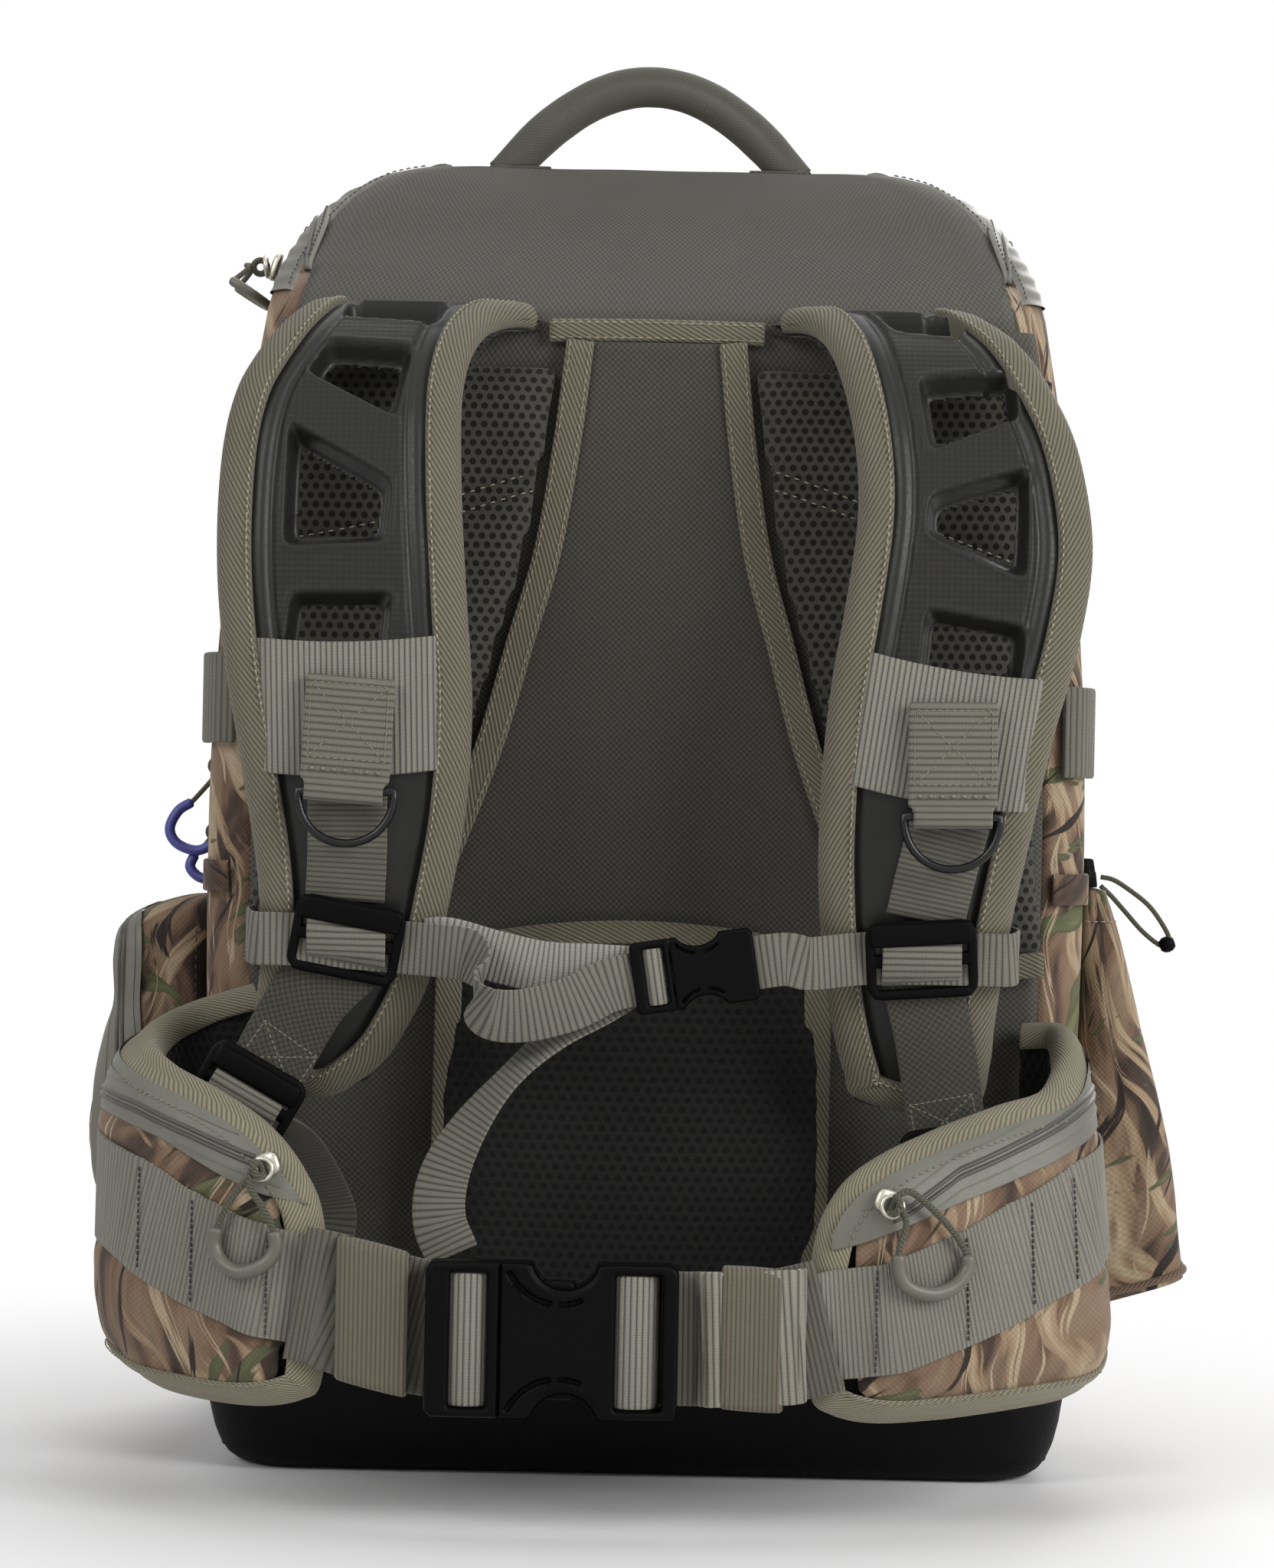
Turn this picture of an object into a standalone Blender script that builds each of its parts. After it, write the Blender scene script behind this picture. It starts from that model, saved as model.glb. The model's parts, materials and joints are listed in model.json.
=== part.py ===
"""Tackle backpack: a soft bag on a moulded base, with a shoulder harness and a hip belt.

Frame: metres, +Z up. The origin is on the ground under the middle of the back panel.
The harness side faces -Y, the tray door faces +Y, and +X is to the right of someone
who looks at the harness.
"""
import math

import bmesh
import bpy
from mathutils import Matrix, Vector

# ---------------------------------------------------------------- clearances
GAP = 0.0003            # between pieces that touch
RUN = 0.0006            # round panels that swing open
SEAT = 0.0008           # under a piece that is laid on a curved one, to clear its facets
WALL = 0.003            # padded fabric of the bag

# ---------------------------------------------------------------- bag body
BAG_DEPTH = 0.225       # back panel to front panel
FOOT_HALF_WIDTH = 0.1665
BODY_HALF_WIDTH = 0.176
SHOULDER_HALF_WIDTH = 0.157
CREST_HALF_WIDTH = 0.098
BODY_Z = 0.250          # height of the widest place
SHOULDER_Z = 0.458      # top of the upright back panel
CREST_Z = 0.531
CREST_BACK = 0.088      # where the sloping top panel meets the crest
CREST_DEPTH = 0.064
CORNER_RADIUS = 0.024

# ---------------------------------------------------------------- base tray
PAN_HEIGHT = 0.045
PAN_WALL = 0.004
PAN_FOOT_INSET = 0.003  # the tray's rounded bottom edge

# ---------------------------------------------------------------- openings of the bag
LID_Z = 0.478           # lower edge of the lid, and its hinge line
LID_BACK = 0.108        # the lid's zip behind the crest
LID_CHEEK = 0.1415      # the lid's cheeks start outside the sloping panel
DOOR_HINGE_Z = 0.075
DOOR_RADIUS = 0.345     # hinge line to the arc of the door's zip
DOOR_BACK = 0.116       # the upright side zips
DIVIDER_Z = 0.428
SHEET_THICKNESS = 0.0015
FRAME_SHEET_WIDTH = 0.250
FRAME_SHEET_TOP = 0.400
DOOR_POCKET_WIDTH = 0.230
DOOR_POCKET_BOTTOM = 0.110
DOOR_POCKET_HEIGHT = 0.210
DOOR_POCKET_DEPTH = 0.034

# ---------------------------------------------------------------- back panel
BACK_PAD_THICKNESS = 0.014
BACK_PAD_HALF_SPAN = 0.159
BACK_PAD_BOTTOM = 0.203
BACK_PAD_TOP = 0.446
SPINE_THICKNESS = 0.004
SPINE_TOP_HALF_WIDTH = 0.0355
SPINE_BOTTOM_HALF_WIDTH = 0.088
SPINE_BOTTOM = 0.226
SPINE_FLARE = 1.6       # how late the spine panel widens
YOKE_HALF_WIDTH = 0.0425
YOKE_HEIGHT = 0.0085
YOKE_THICKNESS = 0.003
LUMBAR_WIDTH = 0.160
LUMBAR_TOP = 0.221
LUMBAR_THICKNESS = 0.030
LUMBAR_X = -0.004
LUMBAR_ARCH = 0.010     # rise of its arched top

# ---------------------------------------------------------------- shoulder straps
STRAP_THICKNESS = 0.011
STRAP_PROFILE = [       # height, depth of the strap's middle: it arches off the back
    (0.150, -0.042), (0.170, -0.050), (0.200, -0.058), (0.250, -0.067), (0.300, -0.070),
    (0.360, -0.067), (0.400, -0.058), (0.420, -0.050), (0.440, -0.038), (0.451, -0.026),
    (0.4575, -0.013), (0.4585, -0.0009),
]
STRAP_OUTER_LEFT = [(-0.134, 0.4585), (-0.140, 0.4560), (-0.150, 0.443), (-0.159, 0.426),
                    (-0.164, 0.400), (-0.1645, 0.360),
                    (-0.161, 0.322), (-0.154, 0.283), (-0.147, 0.240), (-0.1455, 0.205), (-0.148, 0.180),
                    (-0.144, 0.160), (-0.134, 0.151)]
STRAP_INNER_LEFT = [(-0.0445, 0.4585), (-0.050, 0.4582), (-0.061, 0.4560), (-0.0695, 0.445),
                    (-0.0745, 0.424), (-0.0735, 0.384),
                    (-0.0705, 0.344), (-0.0675, 0.304), (-0.0690, 0.265), (-0.0750, 0.228), (-0.0820, 0.199),
                    (-0.093, 0.176), (-0.106, 0.158)]
STRAP_OUTER_RIGHT = [(0.120, 0.4585), (0.128, 0.4565), (0.138, 0.4490), (0.150, 0.431), (0.161, 0.404),
                     (0.166, 0.367),
                     (0.161, 0.330), (0.152, 0.295), (0.144, 0.255), (0.138, 0.222), (0.134, 0.190),
                     (0.132, 0.165), (0.128, 0.151)]
STRAP_INNER_RIGHT = [(0.0445, 0.4585), (0.050, 0.4582), (0.060, 0.4560), (0.069, 0.441), (0.076, 0.412),
                     (0.078, 0.380),
                     (0.0735, 0.343), (0.069, 0.315), (0.066, 0.280), (0.0655, 0.245), (0.0680, 0.212),
                     (0.073, 0.182), (0.082, 0.154)]
WINDOWS_LEFT = [
    [(-0.1210, 0.4580), (-0.0810, 0.4585), (-0.086, 0.4505), (-0.1227, 0.4525)],
    [(-0.1270, 0.4445), (-0.0935, 0.4425), (-0.0985, 0.4125), (-0.1345, 0.4310)],
    [(-0.1395, 0.4110), (-0.0991, 0.3886), (-0.1006, 0.3645), (-0.1395, 0.3622)],
    [(-0.1360, 0.3445), (-0.0977, 0.3453), (-0.1001, 0.3150), (-0.1395, 0.3120)],
]
WINDOWS_RIGHT = [
    [(0.0830, 0.4580), (0.1220, 0.4565), (0.1170, 0.4490), (0.0916, 0.4510)],
    [(0.1000, 0.4333), (0.1375, 0.4374), (0.1386, 0.4183), (0.1041, 0.4036)],
    [(0.1425, 0.3990), (0.1410, 0.3547), (0.1027, 0.3718), (0.1041, 0.3869)],
    [(0.1030, 0.3436), (0.1415, 0.3371), (0.1375, 0.3050), (0.1004, 0.3130)],
]
STRAP_SIDES = {
    # band: centre x, z and tilt; tab: centre x, top z and tilt; slider: centre x, z and tilt
    "left": dict(band=(-0.1145, 0.3010, 2.0), tab=(-0.1130, 0.3130, -4.0), slider=(-0.1125, 0.2150, -10.0)),
    "right": dict(band=(0.1115, 0.2950, -8.0), tab=(0.1140, 0.3080, 1.0), slider=(0.1045, 0.2120, 4.0)),
}
BAND_WIDTH = 0.050
BAND_SPAN = 0.064
BAND_THICKNESS = 0.0020
TAB_WIDTH = 0.0335
TAB_HEIGHT = 0.0470
TAB_THICKNESS = 0.0040
LOOP_WIDTH = 0.0290      # the tab's end that carries the D-ring
LOOP_HEIGHT = 0.0090
LOOP_THICKNESS = 0.0070
RING_WIDTH = 0.0390
RING_WIRE = 0.0030
WEB_WIDTH = 0.030
WEB_THICKNESS = 0.0016
SLIDER_WIDTH = 0.042
SLIDER_HEIGHT = 0.032
SLIDER_RAIL = 0.0034
SLIDER_DEPTH = 0.0034
LOCK_WIDTH = 0.040
LOCK_HEIGHT = 0.030
LOCK_SPLIT = 0.0015     # the two webbings end this far above and below the lock's middle
LOCK_SEAT = 0.0012      # the webbing's middle behind the lock's back face
LOCKS = {"left": (-0.1500, -0.0625, 0.1540, 29.0), "right": (0.1200, -0.0570, 0.1330, -10.0)}
LOWER_ANCHOR_X = 0.1270
LOWER_ANCHOR_Z = 0.0850

# ---------------------------------------------------------------- sternum strap
STERNUM_WIDTH = 0.020
STERNUM_THICKNESS = 0.0014
STERNUM_Z = 0.2040
STERNUM_Y = -0.0800     # middle of the buckle's depth
STERNUM_BUCKLE = dict(x=(-0.0040, 0.0425), joint_x=0.0105, height=0.0270, depth=0.0085, tilt=9.0)
TONGUE_REACH = 0.0180
TONGUE_SHARE = 0.6      # of the buckle's height
STERNUM_WALL = 0.0016   # of its socket
WRAP_REACH = {"left": 0.0375, "right": 0.0365}  # slider's middle to the strap's outer edge
LAID_POINTS = 5         # the first points of each strap's route lie on the shoulder strap
STERNUM_SLACK = [       # the slack fold between the left slider and the buckle
    (-0.066, -0.0765, 0.2090), (-0.056, -0.0800, 0.1960), (-0.040, -0.0860, 0.1880), (-0.022, -0.0850,
                                                                                      0.1920),
]
TAIL_ROUTE = [          # the free tail: x, forwards of the buckle's back face, z
    (-0.0070, 0.0000, 0.1960), (-0.0160, 0.0000, 0.1890), (-0.0330, 0.0025, 0.1780), (-0.0520, 0.0055,
                                                                                      0.1620),
    (-0.0665, 0.0075, 0.1450), (-0.0750, 0.0105, 0.1280), (-0.0755, 0.0155, 0.1120), (-0.0700, 0.0205,
                                                                                      0.0980),
]
TAIL_THICKNESS = 0.0014

# ---------------------------------------------------------------- hip belt
BELT_Z = 0.0730
BELT_WIDTH = 0.050
BELT_THICKNESS = 0.0022
BELT_Y = -0.1262        # middle of the webbing's depth at the buckle
WING_THICKNESS = 0.012
POCKET_THICKNESS = 0.012
# plan route of each wing's middle, from its root on the back to its tip, and its upper and
# lower edges there
WING_LEFT = [
    (-0.152, -0.0064, 0.178, 0.060), (-0.174, -0.0115, 0.180, 0.056), (-0.188, -0.0290, 0.180, 0.052),
    (-0.189, -0.0520, 0.173, 0.048), (-0.177, -0.0740, 0.166, 0.044), (-0.158, -0.0880, 0.158, 0.042),
    (-0.139, -0.0980, 0.147, 0.042), (-0.125, -0.1050, 0.132, 0.045), (-0.114, -0.1105, 0.110, 0.052),
]
WING_RIGHT = [
    (0.148, -0.0064, 0.184, 0.060), (0.1645, -0.0140, 0.185, 0.057), (0.170, -0.0290, 0.181, 0.054),
    (0.167, -0.0460, 0.172, 0.050), (0.156, -0.0650, 0.162, 0.046), (0.136, -0.0790, 0.157, 0.044),
    (0.112, -0.0900, 0.149, 0.042), (0.088, -0.1000, 0.139, 0.041), (0.073, -0.1060, 0.127, 0.044),
    (0.062, -0.1105, 0.104, 0.052),
]
WING_SPANS = 20
WING_FLARE = {"left": 0.0, "right": 0.085}   # how far the wing leans out below its middle height
WING_FLARE_Z = 0.110
WING_FLARE_SHARES = (0.20, 0.70, 0.93)      # full flare from the first to the second, none at the third
POCKET_FIRST = 9        # spans of the wing's route where its pocket begins and ends
POCKET_LAST = 18
POCKET_MARGIN = 0.005
KEEPER_WIDTH = 0.034
KEEPER_HEIGHT = 0.056
KEEPER_DEPTH = 0.010
KEEPER_X = {"left": -0.0970, "right": 0.0440}
BUCKLE_LEFT_X = -0.0763
BUCKLE_JOINT_X = -0.0500
BUCKLE_RIGHT_X = 0.0148
BUCKLE_HEIGHT = 0.0560
BUCKLE_DEPTH = 0.0140
BUCKLE_WALL = 0.0028
PRONG_REACH = 0.0270
PRONG_HEIGHT = 0.0085
BUCKLE_BAR = 0.0090      # outer bar of each half
BUCKLE_SLOT = 0.0118     # webbing window beside each bar
RELIEF_RADIUS = 0.0125   # finger reliefs above and below the prongs
RELIEF_RISE = 0.0035
PRONG_TIP = 0.0215       # the belt's middle to a prong's outer face

# ---------------------------------------------------------------- side pockets
POCKET_LEFT_RINGS = [   # height, reach out from the bag's side, rear y, front y of the zipped pocket
    (0.078, 0.0340, 0.040, 0.098), (0.090, 0.0425, 0.026, 0.106), (0.125, 0.0471, 0.022, 0.108),
    (0.155, 0.0458, 0.022, 0.108), (0.194, 0.0362, 0.024, 0.106), (0.212, 0.0290, 0.030, 0.100),
    (0.226, 0.0165, 0.040, 0.090),
]
POCKET_RIGHT_RINGS = [  # the same for the open pocket
    (0.074, 0.0508, 0.020, 0.108), (0.130, 0.0392, 0.020, 0.108), (0.185, 0.0255, 0.020, 0.108),
    (0.238, 0.0125, 0.020, 0.108),
]
POCKET_WALL = 0.0025
CORD_DIAMETER = 0.0022
CORD_LOCK_X = 0.1836
CORD_LOCK_Y = 0.064
CORD_LOCK_RADIUS = 0.0050
CORD_LOCK_LENGTH = 0.0120
# the drawcord's loop, from the lock's side outwards: x out, z up from the lock's middle
CORD_UPPER = [(0.0000, 0.0030), (0.0080, 0.0042), (0.0160, 0.0020), (0.0240, -0.0050), (0.0310, -0.0140),
              (0.0352, -0.0215)]
CORD_TIP = [(0.0362, -0.0262), (0.0330, -0.0300), (0.0285, -0.0290)]
CORD_LOWER = [(0.0262, -0.0240), (0.0220, -0.0165), (0.0160, -0.0090), (0.0080, -0.0038), (0.0000, -0.0030)]

# ---------------------------------------------------------------- handle
HANDLE_X = -0.004
HANDLE_Y = 0.098
HANDLE_RADIUS = 0.0088
HANDLE_TAPER = 0.55     # the sewn feet against the tube
HANDLE_HALF_SPAN = 0.0545
HANDLE_RISE = 0.0290    # hinge line to the top of the tube's middle line
ANCHOR_SIZE = (0.026, 0.018, 0.0020)

# ---------------------------------------------------------------- zip hardware
SLIDER_BODY = (0.0070, 0.0100, 0.0060)
PULL_DIAMETER = 0.0026
GRIP_DIAMETER = 0.0048
RING_DIAMETER = 0.0046
PULL_CORD = 0.0230      # the ring pulls are cord above this drop, and a moulded ring below
PULL_LOOP = [           # across and up from the slider's eye
    (0.0000, 0.0000), (0.0018, -0.0080), (0.0048, -0.0170), (0.0085, -0.0260), (0.0105, -0.0330),
    (0.0095, -0.0400), (0.0055, -0.0450), (0.0000, -0.0470), (-0.0055, -0.0450), (-0.0095, -0.0400),
    (-0.0105, -0.0330), (-0.0085, -0.0260), (-0.0048, -0.0170), (-0.0018, -0.0080),
]
HIP_ZIPS = {"left": (0.785, 0.0145), "right": (0.795, 0.0155)}  # share of the wing's route, drop from its edge
TOP_ZIP = (0.060, 0.4840)
TOP_PULL = [(0.0000, 0.0000), (0.0008, -0.0022), (0.0060, -0.0030), (0.0120, -0.0050),
            (0.0165, -0.0090), (0.0155, -0.0135),
            (0.0100, -0.0165), (0.0040, -0.0170)]
SIDE_ZIP_Y = 0.1080
SIDE_ZIP_Z = 0.2800      # the upper slider of the two
SIDE_ZIP_SPACING = 0.0280
PULL_LEAN = {"top_zip": 0.0, "side_zip_upper": -0.0085, "side_zip_lower": 0.0020}  # pulls hang apart
SIDE_PULLS = {
    "upper": [(0.0000, 0.0000), (0.0060, -0.0090), (0.0130, -0.0180), (0.0170, -0.0260), (0.0155, -0.0335),
              (0.0095, -0.0370), (0.0035, -0.0360)],
    "lower": [(0.0000, 0.0000), (0.0040, -0.0070), (0.0080, -0.0130), (0.0100, -0.0190), (0.0085, -0.0245),
              (0.0045, -0.0265), (0.0005, -0.0250)],
}

PARTS = "tackle_backpack"
MATERIALS = {
    # name: base colour, roughness, metallic
    "olive_fabric": ((0.085, 0.080, 0.066), 0.85, 0.0),
    "camo_fabric": ((0.150, 0.110, 0.070), 0.85, 0.0),
    "eva": ((0.012, 0.012, 0.013), 0.60, 0.0),
    "strap_foam": ((0.040, 0.040, 0.038), 0.55, 0.0),
    "mesh": ((0.018, 0.018, 0.016), 0.90, 0.0),
    "binding": ((0.130, 0.120, 0.085), 0.80, 0.0),
    "webbing": ((0.130, 0.125, 0.105), 0.75, 0.0),
    "buckle_plastic": ((0.012, 0.012, 0.013), 0.35, 0.0),
    "black_metal": ((0.015, 0.015, 0.016), 0.30, 0.8),
    "zip_metal": ((0.300, 0.290, 0.260), 0.35, 0.9),
    "cord": ((0.060, 0.060, 0.040), 0.80, 0.0),
    "blue_rubber": ((0.030, 0.035, 0.300), 0.50, 0.0),
    "olive_rubber": ((0.080, 0.080, 0.065), 0.50, 0.0),
    "board": ((0.200, 0.200, 0.200), 0.60, 0.0),
}


# ================================================================ helpers
def clear_scene():
    for obj in list(bpy.data.objects):
        bpy.data.objects.remove(obj, do_unlink=True)


def collection(name):
    made = bpy.data.collections.new(name)
    bpy.context.scene.collection.children.link(made)
    return made


def material(name):
    made = bpy.data.materials.get(name)
    if made:
        return made
    colour, roughness, metallic = MATERIALS[name]
    made = bpy.data.materials.new(name)
    made.use_nodes = True
    shader = made.node_tree.nodes["Principled BSDF"]
    shader.inputs["Base Color"].default_value = (*colour, 1.0)
    shader.inputs["Roughness"].default_value = roughness
    shader.inputs["Metallic"].default_value = metallic
    return made


def add(name, mesh, finish, pivot=(0.0, 0.0, 0.0)):
    """Put a mesh in the scene as one named part, with its origin at the pivot."""
    mesh.transform(Matrix.Translation(-Vector(pivot)))
    obj = bpy.data.objects.new(name, mesh)
    obj.location = pivot
    obj.data.materials.append(material(finish))
    part_collection.objects.link(obj)
    return obj


def add_cutter(name, mesh):
    obj = bpy.data.objects.new(name, mesh)
    obj.hide_render = True
    obj.display_type = "WIRE"
    cutter_collection.objects.link(obj)
    return obj


def boolean(obj, cutter, operation="DIFFERENCE"):
    modifier = obj.modifiers.new("cut_" + cutter.name, "BOOLEAN")
    modifier.operation = operation
    modifier.object = cutter
    modifier.solver = "EXACT"


def solidify(obj, thickness, offset):
    modifier = obj.modifiers.new("thickness", "SOLIDIFY")
    modifier.thickness = thickness
    modifier.offset = offset
    modifier.use_even_offset = True


def bevel(obj, width, segments=1):
    modifier = obj.modifiers.new("rounded_edges", "BEVEL")
    modifier.width = width
    modifier.segments = segments
    modifier.limit_method = "ANGLE"
    modifier.angle_limit = math.radians(50)


def to_mesh(name, bm):
    bmesh.ops.recalc_face_normals(bm, faces=bm.faces)
    mesh = bpy.data.meshes.new(name)
    bm.to_mesh(mesh)
    bm.free()
    return mesh


def loft(name, rings, capped=(True, True)):
    """Skin closed rings of equal count; the ends are capped where asked."""
    bm = bmesh.new()
    loops = [[bm.verts.new(point) for point in ring] for ring in rings]
    count = len(rings[0])
    for lower, upper in zip(loops, loops[1:]):
        for i in range(count):
            j = (i + 1) % count
            bm.faces.new((lower[i], lower[j], upper[j], upper[i]))
    if capped[0]:
        bm.faces.new(loops[0])
    if capped[1]:
        bm.faces.new(loops[-1])
    return to_mesh(name, bm)


def grid(name, rows):
    """An open sheet through rows of points."""
    bm = bmesh.new()
    verts = [[bm.verts.new(point) for point in row] for row in rows]
    for lower, upper in zip(verts, verts[1:]):
        for i in range(len(lower) - 1):
            bm.faces.new((lower[i], lower[i + 1], upper[i + 1], upper[i]))
    return to_mesh(name, bm)


def prism(name, outline, depth):
    """Extrude a flat outline of 3D points by the vector depth."""
    bm = bmesh.new()
    face = bm.faces.new([bm.verts.new(point) for point in outline])
    grown = bmesh.ops.extrude_face_region(bm, geom=[face])
    moved = [item for item in grown["geom"] if isinstance(item, bmesh.types.BMVert)]
    bmesh.ops.translate(bm, verts=moved, vec=depth)
    return to_mesh(name, bm)


def block(name, low, high):
    """A box from its lowest to its highest corner."""
    low, high = Vector(low), Vector(high)
    bm = bmesh.new()
    bmesh.ops.create_cube(bm, size=1.0)
    bmesh.ops.scale(bm, vec=high - low, verts=bm.verts)
    bmesh.ops.translate(bm, vec=(low + high) / 2, verts=bm.verts)
    return to_mesh(name, bm)


def cylinder(name, radius, length, axis, centre, segments=16):
    """A closed cylinder along X, Y or Z about its centre."""
    turn = {"X": Matrix.Rotation(math.pi / 2, 4, "Y"), "Y": Matrix.Rotation(math.pi / 2, 4, "X"),
            "Z": Matrix.Identity(4)}[axis]
    bm = bmesh.new()
    bmesh.ops.create_cone(bm, cap_ends=True, segments=segments, radius1=radius, radius2=radius, depth=length,
                          matrix=Matrix.Translation(centre) @ turn)
    return to_mesh(name, bm)


def smooth(points, per_span):
    """Points on a Catmull-Rom curve through the given ones."""
    points = [Vector(point) for point in points]
    padded = [2 * points[0] - points[1], *points, 2 * points[-1] - points[-2]]
    found = []
    for a, b, c, d in zip(padded, padded[1:], padded[2:], padded[3:]):
        for step in range(per_span):
            t = step / per_span
            found.append(0.5 * (2 * b + (c - a) * t + (2 * a - 5 * b + 4 * c - d) * t * t
                                + (3 * b - a - 3 * c + d) * t ** 3))
    found.append(points[-1])
    return found


def between(table, value):
    """Straight-line reading of a table of (value, result) pairs, held at its ends."""
    if value <= table[0][0]:
        return table[0][1]
    for (a, first), (b, second) in zip(table, table[1:]):
        if value <= b:
            return first + (second - first) * (value - a) / (b - a)
    return table[-1][1]


def steps(start, end, count):
    return [start + (end - start) * i / count for i in range(count + 1)]


def tube(name, points, diameter, finish, radii=None, cyclic=False, resolution=2):
    """A round wire or cord: a bevelled curve, with a share of its radius at each point."""
    curve = bpy.data.curves.new(name, "CURVE")
    curve.dimensions = "3D"
    curve.bevel_depth = diameter / 2
    curve.bevel_resolution = resolution
    curve.use_fill_caps = True
    spline = curve.splines.new("POLY")
    spline.points.add(len(points) - 1)
    for i, point in enumerate(points):
        spline.points[i].co = (*point, 1.0)
        spline.points[i].radius = radii[i] if radii else 1.0
    spline.use_cyclic_u = cyclic
    obj = bpy.data.objects.new(name, curve)
    obj.data.materials.append(material(finish))
    part_collection.objects.link(obj)
    return obj


def set_pivot(obj, pivot):
    """Move an object's origin to its joint's axis and leave its shape where it is."""
    obj.data.transform(Matrix.Translation(-Vector(pivot)))
    obj.location = pivot


def strip(name, route, width_to, width, thickness, finish):
    """A flat strap: its middle line, the direction of its width at each point, and its real section."""
    rows = []
    for point, towards in zip(route, width_to):
        half = Vector(towards).normalized() * width / 2
        rows.append((Vector(point) - half, Vector(point) + half))
    obj = add(name, grid(name, rows), finish)
    solidify(obj, thickness, 0.0)
    return obj


def turn(mesh, centre, degrees, axis="Y"):
    centre = Vector(centre)
    rotation = Matrix.Rotation(math.radians(degrees), 4, axis)
    mesh.transform(Matrix.Translation(centre) @ rotation @ Matrix.Translation(-centre))
    return mesh


# ================================================================ bag body
FLOOR_Z = PAN_WALL + GAP
HINGE_OUT = 0.0015      # hinge lines lie just outside the front panel


def half_width(z):
    """Half of the bag's width: it swells to BODY_Z, narrows to the shoulder and rounds into the crest."""
    if z <= BODY_Z:
        share = max(z, 0.0) / BODY_Z
        return FOOT_HALF_WIDTH + (BODY_HALF_WIDTH - FOOT_HALF_WIDTH) * math.sin(math.pi / 2 * share)
    if z <= SHOULDER_Z:
        share = (z - BODY_Z) / (SHOULDER_Z - BODY_Z)
        return BODY_HALF_WIDTH - (BODY_HALF_WIDTH - SHOULDER_HALF_WIDTH) * share ** 2
    share = min(1.0, (z - SHOULDER_Z) / (CREST_Z - SHOULDER_Z))
    return CREST_HALF_WIDTH + (SHOULDER_HALF_WIDTH - CREST_HALF_WIDTH) * math.sqrt(1 - share ** 2)


def back_y(z):
    return CREST_BACK * max(0.0, (z - SHOULDER_Z) / (CREST_Z - SHOULDER_Z))


def front_y(z):
    share = min(1.0, max(0.0, (z - LID_Z) / (CREST_Z - LID_Z)))
    return BAG_DEPTH - (BAG_DEPTH - CREST_BACK - CREST_DEPTH) * (1 - math.sqrt(1 - share ** 2))


def rounded_ring(half, rear, front, radius, z, inset=0.0, segments=3):
    """A rectangle with round corners at height z, seen from above."""
    half, rear, front = half - inset, rear + inset, front - inset
    radius = max(radius - inset, 0.002)
    ring = []
    corners = [(half, front, 0), (-half, front, 1), (-half, rear, 2), (half, rear, 3)]
    for x, y, quarter in corners:
        cx = x - math.copysign(radius, x)
        cy = y - radius if y == front else y + radius
        for i in range(segments + 1):
            angle = math.pi / 2 * (quarter + i / segments)
            ring.append((cx + radius * math.cos(angle), cy + radius * math.sin(angle), z))
    return ring


def bag_form(name):
    """The bag's whole closed outside, from the foot inside the base tray up to the crest."""
    heights = steps(FLOOR_Z + PAN_FOOT_INSET, BODY_Z, 4) + steps(BODY_Z, SHOULDER_Z, 4)[1:] + [LID_Z]
    heights += [LID_Z + (CREST_Z - LID_Z) * share for share in (0.35, 0.62, 0.82, 0.94, 1.0)]
    rings = [rounded_ring(half_width(0), 0, BAG_DEPTH, CORNER_RADIUS, FLOOR_Z, PAN_FOOT_INSET)]
    rings += [rounded_ring(half_width(z), back_y(z), front_y(z), CORNER_RADIUS, z) for z in heights]
    return loft(name, rings)


def lid_block(name, margin):
    """Everything above the lid's edge and behind its zip: a U around the sloping top panel."""
    far = 2 * BODY_HALF_WIDTH
    cheek, back, low = LID_CHEEK - margin, LID_BACK - margin, LID_Z - margin
    outline = [(-far, -far, low), (-cheek, -far, low), (-cheek, back, low), (cheek, back, low),
               (cheek, -far, low), (far, -far, low), (far, far, low), (-far, far, low)]
    return add_cutter(name, prism(name, outline, Vector((0, 0, CREST_Z))))


def door_block(name, margin):
    """The door's share of the bag: in front of the side zips, under an arc about the hinge line."""
    hinge_y = BAG_DEPTH + HINGE_OUT
    reach = DOOR_RADIUS + margin
    back = DOOR_BACK - margin
    far = 2 * BODY_HALF_WIDTH
    start = math.asin((hinge_y - back) / reach)
    arc = [(hinge_y - reach * math.sin(a), DOOR_HINGE_Z + reach * math.cos(a)) for a in steps(start, 0.0, 8)]
    low = DOOR_HINGE_Z - margin
    outline = [(back, low), *arc, (hinge_y + WALL, DOOR_HINGE_Z + reach), (hinge_y + WALL, low)]
    points = [(-far, y, z) for y, z in outline]
    return add_cutter(name, prism(name, points, Vector((2 * far, 0, 0))))


def build_bag():
    """Shell, lid and door are cut from one form, so their zips meet all round."""
    shell = add("bag_shell", bag_form("bag_shell"), "olive_fabric")
    solidify(shell, WALL, -1.0)
    boolean(shell, lid_block("lid_opening", RUN))
    boolean(shell, door_block("door_opening", RUN))

    lid = add("lid", bag_form("lid"), "camo_fabric", (0, BAG_DEPTH + HINGE_OUT, LID_Z))
    solidify(lid, WALL, -1.0)
    boolean(lid, lid_block("lid_shape", 0.0), "INTERSECT")

    door = add("tray_door", bag_form("tray_door"), "camo_fabric", (0, BAG_DEPTH + HINGE_OUT, DOOR_HINGE_Z))
    solidify(door, WALL, -1.0)
    boolean(door, door_block("door_shape", 0.0), "INTERSECT")


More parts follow.
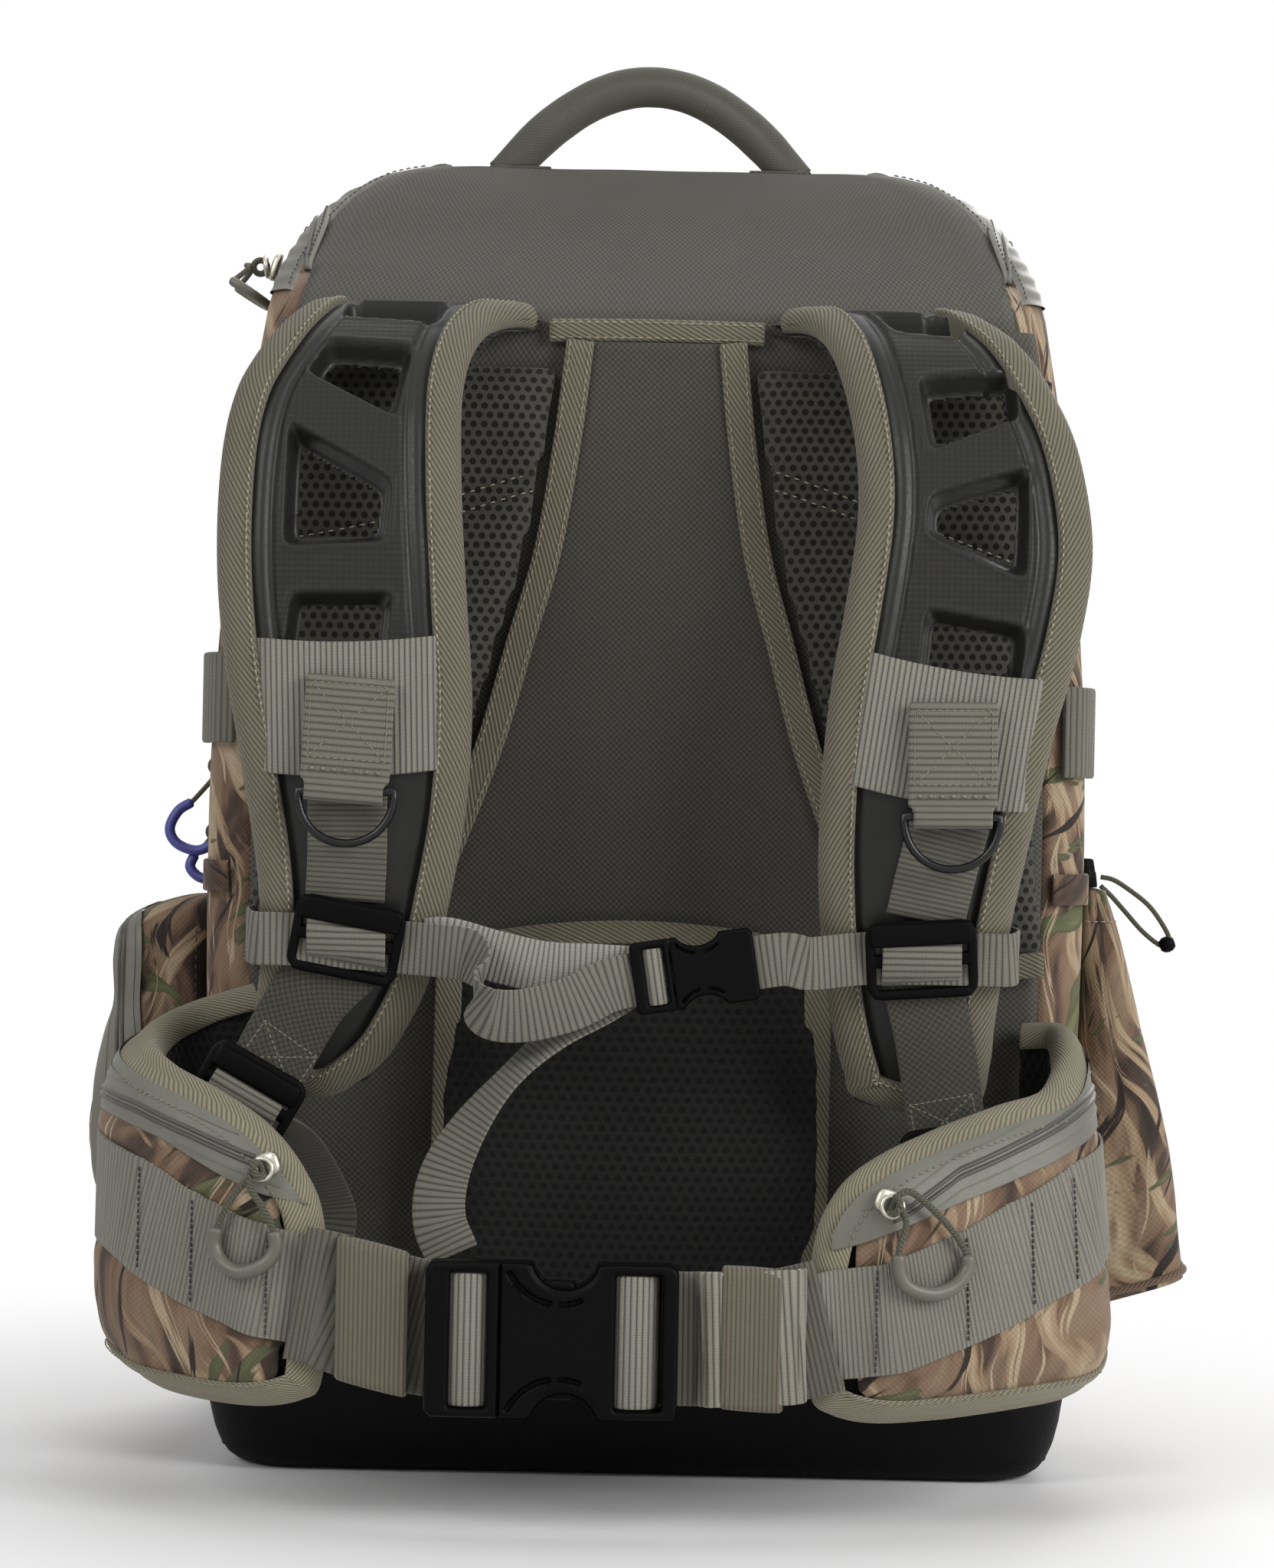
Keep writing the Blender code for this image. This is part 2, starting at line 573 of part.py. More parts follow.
def build_base_pan():
    outer = half_width(PAN_HEIGHT) + GAP + PAN_WALL
    rear, front = -GAP - PAN_WALL, BAG_DEPTH + GAP + PAN_WALL
    radius = CORNER_RADIUS + GAP + PAN_WALL
    rings = [rounded_ring(outer, rear, front, radius, 0.0, PAN_FOOT_INSET)]
    rings += [rounded_ring(outer, rear, front, radius, z) for z in (PAN_FOOT_INSET, PAN_HEIGHT)]
    pan = add("base_pan", loft("base_pan", rings, (True, False)), "eva")
    solidify(pan, PAN_WALL, -1.0)


def build_inside():
    """Divider between the top compartment and the tray bay, and the sheet that stiffens the back."""
    inner = half_width(DIVIDER_Z + WALL) - WALL - SEAT
    rear, front = WALL + GAP, BAG_DEPTH - WALL - GAP
    rings = [rounded_ring(inner, rear, front, CORNER_RADIUS - WALL, z)
             for z in (DIVIDER_Z, DIVIDER_Z + WALL)]
    add("divider", loft("divider", rings), "olive_fabric")
    half = FRAME_SHEET_WIDTH / 2
    low = (-half, WALL + GAP, FLOOR_Z + WALL + GAP + PAN_FOOT_INSET)
    add("frame_sheet", block("frame_sheet", low, (half, WALL + GAP + SHEET_THICKNESS, FRAME_SHEET_TOP)),
        "board")


def build_door_pocket():
    """A flat pouch sewn to the door's outside."""
    half = DOOR_POCKET_WIDTH / 2
    rear = BAG_DEPTH + GAP
    top = DOOR_POCKET_BOTTOM + DOOR_POCKET_HEIGHT
    mesh = block("door_pocket", (-half, rear, DOOR_POCKET_BOTTOM), (half, rear + DOOR_POCKET_DEPTH, top))
    pocket = add("door_pocket", mesh, "camo_fabric", (0, BAG_DEPTH + HINGE_OUT, DOOR_HINGE_Z))
    bevel(pocket, DOOR_POCKET_DEPTH / 3, 2)


# ================================================================ back panel
def spine_half_width(z):
    """The spine panel flares towards the lumbar pad."""
    share = min(1.0, max(0.0, (SHOULDER_Z - z) / (SHOULDER_Z - SPINE_BOTTOM)))
    return SPINE_TOP_HALF_WIDTH + (SPINE_BOTTOM_HALF_WIDTH - SPINE_TOP_HALF_WIDTH) * share ** SPINE_FLARE


def build_back_panel():
    yoke_low = SHOULDER_Z - YOKE_HEIGHT
    middle = -GAP - YOKE_THICKNESS
    add("yoke_tape", block("yoke_tape", (-YOKE_HALF_WIDTH, middle, yoke_low),
                           (YOKE_HALF_WIDTH, -GAP, SHOULDER_Z)),
        "binding")

    spine_y = -GAP - SPINE_THICKNESS / 2
    heights = steps(SPINE_BOTTOM, yoke_low - GAP, 10)
    rows = [[(side * spine_half_width(z), spine_y, z) for side in (-1, 1)] for z in heights]
    spine = add("spine_panel", grid("spine_panel", rows), "olive_fabric")
    solidify(spine, SPINE_THICKNESS, 0.0)

    pad_y = -GAP - BACK_PAD_THICKNESS / 2
    heights = steps(BACK_PAD_BOTTOM, SPINE_BOTTOM, 1)[:-1] + steps(SPINE_BOTTOM, BACK_PAD_TOP, 9)
    for name, side in (("back_pad_left", -1), ("back_pad_right", 1)):
        rows = [[(side * (spine_half_width(z) + GAP), pad_y, z), (side * BACK_PAD_HALF_SPAN, pad_y, z)]
                for z in heights]
        pad = add(name, grid(name, rows), "mesh")
        solidify(pad, BACK_PAD_THICKNESS, 0.0)
        bevel(pad, BACK_PAD_THICKNESS / 4)


def build_lumbar_pad():
    """A domed pad: its sections are flat at the back and arched in front."""
    rings = []
    half = LUMBAR_WIDTH / 2
    bottom, top = PAN_HEIGHT + GAP, LUMBAR_TOP
    for share, width, depth in ((0.0, 0.93, 0.30), (0.06, 0.99, 0.62), (0.2, 1.0, 0.88), (0.45, 1.0, 1.0),
                                (0.75, 1.0, 0.85), (0.92, 0.98, 0.50), (1.0, 0.92, 0.16)):
        z = bottom + (top - bottom) * share
        arc = [(LUMBAR_X + half * width * math.cos(a), -GAP - LUMBAR_THICKNESS * depth * (0.35 + 0.65 * math.sin(a)),
                z - LUMBAR_ARCH * share ** 4 * math.cos(a) ** 2) for a in steps(0.0, math.pi, 8)]
        rear = [(LUMBAR_X + half * width * x, -GAP, z - LUMBAR_ARCH * share ** 4 * x * x)
                for x in (-1.0, -0.5, 0.0, 0.5, 1.0)]
        rings.append(arc + rear)
    add("lumbar_pad", loft("lumbar_pad", rings), "mesh")


# ================================================================ shoulder straps
STRAP_EDGES = {"left": (STRAP_OUTER_LEFT, STRAP_INNER_LEFT, WINDOWS_LEFT),
               "right": (STRAP_OUTER_RIGHT, STRAP_INNER_RIGHT, WINDOWS_RIGHT)}


def strap_y(z):
    return between(STRAP_PROFILE, z)


def strap_slope(z):
    return (strap_y(z + 0.008) - strap_y(z - 0.008)) / 0.016


def on_strap(x, z, layer):
    """A point in front of the strap: layer is its distance from the strap's face."""
    slope = strap_slope(z)
    reach = (STRAP_THICKNESS / 2 + layer) * math.sqrt(1 + slope * slope)
    return Vector((x, strap_y(z) - reach, z))


def build_strap(side):
    outer, inner, windows = STRAP_EDGES[side]
    rows = []
    for a, b in zip(smooth([(x, 0, z) for x, z in outer], 2), smooth([(x, 0, z) for x, z in inner], 2)):
        middle = (a + b) / 2
        rows.append([(p.x, strap_y(p.z), p.z) for p in (a, middle, b)])
    name = "shoulder_strap_" + side
    strap = add(name, grid(name, rows), "strap_foam")
    solidify(strap, STRAP_THICKNESS, 0.0)
    for index, window in enumerate(windows):
        cutter = "window_%s_%d" % (side, index + 1)
        outline = [(x, STERNUM_Y - STRAP_THICKNESS, z) for x, z in window]
        boolean(strap, add_cutter(cutter, prism(cutter, outline, Vector((0, -STERNUM_Y, 0)))))


def tilted(centre, across, up, tilt):
    """A place across and up from a centre, turned by tilt degrees in the harness plane."""
    angle = math.radians(tilt)
    x, z = centre
    return (x + across * math.cos(angle) - up * math.sin(angle),
            z + across * math.sin(angle) + up * math.cos(angle))


def build_strap_trim(side):
    """Band, stitched tab and D-ring on the strap's face."""
    x, z, tilt = STRAP_SIDES[side]["band"]
    rows = []
    for up in steps(-BAND_WIDTH / 2, BAND_WIDTH / 2, 3):
        rows.append([on_strap(*tilted((x, z), across, up, tilt), SEAT + BAND_THICKNESS / 2)
                     for across in steps(-BAND_SPAN / 2, BAND_SPAN / 2, 2)])
    band = add("strap_band_" + side, grid("strap_band_" + side, rows), "webbing")
    solidify(band, BAND_THICKNESS, 0.0)

    x, top, tilt = STRAP_SIDES[side]["tab"]
    heights = steps(top - TAB_HEIGHT, top, 4)
    seat = min(on_strap(x, height, SEAT + BAND_THICKNESS + 2 * GAP).y for height in heights)
    low = (x - TAB_WIDTH / 2, seat - TAB_THICKNESS, top - TAB_HEIGHT + LOOP_HEIGHT)
    high = (x + TAB_WIDTH / 2, seat, top)
    name = "dring_tab_" + side
    tab = add(name, block(name, low, high), "webbing")
    loop = block(name + "_loop", (x - LOOP_WIDTH / 2, seat - LOOP_THICKNESS, top - TAB_HEIGHT),
                 (x + LOOP_WIDTH / 2, seat, top - TAB_HEIGHT + LOOP_HEIGHT + 0.001))
    boolean(tab, add_cutter(name + "_loop", loop), "UNION")
    ring_y, ring_z = seat - LOOP_THICKNESS / 2, top - TAB_HEIGHT + LOOP_HEIGHT / 2
    hole = RING_WIRE / 2 + RUN
    tunnel = block(name + "_tunnel", (x - TAB_WIDTH, ring_y - hole, ring_z - hole),
                   (x + TAB_WIDTH, ring_y + hole, ring_z + hole))
    boolean(tab, add_cutter(name + "_tunnel", tunnel))

    half = (RING_WIDTH - RING_WIRE) / 2
    arc = [(x + half * math.cos(a), ring_y, ring_z - half * math.sin(a)) for a in steps(0.0, math.pi, 10)]
    ring = tube("d_ring_" + side, arc, RING_WIRE, "black_metal", cyclic=True)
    set_pivot(ring, (x, ring_y, ring_z))


def build_strap_webbing(side):
    """30 mm webbing down the strap's face, the slider over it, and the lower adjuster."""
    tab_x, tab_top, _ = STRAP_SIDES[side]["tab"]
    x, z, tilt = STRAP_SIDES[side]["slider"]
    start = tab_top - TAB_HEIGHT - GAP
    lock_x, lock_y, lock_z, lock_tilt = LOCKS[side]
    seat = SEAT + WEB_THICKNESS / 2
    upper = [on_strap(tab_x, start, seat), on_strap((tab_x + x) / 2, (start + z) / 2, seat),
             on_strap(x, z, seat)]
    lower = [on_strap(x + (lock_x - x) * share, z + (lock_z - z) * share, seat) for share in (0.35, 0.62)]
    in_lock = Vector((lock_x, lock_y + LOCK_SEAT, lock_z + LOCK_SPLIT))
    route = smooth([*upper, *lower, in_lock], 2)
    strip("strap_webbing_" + side, route, [(1, 0, 0)] * len(route), WEB_WIDTH, WEB_THICKNESS, "webbing")

    depth = SEAT + WEB_THICKNESS + GAP + STERNUM_THICKNESS + 2 * SEAT
    face = on_strap(x, z, depth).y
    lean = -math.degrees(math.atan(strap_slope(z)))
    ladder("sternum_slider_" + side, (x, face, z), tilt, lean, SLIDER_WIDTH, SLIDER_HEIGHT)
    ladder("ladder_lock_" + side, (lock_x, lock_y, lock_z), lock_tilt, 0.0, LOCK_WIDTH, LOCK_HEIGHT)

    anchor_x = math.copysign(LOWER_ANCHOR_X, x)
    rest = -GAP - WEB_THICKNESS / 2
    route = smooth([(lock_x, lock_y + LOCK_SEAT, lock_z - LOCK_SPLIT),
                    ((lock_x + anchor_x) / 2, lock_y * 0.55, lock_z - 0.018),
                    (anchor_x, rest - 0.004, LOWER_ANCHOR_Z + 0.022), (anchor_x, rest,
                                                                       LOWER_ANCHOR_Z + 0.008),
                    (anchor_x, rest, LOWER_ANCHOR_Z)], 2)
    strip("lower_webbing_" + side, route, [(1, 0, 0)] * len(route), WEB_WIDTH, WEB_THICKNESS, "webbing")


def ladder(name, rear_centre, tilt, lean, width, height):
    """A ladder buckle: a frame with one cross bar, its back face through rear_centre."""
    def placed(mesh):
        return turn(turn(mesh, rear_centre, -tilt), rear_centre, lean, "X")

    x, rear, z = rear_centre
    front = rear - SLIDER_DEPTH
    frame = block(name, (x - width / 2, front, z - height / 2), (x + width / 2, rear, z + height / 2))
    obj = add(name, placed(frame), "buckle_plastic")
    for index, sign in enumerate((-1, 1)):
        inner = SLIDER_RAIL / 2
        outer = height / 2 - SLIDER_RAIL
        low, high = sorted((sign * inner, sign * outer))
        window = block(name + "_window", (x - width / 2 + SLIDER_RAIL, front - SLIDER_DEPTH, z + low),
                       (x + width / 2 - SLIDER_RAIL, rear + SLIDER_DEPTH, z + high))
        boolean(obj, add_cutter("%s_window_%d" % (name, index + 1), placed(window)))


# ================================================================ sternum strap
def build_sternum():
    tilt = STERNUM_BUCKLE["tilt"]
    left, right = STERNUM_BUCKLE["x"]
    joint = STERNUM_BUCKLE["joint_x"]
    half, depth = STERNUM_BUCKLE["height"] / 2, STERNUM_BUCKLE["depth"] / 2
    pivot = (joint, STERNUM_Y, STERNUM_Z)
    wall = STERNUM_WALL
    tongue = TONGUE_SHARE * half

    female = block("sternum_buckle_female", (joint + GAP, STERNUM_Y - depth, STERNUM_Z - half),
                   (right, STERNUM_Y + depth, STERNUM_Z + half))
    socket = block("sternum_socket", (joint - wall, STERNUM_Y - depth + wall, STERNUM_Z - tongue - RUN),
                   (joint + TONGUE_REACH + RUN, STERNUM_Y + depth - wall, STERNUM_Z + tongue + RUN))
    obj = add("sternum_buckle_female", turn(female, pivot, -tilt), "buckle_plastic")
    boolean(obj, add_cutter("sternum_socket", turn(socket, pivot, -tilt)))

    male = block("sternum_buckle_male", (left, STERNUM_Y - depth, STERNUM_Z - half),
                 (joint, STERNUM_Y + depth, STERNUM_Z + half))
    obj = add("sternum_buckle_male", turn(male, pivot, -tilt), "buckle_plastic", pivot)
    tongue_block = block("sternum_tongue", (joint - wall, STERNUM_Y - depth + wall + RUN, STERNUM_Z - tongue),
                         (joint + TONGUE_REACH, STERNUM_Y + depth - wall - RUN, STERNUM_Z + tongue))
    boolean(obj, add_cutter("sternum_tongue", turn(tongue_block, pivot, -tilt)), "UNION")

    lift = math.tan(math.radians(tilt))
    clear = STERNUM_WIDTH / 2 * lift + GAP
    for side, sign, end in (("left", -1, left - clear), ("right", 1, right + clear)):
        buckle_z = STERNUM_Z + (end - joint) * lift
        x, z, _ = STRAP_SIDES[side]["slider"]
        layer = SEAT + WEB_THICKNESS + SEAT + STERNUM_THICKNESS / 2
        edge = x + sign * (WRAP_REACH[side])
        route = [on_strap(edge, z, -STRAP_THICKNESS / 2), on_strap(edge, z, layer - 0.004),
                 on_strap(edge - sign * 0.005, z, layer), on_strap(x, z, layer),
                 on_strap(x - sign * 0.026, z, layer)]
        if side == "left":
            route += STERNUM_SLACK
        else:
            route += [(x - sign * 0.040, (on_strap(x, z, layer).y + STERNUM_Y) / 2,
                       (z + buckle_z) / 2 + 0.001)]
        route.append((end, STERNUM_Y, buckle_z))
        route = smooth(route, 2)
        on_foam = 2 * LAID_POINTS - 1
        width_to = [(0, strap_slope(z) if i < on_foam else 0, 1) for i in range(len(route))]
        strip("sternum_strap_" + side, route, width_to, STERNUM_WIDTH, STERNUM_THICKNESS, "webbing")

    rest = STERNUM_Y + depth + GAP + TAIL_THICKNESS / 2
    route = smooth([(x, rest - forward, z) for x, forward, z in TAIL_ROUTE], 2)
    rows = []
    for i, point in enumerate(route):
        ahead = route[min(i + 1, len(route) - 1)] - route[max(i - 1, 0)]
        across = ahead.cross(Vector((0, 1, 0))).normalized() * STERNUM_WIDTH / 2
        rows.append((point - across, point + across))
    tail = add("sternum_tail", grid("sternum_tail", rows), "webbing")
    solidify(tail, TAIL_THICKNESS, 0.0)


# ================================================================ hip belt
WING_ROUTES = {"left": WING_LEFT, "right": WING_RIGHT}
WEB_LAYER = WING_THICKNESS / 2 + 2 * SEAT + BELT_THICKNESS / 2


def wing_route(side):
    """The wing's middle line as (x, y, upper edge, lower edge), with the spans made smooth."""
    flat = smooth([(x, y, 0) for x, y, _, _ in WING_ROUTES[side]], 3)
    edge = smooth([(0, high, low) for _, _, high, low in WING_ROUTES[side]], 3)
    return [(p.x, p.y, e.y, e.z) for p, e in zip(flat, edge)]


def wing_place(side, share, layer):
    """A point at a share of the wing's route, layer outside its middle, with its edges and tangent."""
    route = wing_route(side)
    at = share * (len(route) - 1)
    i = min(int(at), len(route) - 2)
    a, b = Vector(route[i]), Vector(route[i + 1])
    x, y, high, low = a.lerp(b, at - i)
    before, after = route[max(i - 1, 0)], route[min(i + 2, len(route) - 1)]
    tangent = Vector((after[0] - before[0], after[1] - before[1], 0)).normalized()
    outward = Vector((tangent.y, -tangent.x, 0))
    if side == "right":
        outward = -outward
    return Vector((x, y, 0)) + outward * layer, high, low, tangent, outward


def wing_flare(side, share, z):
    """How far outwards the wing leans at a height; nothing at its root and at its tip."""
    full, fades, ends = WING_FLARE_SHARES
    fade = min(1.0, share / full, max(0.0, (ends - share) / (ends - fades)))
    return WING_FLARE[side] * (WING_FLARE_Z - z) * fade


def wing_sheet(name, side, shares, layer, margin):
    rows = []
    for share in shares:
        point, high, low, _, outward = wing_place(side, share, layer)
        rows.append([point + outward * wing_flare(side, share, z) + Vector((0, 0, z))
                     for z in steps(low + margin, high - margin, 2)])
    return grid(name, rows)


def build_wing(side):
    wing = add("hip_wing_" + side, wing_sheet("hip_wing_" + side, side, steps(0.0, 1.0, WING_SPANS),
                                              0.0, 0.0), "mesh")
    solidify(wing, WING_THICKNESS, 0.0)
    layer = WING_THICKNESS / 2 + SEAT + POCKET_THICKNESS / 2
    name = "hip_pocket_" + side
    shares = [i / WING_SPANS for i in range(POCKET_FIRST, POCKET_LAST + 1)]
    mesh = wing_sheet(name, side, shares, layer, POCKET_MARGIN)
    pocket = add(name, mesh, "camo_fabric")
    solidify(pocket, POCKET_THICKNESS, 0.0)
    build_hip_zip(side)


def build_hip_zip(side):
    """Zip slider on the wing's pocket, with a cord and ring pull that hangs from it."""
    share, drop = HIP_ZIPS[side]
    face = WING_THICKNESS / 2 + SEAT + POCKET_THICKNESS
    centre, high, _, tangent, outward = wing_place(side, share, face + SEAT + SLIDER_BODY[2] / 2)
    centre.z = high - drop
    centre += outward * wing_flare(side, share, centre.z)
    mesh = block("hip_zip_slider_" + side, [-size / 2 for size in SLIDER_BODY],
                 [size / 2 for size in SLIDER_BODY])
    up = Vector((0, 0, 1))
    frame = Matrix((up.cross(outward), up, outward)).transposed().to_4x4()
    mesh.transform(Matrix.Translation(centre) @ frame)
    add("hip_zip_slider_" + side, mesh, "zip_metal", centre)

    eye = centre + outward * (SLIDER_BODY[2] / 2 + PULL_DIAMETER / 2 + GAP)
    route = [eye + tangent * across + Vector((0, 0, up)) for across, up in PULL_LOOP]
    radii = [1.0 if up > -PULL_CORD else RING_DIAMETER / PULL_DIAMETER for _, up in PULL_LOOP]
    pull = tube("hip_zip_pull_" + side, route, PULL_DIAMETER, "olive_rubber", radii, cyclic=True)
    set_pivot(pull, eye)


def build_waist_webbing(side):
    """Webbing from the wing's tip, through the keeper, up into the window of its buckle half."""
    sign = -1 if side == "left" else 1
    end = BUCKLE_LEFT_X if side == "left" else BUCKLE_RIGHT_X
    inner = end - sign * BUCKLE_BAR
    face = BELT_Y + BUCKLE_DEPTH / 2 + GAP + BELT_THICKNESS / 2 + RUN
    keeper_y = face - 0.0004
    lie = [wing_place(side, share, WEB_LAYER)[0] for share in (0.93, 0.975, 1.0)]
    keep_x = KEEPER_X[side]
    lie += [Vector((keep_x + sign * KEEPER_WIDTH / 2, keeper_y, 0)), Vector((keep_x, keeper_y, 0)),
            Vector((keep_x - sign * KEEPER_WIDTH / 2, keeper_y, 0)), Vector((end, face, 0)),
            Vector((inner - sign * 0.0005, face, 0)),
            Vector((inner - sign * 0.0032, face - 0.0040, 0)),
            Vector((inner - sign * BUCKLE_SLOT / 2, face - 0.0062, 0)),
            Vector((inner - sign * (BUCKLE_SLOT - 0.0032), face - 0.0048, 0))]
    route = [Vector((p.x, p.y, BELT_Z)) for p in lie]
    strip("waist_webbing_" + side, route, [(0, 0, 1)] * len(route), BELT_WIDTH, BELT_THICKNESS, "webbing")

    name = "webbing_keeper_" + side
    half, depth = KEEPER_WIDTH / 2, KEEPER_DEPTH / 2
    mesh = block(name, (keep_x - half, keeper_y - depth, BELT_Z - KEEPER_HEIGHT / 2),
                 (keep_x + half, keeper_y + depth, BELT_Z + KEEPER_HEIGHT / 2))
    keeper = add(name, mesh, "webbing")
    thick, high = BELT_THICKNESS / 2 + RUN, BELT_WIDTH / 2 + RUN
    tunnel = block(name + "_tunnel", (keep_x - KEEPER_WIDTH, keeper_y - thick, BELT_Z - high),
                   (keep_x + KEEPER_WIDTH, keeper_y + thick, BELT_Z + high))
    boolean(keeper, add_cutter(name + "_tunnel", tunnel))


def buckle_window(name, low_x, high_x):
    half = BELT_WIDTH / 2 + 2 * RUN
    depth = BUCKLE_DEPTH
    return add_cutter(name, block(name, (low_x, BELT_Y - depth, BELT_Z - half),
                                  (high_x, BELT_Y + depth, BELT_Z + half)))


def build_waist_buckle():
    """Side-release buckle: the male half's two prongs reach into the female half's socket."""
    half, depth = BUCKLE_HEIGHT / 2, BUCKLE_DEPTH / 2
    pivot = (BUCKLE_JOINT_X, BELT_Y, BELT_Z)
    mesh = block("waist_buckle_male", (BUCKLE_LEFT_X, BELT_Y - depth, BELT_Z - half),
                 (BUCKLE_JOINT_X, BELT_Y + depth, BELT_Z + half))
    male = add("waist_buckle_male", mesh, "buckle_plastic", pivot)
    low = BUCKLE_LEFT_X + BUCKLE_BAR
    boolean(male, buckle_window("male_window", low, low + BUCKLE_SLOT))
    inner = depth - BUCKLE_WALL - RUN
    for label, sign in (("lower", -1), ("upper", 1)):
        near, far = sorted((sign * (PRONG_TIP - PRONG_HEIGHT), sign * PRONG_TIP))
        prong = block("prong", (BUCKLE_JOINT_X - BUCKLE_WALL, BELT_Y - inner, BELT_Z + near),
                      (BUCKLE_JOINT_X + PRONG_REACH, BELT_Y + inner, BELT_Z + far))
        boolean(male, add_cutter("prong_" + label, prong), "UNION")

    mesh = block("waist_buckle_female", (BUCKLE_JOINT_X + GAP, BELT_Y - depth, BELT_Z - half),
                 (BUCKLE_RIGHT_X, BELT_Y + depth, BELT_Z + half))
    female = add("waist_buckle_female", mesh, "buckle_plastic")
    socket = block("waist_socket", (BUCKLE_JOINT_X - BUCKLE_WALL, BELT_Y - inner - RUN,
                                    BELT_Z - PRONG_TIP - RUN),
                   (BUCKLE_JOINT_X + PRONG_REACH + RUN, BELT_Y + inner + RUN, BELT_Z + PRONG_TIP + RUN))
    boolean(female, add_cutter("waist_socket", socket))
    high = BUCKLE_RIGHT_X - BUCKLE_BAR
    boolean(female, buckle_window("female_window", high - BUCKLE_SLOT, high))
    for label, sign in (("lower", -1), ("upper", 1)):
        centre = (BUCKLE_JOINT_X + PRONG_REACH - RELIEF_RADIUS * 0.6, BELT_Y,
                  BELT_Z + sign * (half + RELIEF_RISE))
        relief = cylinder("relief", RELIEF_RADIUS, 2 * BUCKLE_DEPTH, "Y", centre, 20)
        boolean(female, add_cutter("relief_" + label, relief))


# ================================================================ side pockets
def pocket_rings(stations, sign):
    rings = []
    for z, reach, rear, front in stations:
        inner, outer = half_width(z) + SEAT, half_width(z) + reach
        middle, half = (inner + outer) / 2, (outer - inner) / 2
        radius = min(half * 0.9, 0.014)
        ring = rounded_ring(half, rear, front, radius, z)
        rings.append([(sign * (middle + x), y, height) for x, y, height in ring])
    return rings


def build_side_pockets():
    add("side_pocket_left", loft("side_pocket_left", pocket_rings(POCKET_LEFT_RINGS, -1)), "camo_fabric")
    rings = pocket_rings(POCKET_RIGHT_RINGS, 1)
    pocket = add("side_pocket_right", loft("side_pocket_right", rings, (True, False)), "camo_fabric")
    solidify(pocket, POCKET_WALL, -1.0)

    rim = POCKET_RIGHT_RINGS[-1][0]
    centre = Vector((CORD_LOCK_X, CORD_LOCK_Y, rim + SEAT + CORD_LOCK_LENGTH / 2))
    mesh = cylinder("cord_lock", CORD_LOCK_RADIUS, CORD_LOCK_LENGTH, "Z", centre)
    add("cord_lock", mesh, "buckle_plastic")
    exit_x = CORD_LOCK_X + CORD_LOCK_RADIUS + GAP
    points = [(exit_x + x, CORD_LOCK_Y, centre.z + z) for x, z in CORD_UPPER + CORD_TIP + CORD_LOWER]
    tube("drawcord", smooth(points, 2), CORD_DIAMETER, "cord")


# ================================================================ handle
def build_handle():
    base = CREST_Z + GAP + ANCHOR_SIZE[2]
    foot = HANDLE_RADIUS * HANDLE_TAPER
    axis_z = base + foot + GAP
    arch = [(HANDLE_X + HANDLE_HALF_SPAN * x, HANDLE_Y, axis_z + HANDLE_RISE * (1 - x * x))
            for x in steps(-1.0, 1.0, 16)]
    # each foot is a small dome about the hinge line, and the tube grows out of it
    dome = [(0.96, 0.30), (0.70, 0.72)]
    left = [(arch[0][0], HANDLE_Y, axis_z - foot * drop) for drop, _ in dome]
    right = [(arch[-1][0], HANDLE_Y, axis_z - foot * drop) for drop, _ in reversed(dome)]
    grow = [HANDLE_TAPER, (1 + HANDLE_TAPER) / 2]
    middle = grow + [1.0] * (len(arch) - 2 * len(grow)) + grow[::-1]
    ends = [HANDLE_TAPER * radius for _, radius in dome]
    radii = ends + middle + ends[::-1]
    handle = tube("top_handle", left + arch + right, 2 * HANDLE_RADIUS, "olive_fabric", radii)
    set_pivot(handle, (HANDLE_X, HANDLE_Y, axis_z))
    for name, sign in (("handle_anchor_left", -1), ("handle_anchor_right", 1)):
        x = HANDLE_X + sign * HANDLE_HALF_SPAN
        width, depth, height = ANCHOR_SIZE
        mesh = block(name, (x - width / 2, HANDLE_Y - depth / 2, base - height),
                     (x + width / 2, HANDLE_Y + depth / 2, base))
        add(name, mesh, "olive_fabric")


# ================================================================ zips of the bag
def zip_slider(name, centre):
    """A slider flat on the bag's left side."""
    _, long, thick = SLIDER_BODY
    mesh = block(name, (centre.x - thick / 2, centre.y - long / 2, centre.z - long / 2),
                 (centre.x + thick / 2, centre.y + long / 2, centre.z + long / 2))
    add(name, mesh, "zip_metal", centre)


def build_bag_zips():
    for name, y, z, pull in (("top_zip", TOP_ZIP[0], TOP_ZIP[1], TOP_PULL),
                             ("side_zip_upper", SIDE_ZIP_Y, SIDE_ZIP_Z, SIDE_PULLS["upper"]),
                             ("side_zip_lower", SIDE_ZIP_Y, SIDE_ZIP_Z - SIDE_ZIP_SPACING,
                              SIDE_PULLS["lower"])):
        kind = name.replace("zip", "zip_slider")
        side = half_width(z - SLIDER_BODY[1] / 2) + GAP + SLIDER_BODY[2] / 2
        centre = Vector((-side, y, z))
        zip_slider(kind, centre)
        eye = centre - Vector((SLIDER_BODY[2] / 2 + PULL_DIAMETER / 2 + GAP, 0, 0))
        lean = PULL_LEAN[name]
        points = smooth([eye + Vector((-out, lean * min(1.0, -up / 0.016), up)) for out, up in pull], 3)
        grip = GRIP_DIAMETER / PULL_DIAMETER
        radii = [1.0 if i < 0.45 * len(points) else grip for i in range(len(points))]
        finish = "olive_rubber" if name == "top_zip" else "blue_rubber"
        obj = tube(name.replace("zip", "zip_pull"), points, PULL_DIAMETER, finish, radii)
        set_pivot(obj, eye)


